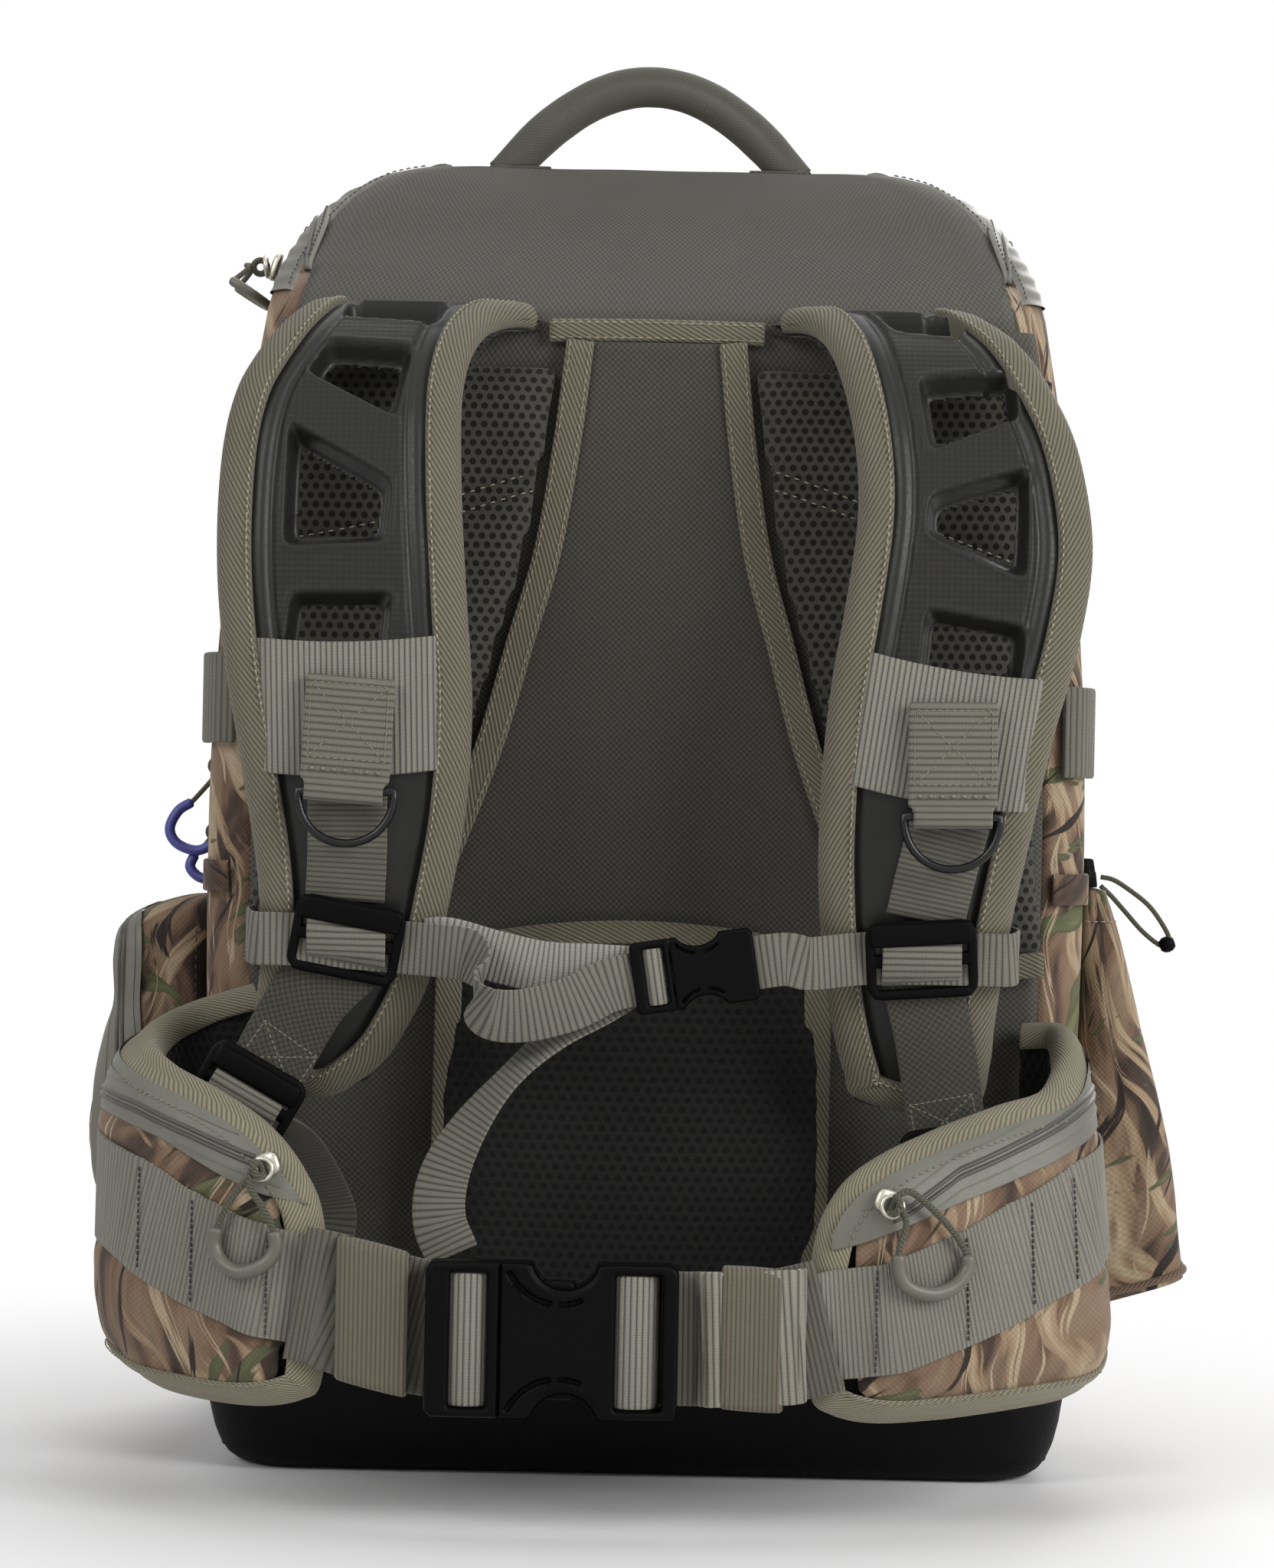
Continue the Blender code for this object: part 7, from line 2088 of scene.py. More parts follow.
def wing_grid(side, start, stop, inset, layer_at):
    """A flat grid between two shares of the wing's length, inset from its edges."""
    wing = WING[side]
    u = np.linspace(start * wing.length, stop * wing.length, 70)[None, :]
    low, high = wing.edges(u)
    v = np.linspace(0, 1, 44)[:, None]
    z = low + inset + (high - low - 2 * inset) * v
    return together(u, z, layer_at(u, z))


def wrap_pad(piece, side):
    """Bend a finished flat pad round the wing."""
    points = read_points(piece.data)
    bent = WING[side].place(WING[side].sign * points[:, 0], points[:, 2], -points[:, 1])
    write_points(piece.data, bent)

# %% Wing pads
BLENDED = {"left": None, "right": "pack"}    # the left wing's pieces get no body and are baked in place
SOFT = {"left": [], "right": []}
for side in ("left", "right"):
    wing, sign, blended = WING[side], WING[side].sign, BLENDED[side]
    rim = lambda u, z: np.minimum(z - wing.edges(u)[0], wing.edges(u)[1] - z)
    rim_taper = lambda u, z: 0.0024 + 0.0026 * np.clip(rim(u, z) / 0.014, 0, 1) ** 0.5
    core = wing_grid(side, 0.0, 0.985, 0.0020, rim_taper)
    core_rear = core.copy()
    core_rear[..., 2] *= -1

    def keep_core(p, wing=wing, sign=sign):
        """Held to the wing's thickness and length."""
        p = p.copy()
        p[:, 1] = np.clip(p[:, 1], -0.0058, 0.0060)
        p[:, 0] = sign * np.clip(sign * p[:, 0], 0.0, wing.length)
        return p

    wing_pad = puff(f"wing_{side}", flat_rings(core, core_rear, sign), M["dark_mesh"], blended, "mesh", keep_core,
                    cap=0.002)
    wrap_pad(wing_pad, side)
    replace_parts(wing_pad, f"hip_wing_{side}")
    SOFT[side].append(wing_pad)
print("wing pads:", len(SOFT))

# %% Pocket cloth
for side in ("left", "right"):
    wing, sign, blended = WING[side], WING[side].sign, BLENDED[side]
    face = wing_grid(side, FRONT_SHARE, 0.975, 0.0030, lambda u, z: wing_face(side, u, z) - 0.0006)
    back = face.copy()
    back[..., 2] = 0.0042

    def keep_face(p, wing=wing, sign=sign, side=side):
        """Held between 1 mm under and 2.4 mm over the designed face, and tight under the sewn-on band."""
        p = p.copy()
        u, z = sign * p[:, 0], p[:, 2]
        design = wing_face(side, np.clip(u, 0, wing.length), z)
        under = 1 - smoothstep(np.abs(z - line_z(BAND_LINE, side, u)), 0.018, 0.024)
        front = -p[:, 1] > 0.0050
        under_panel = smoothstep(z - line_z(SEAM_LINE, side, u), -0.003, 0.000)
        upper = design + 0.0024 - 0.0020 * np.maximum(under, under_panel)
        layer = np.where(front, np.clip(-p[:, 1], design - 0.0012, upper), np.clip(-p[:, 1], 0.0036, 0.2))
        p[:, 1] = -layer
        return p

    pocket = puff(f"hip_pocket_cloth_{side}", flat_rings(face, back, sign), M["camo"], blended, "camo_fabric",
                  keep_face, cap=0.003, voxel=0.004)
    # folds that run down from the zip seam, pulled tight under the sewn-on band
    points = read_points(pocket.data)
    u, z = sign * points[:, 0], points[:, 2]
    seam = line_z(SEAM_LINE, side, u)
    low_z, high_z = wing.edges(np.clip(u, 0, wing.length))
    leaning = np.stack([u + 0.55 * (z - 0.1), u * 0, (z - u * 0.5) * 0.5], -1)
    fold = 0.0011 * ripple(leaning, 31 if side == "left" else 33, 0.032)
    free = smoothstep(seam - z, 0.0, 0.006) * smoothstep(np.abs(z - line_z(BAND_LINE, side, u)), 0.017, 0.023)
    inside = smoothstep(np.minimum(z - low_z, high_z - z), 0.010, 0.020)
    points[:, 1] -= fold * free * smoothstep(-points[:, 1], 0.0052, 0.0070) * inside
    write_points(pocket.data, points)
    wrap_pad(pocket, side)
    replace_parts(pocket, f"hip_pocket_{side}")
    SOFT[side].append(pocket)
print("hip pockets:", len(SOFT))

# %% Zip panels and coils
# the smooth panel over the cloth's upper part; two ridges make the coil, two the folds beside it
for side in ("left", "right"):
    wing, blended = WING[side], BLENDED[side]
    u = np.linspace((FRONT_SHARE + 0.012) * wing.length, 0.965 * wing.length, 110)
    seam, coil = line_z(SEAM_LINE, side, u), line_z(COIL_LINE, side, u)
    top_edge = wing.edges(u)[1] - 0.0055
    open_end = smoothstep(top_edge - seam, 0.002, 0.008)
    v = np.array([0.0, 0.0, 0.02, 0.06, 0.15, 0.3, 0.45, 0.6, 0.75, 0.9, 1.0])
    pz = seam[:, None] + np.clip(top_edge - seam, 0.0008, 1)[:, None] * v
    lay = wing_face(side, u[:, None], pz) + 0.0016 * open_end[:, None]
    lay[:, 0] -= 0.0025
    lay += 0.0003 * ripple(together(u[:, None] * 0.6, 0, pz * 1.6), 51, 0.020) * open_end[:, None]
    panel = surface(f"zip_panel_{side}", wing.place(u[:, None], pz, lay), M["laminate"], blended, "olive_fabric",
                    together(u[:, None], pz),
                    flip=side == "left")
    SOFT[side].append(panel)
    last = {"left": wing.at_x(-0.143, 0.018), "right": wing.at_x(0.093, 0.018)}[side]
    for k, (rise, half, height) in enumerate(((0.0013, 0.0010, 0.0009), (-0.0013, 0.0010, 0.0009),
                                              (0.0064, 0.0003, 0.0003), (-0.0058, 0.0003, 0.0003))):
        cu = u[(u < last) if k < 2 else (u < last + 0.010)]
        cz = np.interp(cu, u, coil) + rise
        keep = (cz - np.interp(cu, u, seam) > 0.0014) & (np.interp(cu, u, top_edge) - cz > 0.001)
        cu, cz = cu[keep], cz[keep]
        bump_z = np.array([-1.0, -0.6, 0.0, 0.6, 1.0]) * half
        bump_l = np.array([-0.0004, 0.7 * height, height, 0.7 * height, -0.0004])
        ridge = wing.place(cu[:, None], cz[:, None] + bump_z,
                           wing_face(side, cu[:, None], cz[:, None]) + 0.0017 + bump_l)
        SOFT[side].append(surface(f"zip_coil_{side}_{k}", ridge, M["coil" if k < 2 else "laminate"], blended,
                                  "olive_fabric",
                                  together(cu[:, None], bump_z[None]), flip=side == "left"))
    if side == "left":
        for soft in SOFT[side]:
            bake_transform(soft)

# %% Bindings round the wings
# down the root's top edge, round the tip and back along the foot
for side in ("left", "right"):
    wing, body, blended = WING[side], BELT_BODY[side], BLENDED[side]
    foot, top = wing.low + 0.0004, wing.high - 0.0004
    tip_u = wing.length
    tip = [(tip_u - 0.001, top[-1] - 0.010), (tip_u + 0.0010, (top[-1] + foot[-1]) / 2),
           (tip_u - 0.001, foot[-1] + 0.010)]
    outline = np.vstack([np.stack([wing.u, top], 1)[4:-10:16], tip, np.stack([wing.u, foot], 1)[-10:4:-16]])
    rim_line = evenly(spline(outline, 8), 520)
    d = unit(np.gradient(rim_line, axis=0))
    inward = np.stack([d[:, 1], -d[:, 0]], 1)
    profile = np.array([(9.9, 4.6), (9.8, 6.6), (9.2, 7.1), (7.5, 7.0), (5.0, 6.3), (2.6, 5.0), (0.9, 3.3),
                        (-0.2, 1.2), (-0.3, -1.2), (0.9, -3.4),
                        (3.0, -5.2), (6.0, -6.3), (8.6, -6.8), (9.4, -6.6), (9.8, -5.4)]) * 0.001
    e, layer = profile[None, :, 0], profile[None, :, 1]
    fu, fz = rim_line[:, :1] + inward[:, :1] * e, rim_line[:, 1:] + inward[:, 1:] * e
    lift = np.clip(wing_face(side, np.clip(fu, 0, wing.length), fz) - 0.0058, 0, 0.010)
    lift = lift * (layer > 0.003) * (fu > FRONT_SHARE * wing.length)
    ring = wing.place(fu, fz, layer + lift)
    around = along(profile)
    uv = together(along(rim_line)[:, None], np.append(around, around[-1] + 0.009)[None])
    bind = tubular(f"wing_binding_{side}", ring, M["pale_binding"], blended, "webbing", uv,
                   flip=side == "right")
    row = rim_line + inward * 0.0087
    row_lift = np.clip(wing_face(side, np.clip(row[:, 0], 0, wing.length), row[:, 1]) - 0.0058, 0, 0.010)
    row_points = wing.place(row[:, 0], row[:, 1], 0.0076 + row_lift)
    out = wing.outward(row[:, 0])
    visible = (row[:, 0] > 0.36 * wing.length) & (row[:, 0] < wing.length - 0.012)
    switch = np.flatnonzero(np.diff(visible.astype(int)))
    for k, part in enumerate(np.split(np.arange(len(row)), switch + 1)):
        if visible[part[0]] and len(part) > 20:
            stitches(f"wing_stitch_{side}_{k}", row_points[part], out[part], body, "pale_thread", pitch=0.0030,
                     length=0.0020, width=0.0007, lift=0.0001)
    if side == "left":
        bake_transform(bind)

# %% Belt bands and their bar tacks
for side in ("left", "right"):
    wing, body, blended = WING[side], BELT_BODY[side], BLENDED[side]
    u = np.linspace((FRONT_SHARE + 0.004) * wing.length, 0.990 * wing.length, 100)
    section = rounded_section(0.0400, 0.0015, 0.0006, 2)
    mid = line_z(BAND_LINE, side, u)
    slope = np.gradient(mid, u)
    bu = u[:, None] - section[None, :, 0] * slope[:, None] * 0.5
    bz = mid[:, None] + section[None, :, 0]
    sag = under_band(side, np.clip(bu, 0, wing.length), mid[:, None], bz)
    band = wing.place(bu, bz, sag + 0.0015 + band_puffs(side, u)[:, None] + section[None, :, 1])
    uv = together(u[:, None], np.append(section[:, 0], section[0, 0])[None])
    molle = tubular(f"belt_band_{side}", band, M["band_webbing"], blended, "webbing", uv, flip=side == "left")
    if side == "left":
        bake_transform(molle)
    for k, x in enumerate({"left": (-0.1855, -0.1640, -0.1368), "right": (0.0875, 0.1200, 0.1455, 0.1625)}[side]):
        tack_u = wing.at_x(x, 0.018)
        tz = np.linspace(-0.0190, 0.0190, 20)
        tack_mid = line_z(BAND_LINE, side, np.array(tack_u))
        lay = under_band(side, np.full(20, tack_u), tack_mid, tack_mid + tz) + 0.0023 + band_puffs(side, tack_u)
        tack = wing.place(np.full(20, tack_u), tack_mid + tz, lay)
        normal = wing.outward(tack_u)
        stitches(f"belt_tack_{side}_{k}", tack, normal, body, "dark_thread", pitch=0.0022, length=0.0018,
                 width=0.0008, lift=0.0003)
print("wings done")
# %% [markdown]
# ## Belt webbing, keepers and hip zip pulls
# The 50 mm webbing runs from each wing's tip through a ribbed elastic keeper to its half of the
# buckle. A tube follows a path P(s) with radius r(s): P + r (cos a * N + sin a * B), where N is the
# outward direction made square to the path and B = T x N.

# %% Tubes
def tube(name, path, out, diameter, material, body, slot, sides=14):
    """A round tube along path points; out keeps its frame steady and diameter may vary along it."""
    path = np.asarray(path, float)
    ahead = unit(np.gradient(path, axis=0))
    out = np.broadcast_to(np.asarray(out, float), path.shape)
    normal = unit(out - ahead * (ahead * out).sum(1, keepdims=True))
    beside = np.cross(ahead, normal)
    turn = np.linspace(0, 2 * math.pi, sides, endpoint=False)[None, :, None]
    radius = np.broadcast_to(np.asarray(diameter, float), len(path))[:, None, None] / 2
    ring = path[:, None] + radius * (np.cos(turn) * normal[:, None] + np.sin(turn) * beside[:, None])
    around = np.linspace(0, math.pi * float(np.mean(diameter)), sides + 1)
    uv = together(along(path)[:, None], around[None])
    return tubular(name, ring, M[material], body, slot, uv, flip=True)


def sleeve_sizes(count, size):
    """Diameters of a moulded sleeve: full, drawn in over its last steps at both ends."""
    s = np.minimum(np.arange(count), np.arange(count)[::-1]) / 3
    return size * (0.45 + 0.55 * np.sqrt(1 - (1 - np.clip(s, 0, 1)) ** 2))

# %% Webbing to the buckle
BELT_WEB = 0.0490
BELT_RUNS = {
    "left": [(-0.1250, -0.1178, 0.0870), (-0.1140, -0.1176, 0.0850), (-0.1060, -0.1176, 0.0815),
             (-0.0960, -0.1178, 0.0790),
             (-0.0840, -0.1178, 0.0765), (-0.0770, -0.1178, 0.0748), (-0.0690, -0.1178, 0.0738)],
    "right": [(0.0700, -0.1176, 0.0790), (0.0620, -0.1178, 0.0770), (0.0540, -0.1178, 0.0752),
              (0.0440, -0.1178, 0.0738),
              (0.0320, -0.1178, 0.0733), (0.0200, -0.1178, 0.0731), (0.0080, -0.1178, 0.0730)],
}
for side in ("left", "right"):
    body = BELT_BODY[side]
    # the belt runs take the darker webbing copy, which paints the shade beside the buckle
    strap = webbing(f"belt_webbing_{side}", BELT_RUNS[side], (0, 0, 1), BELT_WEB, 0.0022, "belt_webbing", body)
    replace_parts(strap, f"waist_webbing_{side}")

# the spare webbing folded to and fro beside the right keeper
for k, (x_from, x_to, lift) in enumerate(((0.0225, 0.0612, 0.0026), (0.0245, 0.0590, 0.0050))):
    bent = [(x_from, -0.1178, 0.0732), (x_from + 0.0012, -0.1178 - lift, 0.0734),
            (x_from + 0.006, -0.1180 - lift, 0.0736),
            ((x_from + x_to) / 2, -0.1176 - lift, 0.0740), (x_to - 0.006, -0.1180 - lift, 0.0748),
            (x_to - 0.0012, -0.1178 - lift, 0.0752),
            (x_to, -0.1178, 0.0754)]
    webbing(f"belt_fold_{k}", bent, (0, 0, 1), BELT_WEB, 0.0020, "fold_webbing", "pack")

print("folds of spare webbing:", k + 1)

# %% Keepers
# first and last x, middle z, height, and how much it leans
KEEPERS = {"left": (-0.1100, -0.0835, 0.0792, 0.0530, 0.0018), "right": (0.0306, 0.0534, 0.0735, 0.0522, 0.0004)}
for side, (x_low, x_high, middle, height, lean) in KEEPERS.items():
    body = BELT_BODY[side]
    section = rounded_section(height, 0.0132, 0.0036, 5)
    x = np.linspace(x_low, x_high, 26)
    share = np.linspace(-1, 1, 26)
    outer = np.concatenate([[0.97], np.ones(24), [0.97]])
    rows = []
    for scale, order in ((1.0, slice(None)), (0.90, slice(None, None, -1))):
        pinch = (1 - 0.012 * share ** 2) * outer * (1.0 if scale == 1.0 else 0.965)
        depth = (1 - 0.16 * share ** 4) * outer * (1.0 if scale == 1.0 else 0.72)
        ring = together(
            x[:, None], -0.1182 + lean * share[:, None] * (-1 if side == "left" else 1)
            + depth[:, None] * section[None, :, 1],
            middle + (lean * 1.6 * -share[:, None]) + pinch[:, None] * section[None, :, 0])
        rows.append(ring[order])
    ring = np.vstack(rows)
    around = round_trip(section)
    length = np.concatenate([x, x[::-1]]) - x_low
    uv = together(np.append(length, 0.0)[:, None], around[None])
    keeper = surface(f"keeper_{side}", ring, M["keeper"], body, "webbing", uv, wrap_rows=True, wrap_columns=True,
                     flip=side == "right")
    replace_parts(keeper, f"webbing_keeper_{side}")

print("keepers:", len(KEEPERS))

# %% Hip zip sliders and their pulls
HIP_CORD, HIP_SLEEVE = 0.0026, 0.0054    # diameters
# an eye's x and z; then two cord legs and the sleeve as (x, z) in the front view
HIP_EYES = {"left": (-0.1405, 0.1325), "right": (0.0930, 0.1240)}
LEGS = {
    "left": ([(-0.1405, 0.1310), (-0.1440, 0.1275), (-0.1500, 0.1185), (-0.1538, 0.1100), (-0.1545, 0.1060)],
             [(-0.1418, 0.1340), (-0.1425, 0.1260), (-0.1385, 0.1180), (-0.1356, 0.1100), (-0.1350, 0.1060)],
             [(-0.1541, 0.1100), (-0.1548, 0.1035), (-0.1520, 0.0975), (-0.1450, 0.0942), (-0.1380, 0.0972),
              (-0.1350, 0.1030), (-0.1355, 0.1095)]),
    "right": ([(0.0932, 0.1262), (0.0985, 0.1285), (0.1065, 0.1225), (0.1145, 0.1140), (0.1195, 0.1060),
               (0.1203, 0.1010)],
              [(0.0945, 0.1235), (0.0968, 0.1170), (0.0946, 0.1090), (0.0940, 0.1040)],
              [(0.0941, 0.1060), (0.0948, 0.0985), (0.0985, 0.0935), (0.1070, 0.0912), (0.1150, 0.0938),
               (0.1196, 0.0995), (0.1201, 0.1050)]),
}


def zip_slider(name, base, run, up, out, body):
    """A slider: a domed plate along run on the coil, and a round eye that stands off it."""
    turn = np.linspace(0, 2 * math.pi, 40, endpoint=False)
    square = lambda w: np.sign(w) * np.abs(w) ** 0.62
    rim = np.stack([square(np.cos(turn)) * 0.0058, square(np.sin(turn)) * 0.0046], 1)
    shell = np.array([(0.10, 0.0028), (0.55, 0.0027), (0.84, 0.0024), (0.97, 0.0016), (1.0, 0.0006),
                      (0.98, -0.0004), (0.4, -0.0005)])
    dome = base + shell[:, None, :1] * (rim[None, :, :1] * run + rim[None, :, 1:] * up) + shell[:, None, 1:] * out
    uv = together(shell[:, :1] * 0.005, np.linspace(0, 0.03, 41)[None])
    plate = tubular(name + "_plate", dome, M["zip_metal"], body, "zip_metal", uv)
    ring_turn = np.linspace(0, 2 * math.pi, 37)
    eye_at = base + 0.0046 * out - 0.0012 * up
    loop = eye_at + 0.0039 * (np.cos(ring_turn)[:, None] * unit(run + 0.4 * out) + np.sin(ring_turn)[:, None] * up)
    eye = tube(name + "_eye", loop, out, 0.0019, "zip_metal", body, "zip_metal", 10)
    return joined(name, [plate, eye])


def cord_knot(name, at, first, second, body, slot):
    """The cord's turn through an eye, as a small ring."""
    turn = np.linspace(0, 2 * math.pi, 30)
    line = at + 0.0028 * (np.cos(turn)[:, None] * first + np.sin(turn)[:, None] * second)
    return tube(name, line, np.cross(first, second), HIP_CORD, "cord", body, slot)


def on_wing(side, points, layer):
    """Points given as (x, z) in the front view, laid a layer over the wing's face."""
    wing, points = WING[side], np.asarray(points, float)
    u = wing.at_x(points[:, 0], 0.022)
    z = points[:, 1]
    return wing.place(u, z, np.maximum(wing_face(side, u, z), wing_face(side, u, z - 0.012)) + layer)


for side in ("left", "right"):
    wing = WING[side]
    eye_x, eye_z = HIP_EYES[side]
    u = float(wing.at_x(eye_x, 0.020))
    out = wing.outward(u)
    coil = line_z(COIL_LINE, side, wing.u)
    tilt = float(np.interp(u + 0.004, wing.u, coil) - np.interp(u - 0.004, wing.u, coil))
    run = unit(np.array([-wing.sign * out[1] * -1, wing.sign * out[0] * -1, tilt / 0.008]))
    up = np.cross(out, run)
    up = up if up[2] > 0 else -up
    face = float(wing_face(side, np.array(u), np.array(eye_z))) + 0.0016
    base = wing.place(u, eye_z, face)
    slider = zip_slider(f"hip_slider_metal_{side}", base, run, up, out, f"hip_slider_{side}")
    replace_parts(slider, f"hip_zip_slider_{side}")
    pieces = []
    first, second, ring = LEGS[side]
    lay = 0.0062
    for k, leg in enumerate((first, second)):
        path = evenly(spline(on_wing(side, leg, lay + 0.0008 * k), 10), 60)
        pieces.append(tube(f"pull_cord_{side}_{k}", path, out, HIP_CORD, "cord", f"hip_pull_{side}",
                           "olive_rubber"))
    pieces.append(cord_knot(f"pull_knot_{side}", base + 0.0072 * out - 0.0010 * up, out, up, f"hip_pull_{side}",
                            "olive_rubber"))
    path = evenly(spline(on_wing(side, ring, lay + 0.0004), 12), 90)
    pieces.append(tube(f"pull_ring_{side}", path, out, sleeve_sizes(90, HIP_SLEEVE), "olive_grip",
                       f"hip_pull_{side}", "olive_rubber", 18))
    pull = joined(f"hip_pull_loop_{side}", pieces)
    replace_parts(pull, f"hip_zip_pull_{side}")
print("belt webbing, keepers and hip pulls done")

# %% [markdown]
# ## Side pockets
# Both pockets are lofted from rounded rectangles that stand out from the bag's side. A ring at
# height z goes from the side of the bag, half_width(z), out to half_width(z) + reach. The zip strip
# runs up the outer rear corner, laid out by arc length: flat, then round the corner, then flat.

# %% Pocket shapes
# height, then how far the pocket stands out, and its rear and front y
LEFT_POCKET = np.array([(0.0795, 0.0230, 0.046, 0.092), (0.0825, 0.0320, 0.034, 0.100),
                        (0.0920, 0.0390, 0.026, 0.106), (0.1080, 0.0462, 0.022, 0.108),
                        (0.1260, 0.0496, 0.022, 0.108), (0.1480, 0.0474, 0.022, 0.108),
                        (0.1700, 0.0420, 0.023, 0.107), (0.1840, 0.0378, 0.024, 0.106),
                        (0.2000, 0.0385, 0.025, 0.105), (0.2120, 0.0361, 0.027, 0.103),
                        (0.2192, 0.0288, 0.032, 0.098), (0.2240, 0.0185, 0.040, 0.090),
                        (0.2258, 0.0100, 0.050, 0.080), (0.2262, 0.0030, 0.058, 0.072)])
RIGHT_POCKET = np.array([(0.0805, 0.0500, 0.021, 0.107), (0.1000, 0.0464, 0.020, 0.108),
                         (0.1400, 0.0385, 0.020, 0.108), (0.1870, 0.0245, 0.020, 0.108),
                         (0.2120, 0.0175, 0.021, 0.107), (0.2360, 0.0098, 0.024, 0.104)])
pocket_columns = ring_columns(20, 30, 9)


def pocket_ring(z, reach, rear, front, shrink=0.0):
    """One ring of the right-hand pocket, as (x, y, z) with x outwards from the bag."""
    inner, outer = float(half_width(z)) + 0.0003 + shrink, float(half_width(z)) + reach - shrink
    middle, half = (inner + outer) / 2, max((outer - inner) / 2, 0.0004)
    rear, front = rear + shrink, front - shrink
    radius = min(half * 0.9, 0.014, (front - rear) * 0.45)
    x, y = round_rectangle(pocket_columns, half, rear, front, radius)
    return together(middle + x, y, z)


def read_table(table, z):
    """Reach, rear and front of a pocket at height z, along a smooth curve through the table."""
    fine = spline(table, 8)
    return [float(np.interp(z, fine[:, 0], fine[:, i])) for i in (1, 2, 3)]


STRIP_X = 0.2125    # the strip runs straight down here, and the cloth swells out past it


def corner_strip(table, z, s, lift):
    """Points on the outer rear corner at heights z and arc lengths s from its start, lifted off the cloth."""
    rows = []
    for height in z:
        reach, rear, front = read_table(table, height)
        outer = float(half_width(height)) + reach
        half = reach / 2
        radius = min(half * 0.9, 0.014, (front - rear) * 0.45)
        moved = s - 1.25 * (outer - STRIP_X)
        on_arc = np.clip(moved, 0, radius * math.pi / 2)
        a = -math.pi / 2 + on_arc / radius
        before, after = np.minimum(moved, 0), np.maximum(moved - radius * math.pi / 2, 0)
        x = outer - radius + (radius + lift) * np.cos(a) + before
        y = rear + radius + (radius + lift) * np.sin(a) + after
        rows.append(np.stack([x, y, np.full(len(s), height)], 1))
    return np.array(rows)

# %% The zipped pocket on the left
z_rows = np.concatenate([np.linspace(0.0795, 0.2120, 46),
                         0.2120 + (0.2262 - 0.2120) * np.sin(np.linspace(0, math.pi / 2, 14))[1:]])
left = np.array([pocket_ring(z, *read_table(LEFT_POCKET, z)) for z in z_rows])
centre_line = left.mean(1, keepdims=True)
away = unit((left - centre_line) * [1, 1, 0] + [0, 0, 1e-6])
fade = smoothstep(left[..., 0] - half_width(left[..., 2]), 0.004, 0.014) * smoothstep(left[..., 2], 0.085, 0.11)
crumple = 0.0017 * ripple(left * [1.0, 1.0, 1.25], 61, 0.034)
for z_mid, slope, x_from in ((0.2080, 0.35, 0.178), (0.1960, -0.30, 0.180), (0.1860, 0.22, 0.178)):
    off_line = left[..., 2] - z_mid - slope * (left[..., 0] - x_from)
    crumple -= 0.0016 * np.exp(-(off_line / 0.0022) ** 2) * (left[..., 1] < 0.05)
left = left + away * (fade * crumple)[..., None]
left[..., 0] *= -1
left_s = round_trip(left[30])
left_uv = together(left_s[None], z_rows[:, None])
pocket = tubular("zipped_pocket", left, M["camo"], "pack", "camo_fabric", left_uv, flip=True)
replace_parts(pocket, "side_pocket_left")
z_zip = np.concatenate([np.linspace(0.086, 0.212, 50), np.linspace(0.2135, 0.2225, 8)])
strip_s = np.linspace(0.0036, 0.0262, 22)
strip = corner_strip(LEFT_POCKET, z_zip, strip_s, 0.0013)
strip += unit(strip - strip.mean(1, keepdims=True)) * [1, 1, 0] * 0.0003 * ripple(strip, 71, 0.02)[..., None]
strip[..., 0] *= -1
strip_uv = together(z_zip[:, None], strip_s[None])
surface("pocket_zip_panel", strip, M["laminate"], "pack", "olive_fabric", strip_uv)
for k, (place, half, height, material) in enumerate(((0.0112, 0.0009, 0.0008, "coil"),
                                                     (0.0136, 0.0009, 0.0008, "coil"),
                                                     (0.0062, 0.0003, 0.0003, "laminate"),
                                                     (0.0186, 0.0003, 0.0003, "laminate"))):
    offsets = np.array([-1.0, -0.6, 0.0, 0.6, 1.0])
    bump_l = np.array([-0.0003, 0.7 * height, height, 0.7 * height, -0.0003])
    lines = [corner_strip(LEFT_POCKET, z_zip, np.array([place + o * half]), 0.0014 + b) for o,
             b in zip(offsets, bump_l)]
    ridge = np.concatenate(lines, 1)
    ridge[..., 0] *= -1
    surface(f"pocket_coil_{k}", ridge, M[material], "pack", "olive_fabric",
            together(z_zip[:, None], offsets[None] * half))
seam_z = np.linspace(0.100, 0.217, 60)
seam_rows = np.array([[-half_width(z) - 0.0045, read_table(LEFT_POCKET, z)[1] - 0.0008, z] for z in seam_z])
stitches("pocket_seam_left", seam_rows, (0, -1, 0), "pack", "dark_thread", pitch=0.0036)

print("zipped pocket:", len(pocket.data.polygons), "faces")

# %% The open pocket on the right
outer_z = np.concatenate([np.linspace(0.0805, 0.2180, 44), np.linspace(0.2215, 0.2360, 8)])
outer = np.array([pocket_ring(z, *read_table(RIGHT_POCKET, z)) for z in outer_z])
inner = np.array([pocket_ring(z, *read_table(RIGHT_POCKET, z), shrink=0.0022) for z in outer_z[::-1][:-1]])


def shape_open_pocket(rings):
    """Long folds down the cloth, gathers under the rim, and a floor that drops towards the bag."""
    side = half_width(rings[..., 2])
    reach = rings[..., 0] - side
    away = unit((rings - rings.mean(1, keepdims=True)) * [1, 1, 0] + [0, 0, 1e-6])
    free = smoothstep(reach, 0.002, 0.008)
    long_folds = 0.0019 * ripple(rings * [1.0, 1.0, 0.22], 81, 0.022)
    gathers = 0.0011 * np.sin(rings[..., 1] * 640 + rings[..., 0] * 500) * smoothstep(rings[..., 2], 0.205, 0.228)
    rings = rings + away * (free * (long_folds * smoothstep(rings[..., 2], 0.070, 0.100) + gathers))[..., None]
    widest = np.array([read_table(RIGHT_POCKET, z)[0] for z in rings[:, 0, 2]])[:, None]
    rings[..., 2] -= 0.30 * (widest - np.clip(reach, 0, None)) * (1 - smoothstep(rings[..., 2], 0.075, 0.150))
    return rings


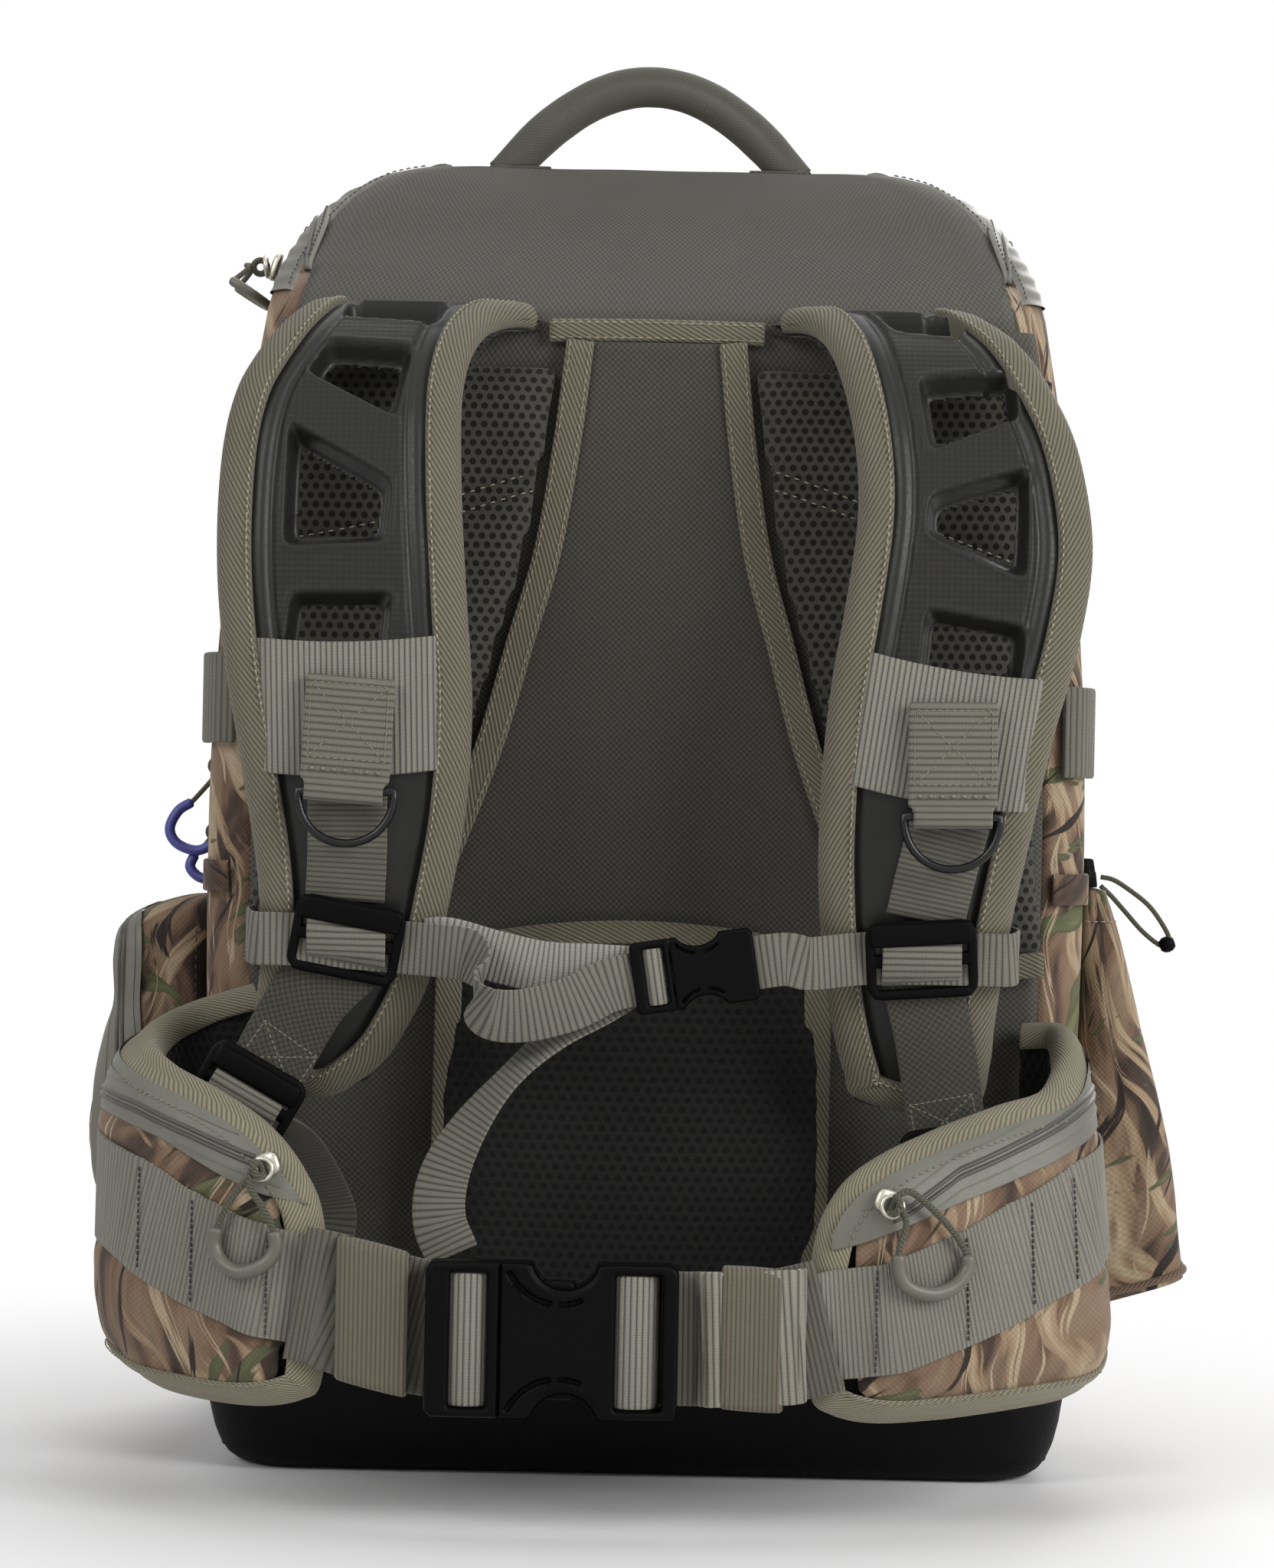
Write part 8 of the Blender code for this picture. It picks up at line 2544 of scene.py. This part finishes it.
rings = shape_open_pocket(np.concatenate([outer, inner]))
shut = lambda ring: ring.mean(1, keepdims=True) + (ring - ring.mean(1, keepdims=True)) * 0.02
open_form = np.concatenate([shut(rings[:1]), rings, shut(rings[-1:])])
open_s = round_trip(outer[20])
open_t = np.concatenate([[0.055], outer_z, outer_z[::-1][:-1] + 0.2, [0.3]])
open_uv = together(open_s[None] + 0.31, open_t[:, None])
open_pocket = tubular("open_pocket", open_form, M["camo"], "pack", "camo_fabric", open_uv)
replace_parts(open_pocket, "side_pocket_right")
ring_away = unit((rings - rings.mean(1, keepdims=True)) * [1, 1, 0] + [0, 0, 1e-6])
foot_ring = rings[1] + ring_away[1] * 0.0006
foot_path = np.vstack([foot_ring, foot_ring[:1]])
tube("pocket_foot_piping", evenly(foot_path, 160), (0, 0, 1), 0.0030, "brown_binding", "pack", "camo_fabric", 10)
hem_row = int(np.argmin(abs(outer_z - 0.2235)))
hem = rings[hem_row] + ring_away[hem_row] * 0.0006
hem_side = hem[:, 0] - float(half_width(0.2235))
rear_part = np.flatnonzero((hem[:, 1] < 0.090) & (hem_side > 0.0008))
rear_part = rear_part[np.argsort(hem_side[rear_part] + 4 * np.maximum(hem[rear_part, 1] - 0.040, 0))]
stitches("pocket_hem", evenly(hem[rear_part], 160), (0.4, -0.9, 0), "pack", "thread", pitch=0.0032)

print("open pocket:", len(open_pocket.data.polygons), "faces")

# %% Drawcord, its lock and the bead on its end
LOCK_AT_SIDE = np.array([0.1822, 0.0630, 0.2362])
lock_profile = np.array([(0.0020, 0.0000), (0.0040, 0.0001), (0.0044, 0.0008), (0.0044, 0.0062), (0.0041, 0.0068),
                         (0.0041, 0.0074), (0.0039, 0.0112),
                         (0.0034, 0.0119), (0.0015, 0.0121)])
around = np.linspace(0, 2 * math.pi, 28, endpoint=False)
lock_x, lock_y = lock_profile[:, :1] * np.cos(around), lock_profile[:, :1] * np.sin(around) * 0.85
lock = together(lock_x, lock_y, lock_profile[:, 1:])
lock[..., 0] -= lock[..., 2] * 0.12
lock_uv = together(np.linspace(0, 0.027, 29)[None], lock_profile[:, 1:])
lock_piece = tubular("cord_lock_barrel", lock + LOCK_AT_SIDE, M["buckle"], "pack", "buckle_plastic", lock_uv)
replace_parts(lock_piece, "cord_lock")
DRAWCORD = [(0.1855, 0.0622, 0.2335), (0.1905, 0.0618, 0.2325), (0.1965, 0.0615, 0.2290), (0.2051, 0.0618, 0.2225),
            (0.2111, 0.0628, 0.2150),
            (0.2146, 0.0642, 0.2085), (0.2135, 0.0652, 0.2052), (0.2098, 0.0655, 0.2064), (0.2034, 0.0655, 0.2115),
            (0.1965, 0.0652, 0.2190),
            (0.1905, 0.0648, 0.2255), (0.1858, 0.0645, 0.2298)]
cord_path = evenly(spline(np.array(DRAWCORD) + [0.0022, 0, 0.0072], 14), 150)
drawcord = tube("draw_cord", cord_path, (0, -1, 0), 0.0020, "cord", "pack", "cord", 12)
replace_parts(drawcord, "drawcord")
bead_profile = np.array([(0.0004, -0.0032), (0.0020, -0.0030), (0.0031, -0.0016), (0.0034, 0.0000),
                         (0.0031, 0.0016), (0.0020, 0.0030), (0.0004, 0.0032)])
bead_axis, bead_side = unit(np.array([1.0, 0.0, 0.35])), unit(np.array([-0.35, 0.0, 1.0]))
bead = (np.array([0.2160, 0.0647, 0.2134]) + bead_profile[:, 1, None, None] * bead_axis
        + bead_profile[:, 0, None, None] * (np.cos(around)[None, :, None] * bead_side
                                            + np.sin(around)[None, :, None] * [0, 1, 0]))
bead_piece = tubular("cord_bead", bead, M["buckle"], "pack", "cord", lock_uv[:7])
round(float(along(cord_path)[-1]), 4)

print("drawcord:", round(float(along(cord_path)[-1]), 3), "m")

# %% Tabs sewn on the bag's sides
for side, sign, z_at, start in (("left", -1, 0.2352, 0.1650), ("right", 1, 0.2365, 0.1610)):
    fold = [(sign * x, y, z_at) for x, y in ((start, -0.0010), (start + 0.0070, 0.0036), (0.1760, 0.0150),
                                             (0.1772, 0.0300))]
    webbing(f"camo_tab_{side}", fold, (0, 0, 1), 0.0125, 0.0018, "camo", "pack", "camo_fabric")
for side, sign, z_at in (("left", -1, 0.3060), ("right", 1, 0.2990)):
    fold = [(sign * x, y, z_at) for x, y in ((0.1640, 0.0000), (0.1712, 0.0032), (0.1762, 0.0120),
                                             (0.1782, 0.0230), (0.1776, 0.0340))]
    webbing(f"side_tab_{side}", fold, (0, 0, 1), 0.0360, 0.0026, "tab", "pack", "webbing")
print("side pockets done")

# %% [markdown]
# ## Handle, zips and the rear pocket
# The handle is a padded tube on a parabola, z = foot + rise * (1 - x^2), wrapped in cloth whose
# lapped edge leaves a soft crease along the side that faces the wearer.

# %% Handle
FOOT_Z, HANDLE_AT, SPAN, RISE = 0.53837, (-0.0040, 0.0980), 0.0545, 0.0305
t = np.linspace(-1.0, 1.0, 90)
arch = np.stack([HANDLE_AT[0] + SPAN * t, np.full_like(t, HANDLE_AT[1]), FOOT_Z + RISE * (1 - t ** 2)], 1)
slope = unit(np.gradient(arch, axis=0))
steps_out = np.arange(1, 9) * 0.0014
feet = arch[0] - slope[0] * steps_out[::-1, None], arch[-1] + slope[-1] * steps_out[:, None]
arch = np.vstack([feet[0], arch, feet[1]])
slope = unit(np.gradient(arch, axis=0))
over = np.cross(slope, [0, -1.0, 0])
a = np.linspace(0, 2 * math.pi, 40, endpoint=False)
s = along(arch)
end = np.clip(np.minimum(s, s[-1] - s) / 0.026, 0, 1)
wide, deep = 0.0078 + 0.0006 * smoothstep(end, 0, 1), 0.0052 + 0.0032 * smoothstep(end, 0, 1)
crease = 1 - 0.20 * np.exp(-((a - math.radians(252)) / 0.28) ** 2)[None] * smoothstep(end, 0.15, 0.6)[:, None]
wave = 1 + 0.03 * ripple(together(s[:, None], np.cos(a)[None] * 0.01, np.sin(a)[None] * 0.01), 91, 0.02)
ring = (arch[:, None] + (wide[:, None] * np.cos(a)[None] * crease * wave)[..., None] * over[:, None]
        + (deep[:, None] * np.sin(a)[None] * crease * wave)[..., None] * np.array([0, 1.0, 0]))
ring[..., 2] = np.maximum(ring[..., 2], 0.5336)
handle_uv = together(s[:, None], np.linspace(0, 0.052, 41)[None])
handle = tubular("handle_tube", ring, M["handle"], "handle", "olive_fabric", handle_uv)
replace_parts(handle, "top_handle")
for side in ("left", "right"):
    rounded(f"handle_patch_{side}", f"handle_anchor_{side}", 0.0008, "panel", "pack", "olive_fabric")
print("handle:", round(float(s[-1]), 3), "m")

# %% Zips along the openings
def edge_walk(piece, keep):
    """The open edges of a piece whose ends keep() accepts, as one line of points from its lowest-x end."""
    mesh = piece.data
    points = read_points(mesh)
    seen = {}
    for face in mesh.polygons:
        for key in face.edge_keys:
            seen[key] = seen.get(key, 0) + 1
    links = {}
    for (a, b), count in seen.items():
        if count == 1 and keep(points[a]) and keep(points[b]):
            links.setdefault(a, []).append(b)
            links.setdefault(b, []).append(a)
    ends = [v for v, near in links.items() if len(near) == 1]
    at = min(ends, key=lambda v: (round(points[v][0], 2), points[v][2]))
    line, last = [at], None
    while True:
        onward = [v for v in links[line[-1]] if v != last and v not in line]
        if not onward:
            break
        last = line[-1]
        line.append(onward[0])
    return points[line]


def lay_zip(name, line, normals, halves, coil_body, edge_stitch):
    """A coil along the line, with a flat tape on each side of it that rides its own body."""
    ahead = unit(np.gradient(line, axis=0))
    normals = unit(normals - ahead * (ahead * normals).sum(1, keepdims=True))
    across = np.cross(ahead, normals)
    shares = np.array([0.0, 0.06, 0.25, 0.5, 0.75, 0.94, 1.0])
    heights = np.array([0.0002, 0.0010, 0.0011, 0.0011, 0.0010, 0.0009, -0.0006])
    pucker = 0.0004 * ripple(line, 95, 0.018)
    s = along(line)
    taper = smoothstep(np.minimum(s, s[-1] - s), -0.004, 0.040)[:, None] if edge_stitch else np.ones((len(s), 1))
    for k, (sign, width, body) in enumerate(halves):
        offset = sign * (0.0008 + width * shares * taper)
        tape = (line[:, None] + across[:, None] * offset[..., None]
                + normals[:, None] * (heights[None, :, None]
                                      + (pucker[:, None] * np.sin(math.pi * shares)[None])[..., None]))
        uv = together(s[:, None], offset)
        surface(f"{name}_tape_{k}", tape, M["laminate"], body, "olive_fabric", uv, flip=sign > 0)
        if edge_stitch:
            row = line + across * (sign * (width * taper - 0.0006)) + normals * 0.0012
            stitches(f"{name}_stitch_{k}", row[6:-6], normals[6:-6], body, "dark_thread", pitch=0.0032)
    tube(f"{name}_coil", line + normals * 0.0010, normals, 0.0024, "coil", coil_body, "zip_metal", 8)


def outward_of(line, centre, flat):
    """Outward directions of the bag along a line, seen from a centre and flattened by flat."""
    return unit((line - centre) * flat)


back_piece, door_piece = bpy.data.objects["back_cloth"], bpy.data.objects["door_cloth"]


def on_lid_edge(p):
    """True for points of the back cloth's edge that the lid's zip runs along."""
    high = p[2] > LID_Z - 1e-5 and p[1] > 0.010
    clear = p[2] < LID_Z + 0.02 or abs(p[0]) > 0.02 or p[1] > 0.09
    return high and clear and not (abs(p[2] - LID_Z) < 1e-5 and abs(abs(p[0]) - LID_CHEEK) > 0.002)


lid_line = edge_walk(back_piece, on_lid_edge)
lid_line = evenly(lid_line, 300)
smooth_by_13 = lambda row: np.convolve(np.pad(row, 6, mode="edge"), np.ones(13) / 13, "valid")
lid_line = np.stack([smooth_by_13(row) for row in lid_line.T], 1)
lid_out = outward_of(lid_line, [0, 0.115, 0.440], [0.55, 1.0, 1.0])
lay_zip("lid_zip", lid_line, lid_out, ((1, 0.0070, "pack"), (-1, 0.0062, "lid")), "pack", True)
door_line = edge_walk(door_piece, lambda p: p[2] > DOOR_LOW + 0.004)
door_line = evenly(door_line, 420)
side_out = np.stack([np.sign(door_line[:, 0]) * smoothstep(abs(door_line[:, 0]), BODY_HALF - 0.030,
                                                           BODY_HALF - 0.012),
                     smoothstep(door_line[:, 1], 0.206, 0.222), 0 * door_line[:, 0]], 1)
lay_zip("door_zip", door_line, unit(side_out + 1e-6), ((1, 0.0075, "pack"), (-1, 0.0075, "tray_door")), "pack",
        False)
print("zip lines:", len(lid_line), len(door_line))

# the lid's tape as it turns over the top corners, on the rear rounding of the bag's rings
for side, sign in SIDES:
    z = np.linspace(0.4700, 0.5322, 70)
    half, rear, front = half_width(z)[:, None], rear_y(z)[:, None], front_y(z)[:, None]
    radius = np.minimum(CORNER, (front - rear) / 2 * 0.98)
    turn = np.radians(np.linspace(-56, -4, 9))[None]
    lift = np.array([-0.0004, 0.0010, 0.0012, 0.0012, 0.0012, 0.0012, 0.0012, 0.0010, -0.0004])[None]
    lift = lift + 0.0004 * np.sin(z * 900)[:, None] * np.sin(math.pi * (turn + 1))
    r = radius + lift
    corner_tape = np.stack([sign * (half - radius + r * np.cos(turn)), rear + radius + r * np.sin(turn),
                            z[:, None] + 0 * turn + lift * 0.5], -1)
    corner_tape[..., 2] += crest_lift(corner_tape)
    uv = together(z[:, None] * 2, turn * 0.02)
    surface(f"corner_tape_{side}", corner_tape, M["laminate"], "pack", "olive_fabric", uv, flip=side == "right")
    stitches(f"corner_stitch_{side}", corner_tape[2:-2, 1] + [0, -0.0006, 0.0003], (0, -0.8, 0.6), "pack",
             "dark_thread", pitch=0.0032)

# %% Sliders and pulls on the bag
X, Y, Z = np.eye(3)
top = np.array([-0.1570, 0.0600, 0.4845])
slider = zip_slider("top_slider_metal", top + [0.0006, 0, 0], unit(0.3 * X + Z), Y, -X, "top_slider")
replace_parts(slider, "top_zip_slider")
along_ring, ring_at = unit(np.array([0.232, 0.0, -0.145])), np.array([-0.1695, 0.0600, 0.4745])
turn = np.radians(np.linspace(-122, 122, 90))[:, None]
sleeve = ring_at + 0.0112 * (np.cos(turn) * along_ring + np.sin(turn) * Y)
pieces = [tube("top_pull_ring", sleeve, np.cross(along_ring, Y), sleeve_sizes(90, 0.0040), "olive_grip", "top_pull",
               "cord", 16),
          cord_knot("top_pull_knot", top - 0.0066 * X, X, Z, "top_pull", "cord")]
for k, foot in enumerate((sleeve[2], sleeve[-3])):
    inside = sleeve[6 if k == 0 else -7]
    hang = np.array([top - 0.0085 * X, top - 0.0105 * X + 0.10 * (foot - top) + 0.0012 * Z,
                     (top + foot) / 2 + [-0.0030, 0, 0.0020], foot, foot + (inside - foot) * 0.5])
    pieces.append(tube(f"top_pull_cord_{k}", evenly(spline(hang, 10), 50), Y, 0.0022, "cord", "top_pull", "cord"))
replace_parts(joined("top_pull_loop", pieces), "top_zip_pull")

SIDE_LOOPS = {   # slider centre, then the two cord legs and the sleeve as (x, z)
    "upper": ((0.1080, 0.2800), [(-0.1815, 0.2775), (-0.1858, 0.2715), (-0.1938, 0.2625), (-0.1968, 0.2608)],
              [(-0.1806, 0.2790), (-0.1795, 0.2680), (-0.1793, 0.2570), (-0.1812, 0.2492), (-0.1835, 0.2462)],
              [(-0.1925, 0.2636), (-0.1985, 0.2595), (-0.2018, 0.2520), (-0.1985, 0.2458), (-0.1898, 0.2430),
               (-0.1815, 0.2468)]),
    "lower": ((0.1080, 0.2520), [(-0.1815, 0.2515), (-0.1851, 0.2476), (-0.1908, 0.2405), (-0.1920, 0.2380)],
              [(-0.1806, 0.2500), (-0.1795, 0.2430), (-0.1793, 0.2360), (-0.1800, 0.2330)],
              [(-0.1912, 0.2412), (-0.1929, 0.2360), (-0.1890, 0.2318), (-0.1830, 0.2308), (-0.1796, 0.2326)]),
}
for level_name, ((slider_y, slider_z), first, second, grip) in SIDE_LOOPS.items():
    base = np.array([-float(half_width(slider_z)) - 0.0008, slider_y, slider_z])
    slider = zip_slider(f"side_slider_metal_{level_name}", base, Z, Y, -X, f"side_slider_{level_name}")
    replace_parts(slider, f"side_zip_slider_{level_name}")
    body = f"side_pull_{level_name}"
    pieces = [cord_knot(f"side_knot_{level_name}", base + [-0.0060, 0, -0.0010], X, Z, body, "blue_rubber")]
    for k, leg in enumerate((first, second)):
        line = spline(np.array([(x, slider_y - 0.0040 * k, z) for x, z in leg]), 12)
        pieces.append(tube(f"side_cord_{level_name}_{k}", evenly(line, 50), Y, 0.0021, "cord", body, "blue_rubber"))
    line = spline([(x, slider_y - 0.0040 * i / (len(grip) - 1), z) for i, (x, z) in enumerate(grip)], 14)
    pieces.append(tube(f"side_grip_{level_name}", evenly(line, 80), Y, sleeve_sizes(80, 0.0044), "blue_grip", body,
                       "blue_rubber", 18))
    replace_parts(joined(f"side_loop_{level_name}", pieces), f"side_zip_pull_{level_name}")

print("pull loops on the side:", len(SIDE_LOOPS))

# %% Rear pocket, board and divider
pocket_low, pocket_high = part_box("door_pocket")
columns = ring_columns(30, 4, 8)
rows = []
for share, grow in ((0.0, 0.0), (0.35, 0.0), (0.62, -0.0012), (0.82, -0.0040), (0.94, -0.0090), (1.0, -0.0200),
                    (1.0, -0.0600), (1.0, -0.1000)):
    half_x, half_z = (pocket_high.x - pocket_low.x) / 2 + grow, (pocket_high.z - pocket_low.z) / 2 + grow
    px, pz = round_rectangle(columns, half_x, -half_z, half_z, min(0.016, half_z * 0.8))
    depth = pocket_low.y + 0.0002 + (pocket_high.y - pocket_low.y - 0.0030) * share
    rows.append(together(px, depth, pz + (pocket_low.z + pocket_high.z) / 2))
rows = np.array(rows)
thirds = [rows[:-1] + (rows[1:] - rows[:-1]) * f for f in (0, 0.34, 0.67)]
rows = np.concatenate(thirds, 1).reshape(-1, *rows.shape[1:])
rows[..., 1] += 0.0022 * ripple(rows * [1, 0, 1], 101, 0.060) * smoothstep(rows[..., 1], pocket_low.y + 0.010,
        pocket_high.y - 0.008)
to_face = float(pocket_high.y) - rows[..., 1]
rear_uv = np.stack([rows[..., 0] + np.cos(columns[:, 2]) * to_face, rows[..., 2] + np.sin(columns[:, 2]) * to_face],
                   -1) * 0.9 + 0.37
rear_uv = np.concatenate([rear_uv, rear_uv[:, :1]], 1)
rear_pocket = tubular("rear_pocket", rows, M["camo"], "tray_door", "camo_fabric", rear_uv, flip=True)
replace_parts(rear_pocket, "door_pocket")
outer_ring = rows[2] + unit((rows[2] - rows[2].mean(0)) * [1, 0, 1]) * 0.0010
piping = evenly(np.vstack([outer_ring, outer_ring[:1]]), 400) * [1, 0, 1] + [0, float(pocket_low.y) + 0.0022, 0]
tube("rear_pocket_piping", piping, (0, 1, 0), 0.0040, "binding", "tray_door", "olive_fabric", 10)
u = np.linspace(-0.098, 0.098, 120)
face_y = float(pocket_high.y) - 0.0024
for k, (z_mid, half, lift, material) in enumerate(((0.2860, 0.0090, 0.0012, "laminate"),
                                                   (0.2871, 0.0010, 0.0020, "coil"),
                                                   (0.2847, 0.0010, 0.0020, "coil"))):
    section = rounded_section(2 * half, 0.0030 if k == 0 else 0.0016, 0.0007, 2)
    wavy = 0.0016 * ripple(np.stack([u, 0 * u, 0 * u + 0.286], 1), 101, 0.06)
    bar_at = together(u[:, None], face_y + lift + section[None, :, 1] + wavy[:, None], z_mid + section[None, :, 0])
    tubular(f"rear_zip_{k}", bar_at, M[material], "tray_door", "olive_fabric",
            together(u[:, None], np.append(section[:, 0], section[0, 0])[None]), flip=True)
for node, material in (("divider", "lining"), ("frame_sheet", "board")):
    shown = frame["nodes"][node]
    shown.data.materials.clear()
    shown.data.materials.append(M[material])
    box_uv(shown.data)
print("handle, zips and rear pocket done")

# %% [markdown]
# ## Backdrop
# The floor carries only the pack's shadow. Away from the pack it fades to plain white for the
# camera, and so does the world, which lights the pack with no more than a fifth of that white.

# %% Floor
floor_mesh = bpy.data.meshes.new("floor")
floor_mesh.from_pydata([(-6, -6, 0), (6, -6, 0), (6, 6, 0), (-6, 6, 0)], [], [(0, 1, 2, 3)])
floor = put("floor", floor_mesh)
floor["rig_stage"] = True
floor_mat = bpy.data.materials.new("pale_floor")
floor_mat.use_nodes = True
ft = floor_mat.node_tree
ft.nodes["Principled BSDF"].inputs["Base Color"].default_value = (0.9, 0.9, 0.9, 1)
ft.nodes["Principled BSDF"].inputs["Roughness"].default_value = 0.9
# the camera sees the floor fade to plain white away from the pack, where only its shadow is kept
lit = ft.nodes["Principled BSDF"].outputs[0]
spot = ft.nodes.new("ShaderNodeNewGeometry").outputs["Position"]
gap = on_vector(ft, "DISTANCE", spot, (0.0, 0.10, 0.0), out=1)
fade = add_node(ft, "ShaderNodeMapRange", {"Value": gap, "From Min": 0.22, "From Max": 0.55},
                interpolation_type="SMOOTHSTEP")
floor_paths = ft.nodes.new("ShaderNodeLightPath")
plain = add_node(ft, "ShaderNodeEmission", {"Color": (1, 1, 1, 1), "Strength": 1.0})
shown = add_node(ft, "ShaderNodeMixShader",
                 {0: calc(ft, "MULTIPLY", fade, floor_paths.outputs["Is Camera Ray"]), 1: lit, 2: plain})
ft.links.new(shown, ft.nodes["Material Output"].inputs["Surface"])
floor_mesh.materials.append(floor_mat)
print("floor:", floor.name)

# %% World
world = bpy.data.worlds.new("studio")
bpy.context.scene.world = world
world.use_nodes = True
wt = world.node_tree
background = wt.nodes["Background"]
background.inputs["Color"].default_value = (1.0, 1.0, 1.0, 1.0)
paths = wt.nodes.new("ShaderNodeLightPath")
seen = calc(wt, "MAXIMUM", calc(wt, "MAXIMUM", paths.outputs["Is Camera Ray"], paths.outputs["Is Glossy Ray"]),
            paths.outputs["Is Transmission Ray"])
wt.links.new(calc(wt, "MULTIPLY_ADD", seen, 0.80, 0.20), background.inputs["Strength"])
print("world:", world.name)

# %% [markdown]
# ## Sizes
# The box of what is seen is printed.

# %% Sizes and finish
low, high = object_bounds()
print("seen box:", low, high)
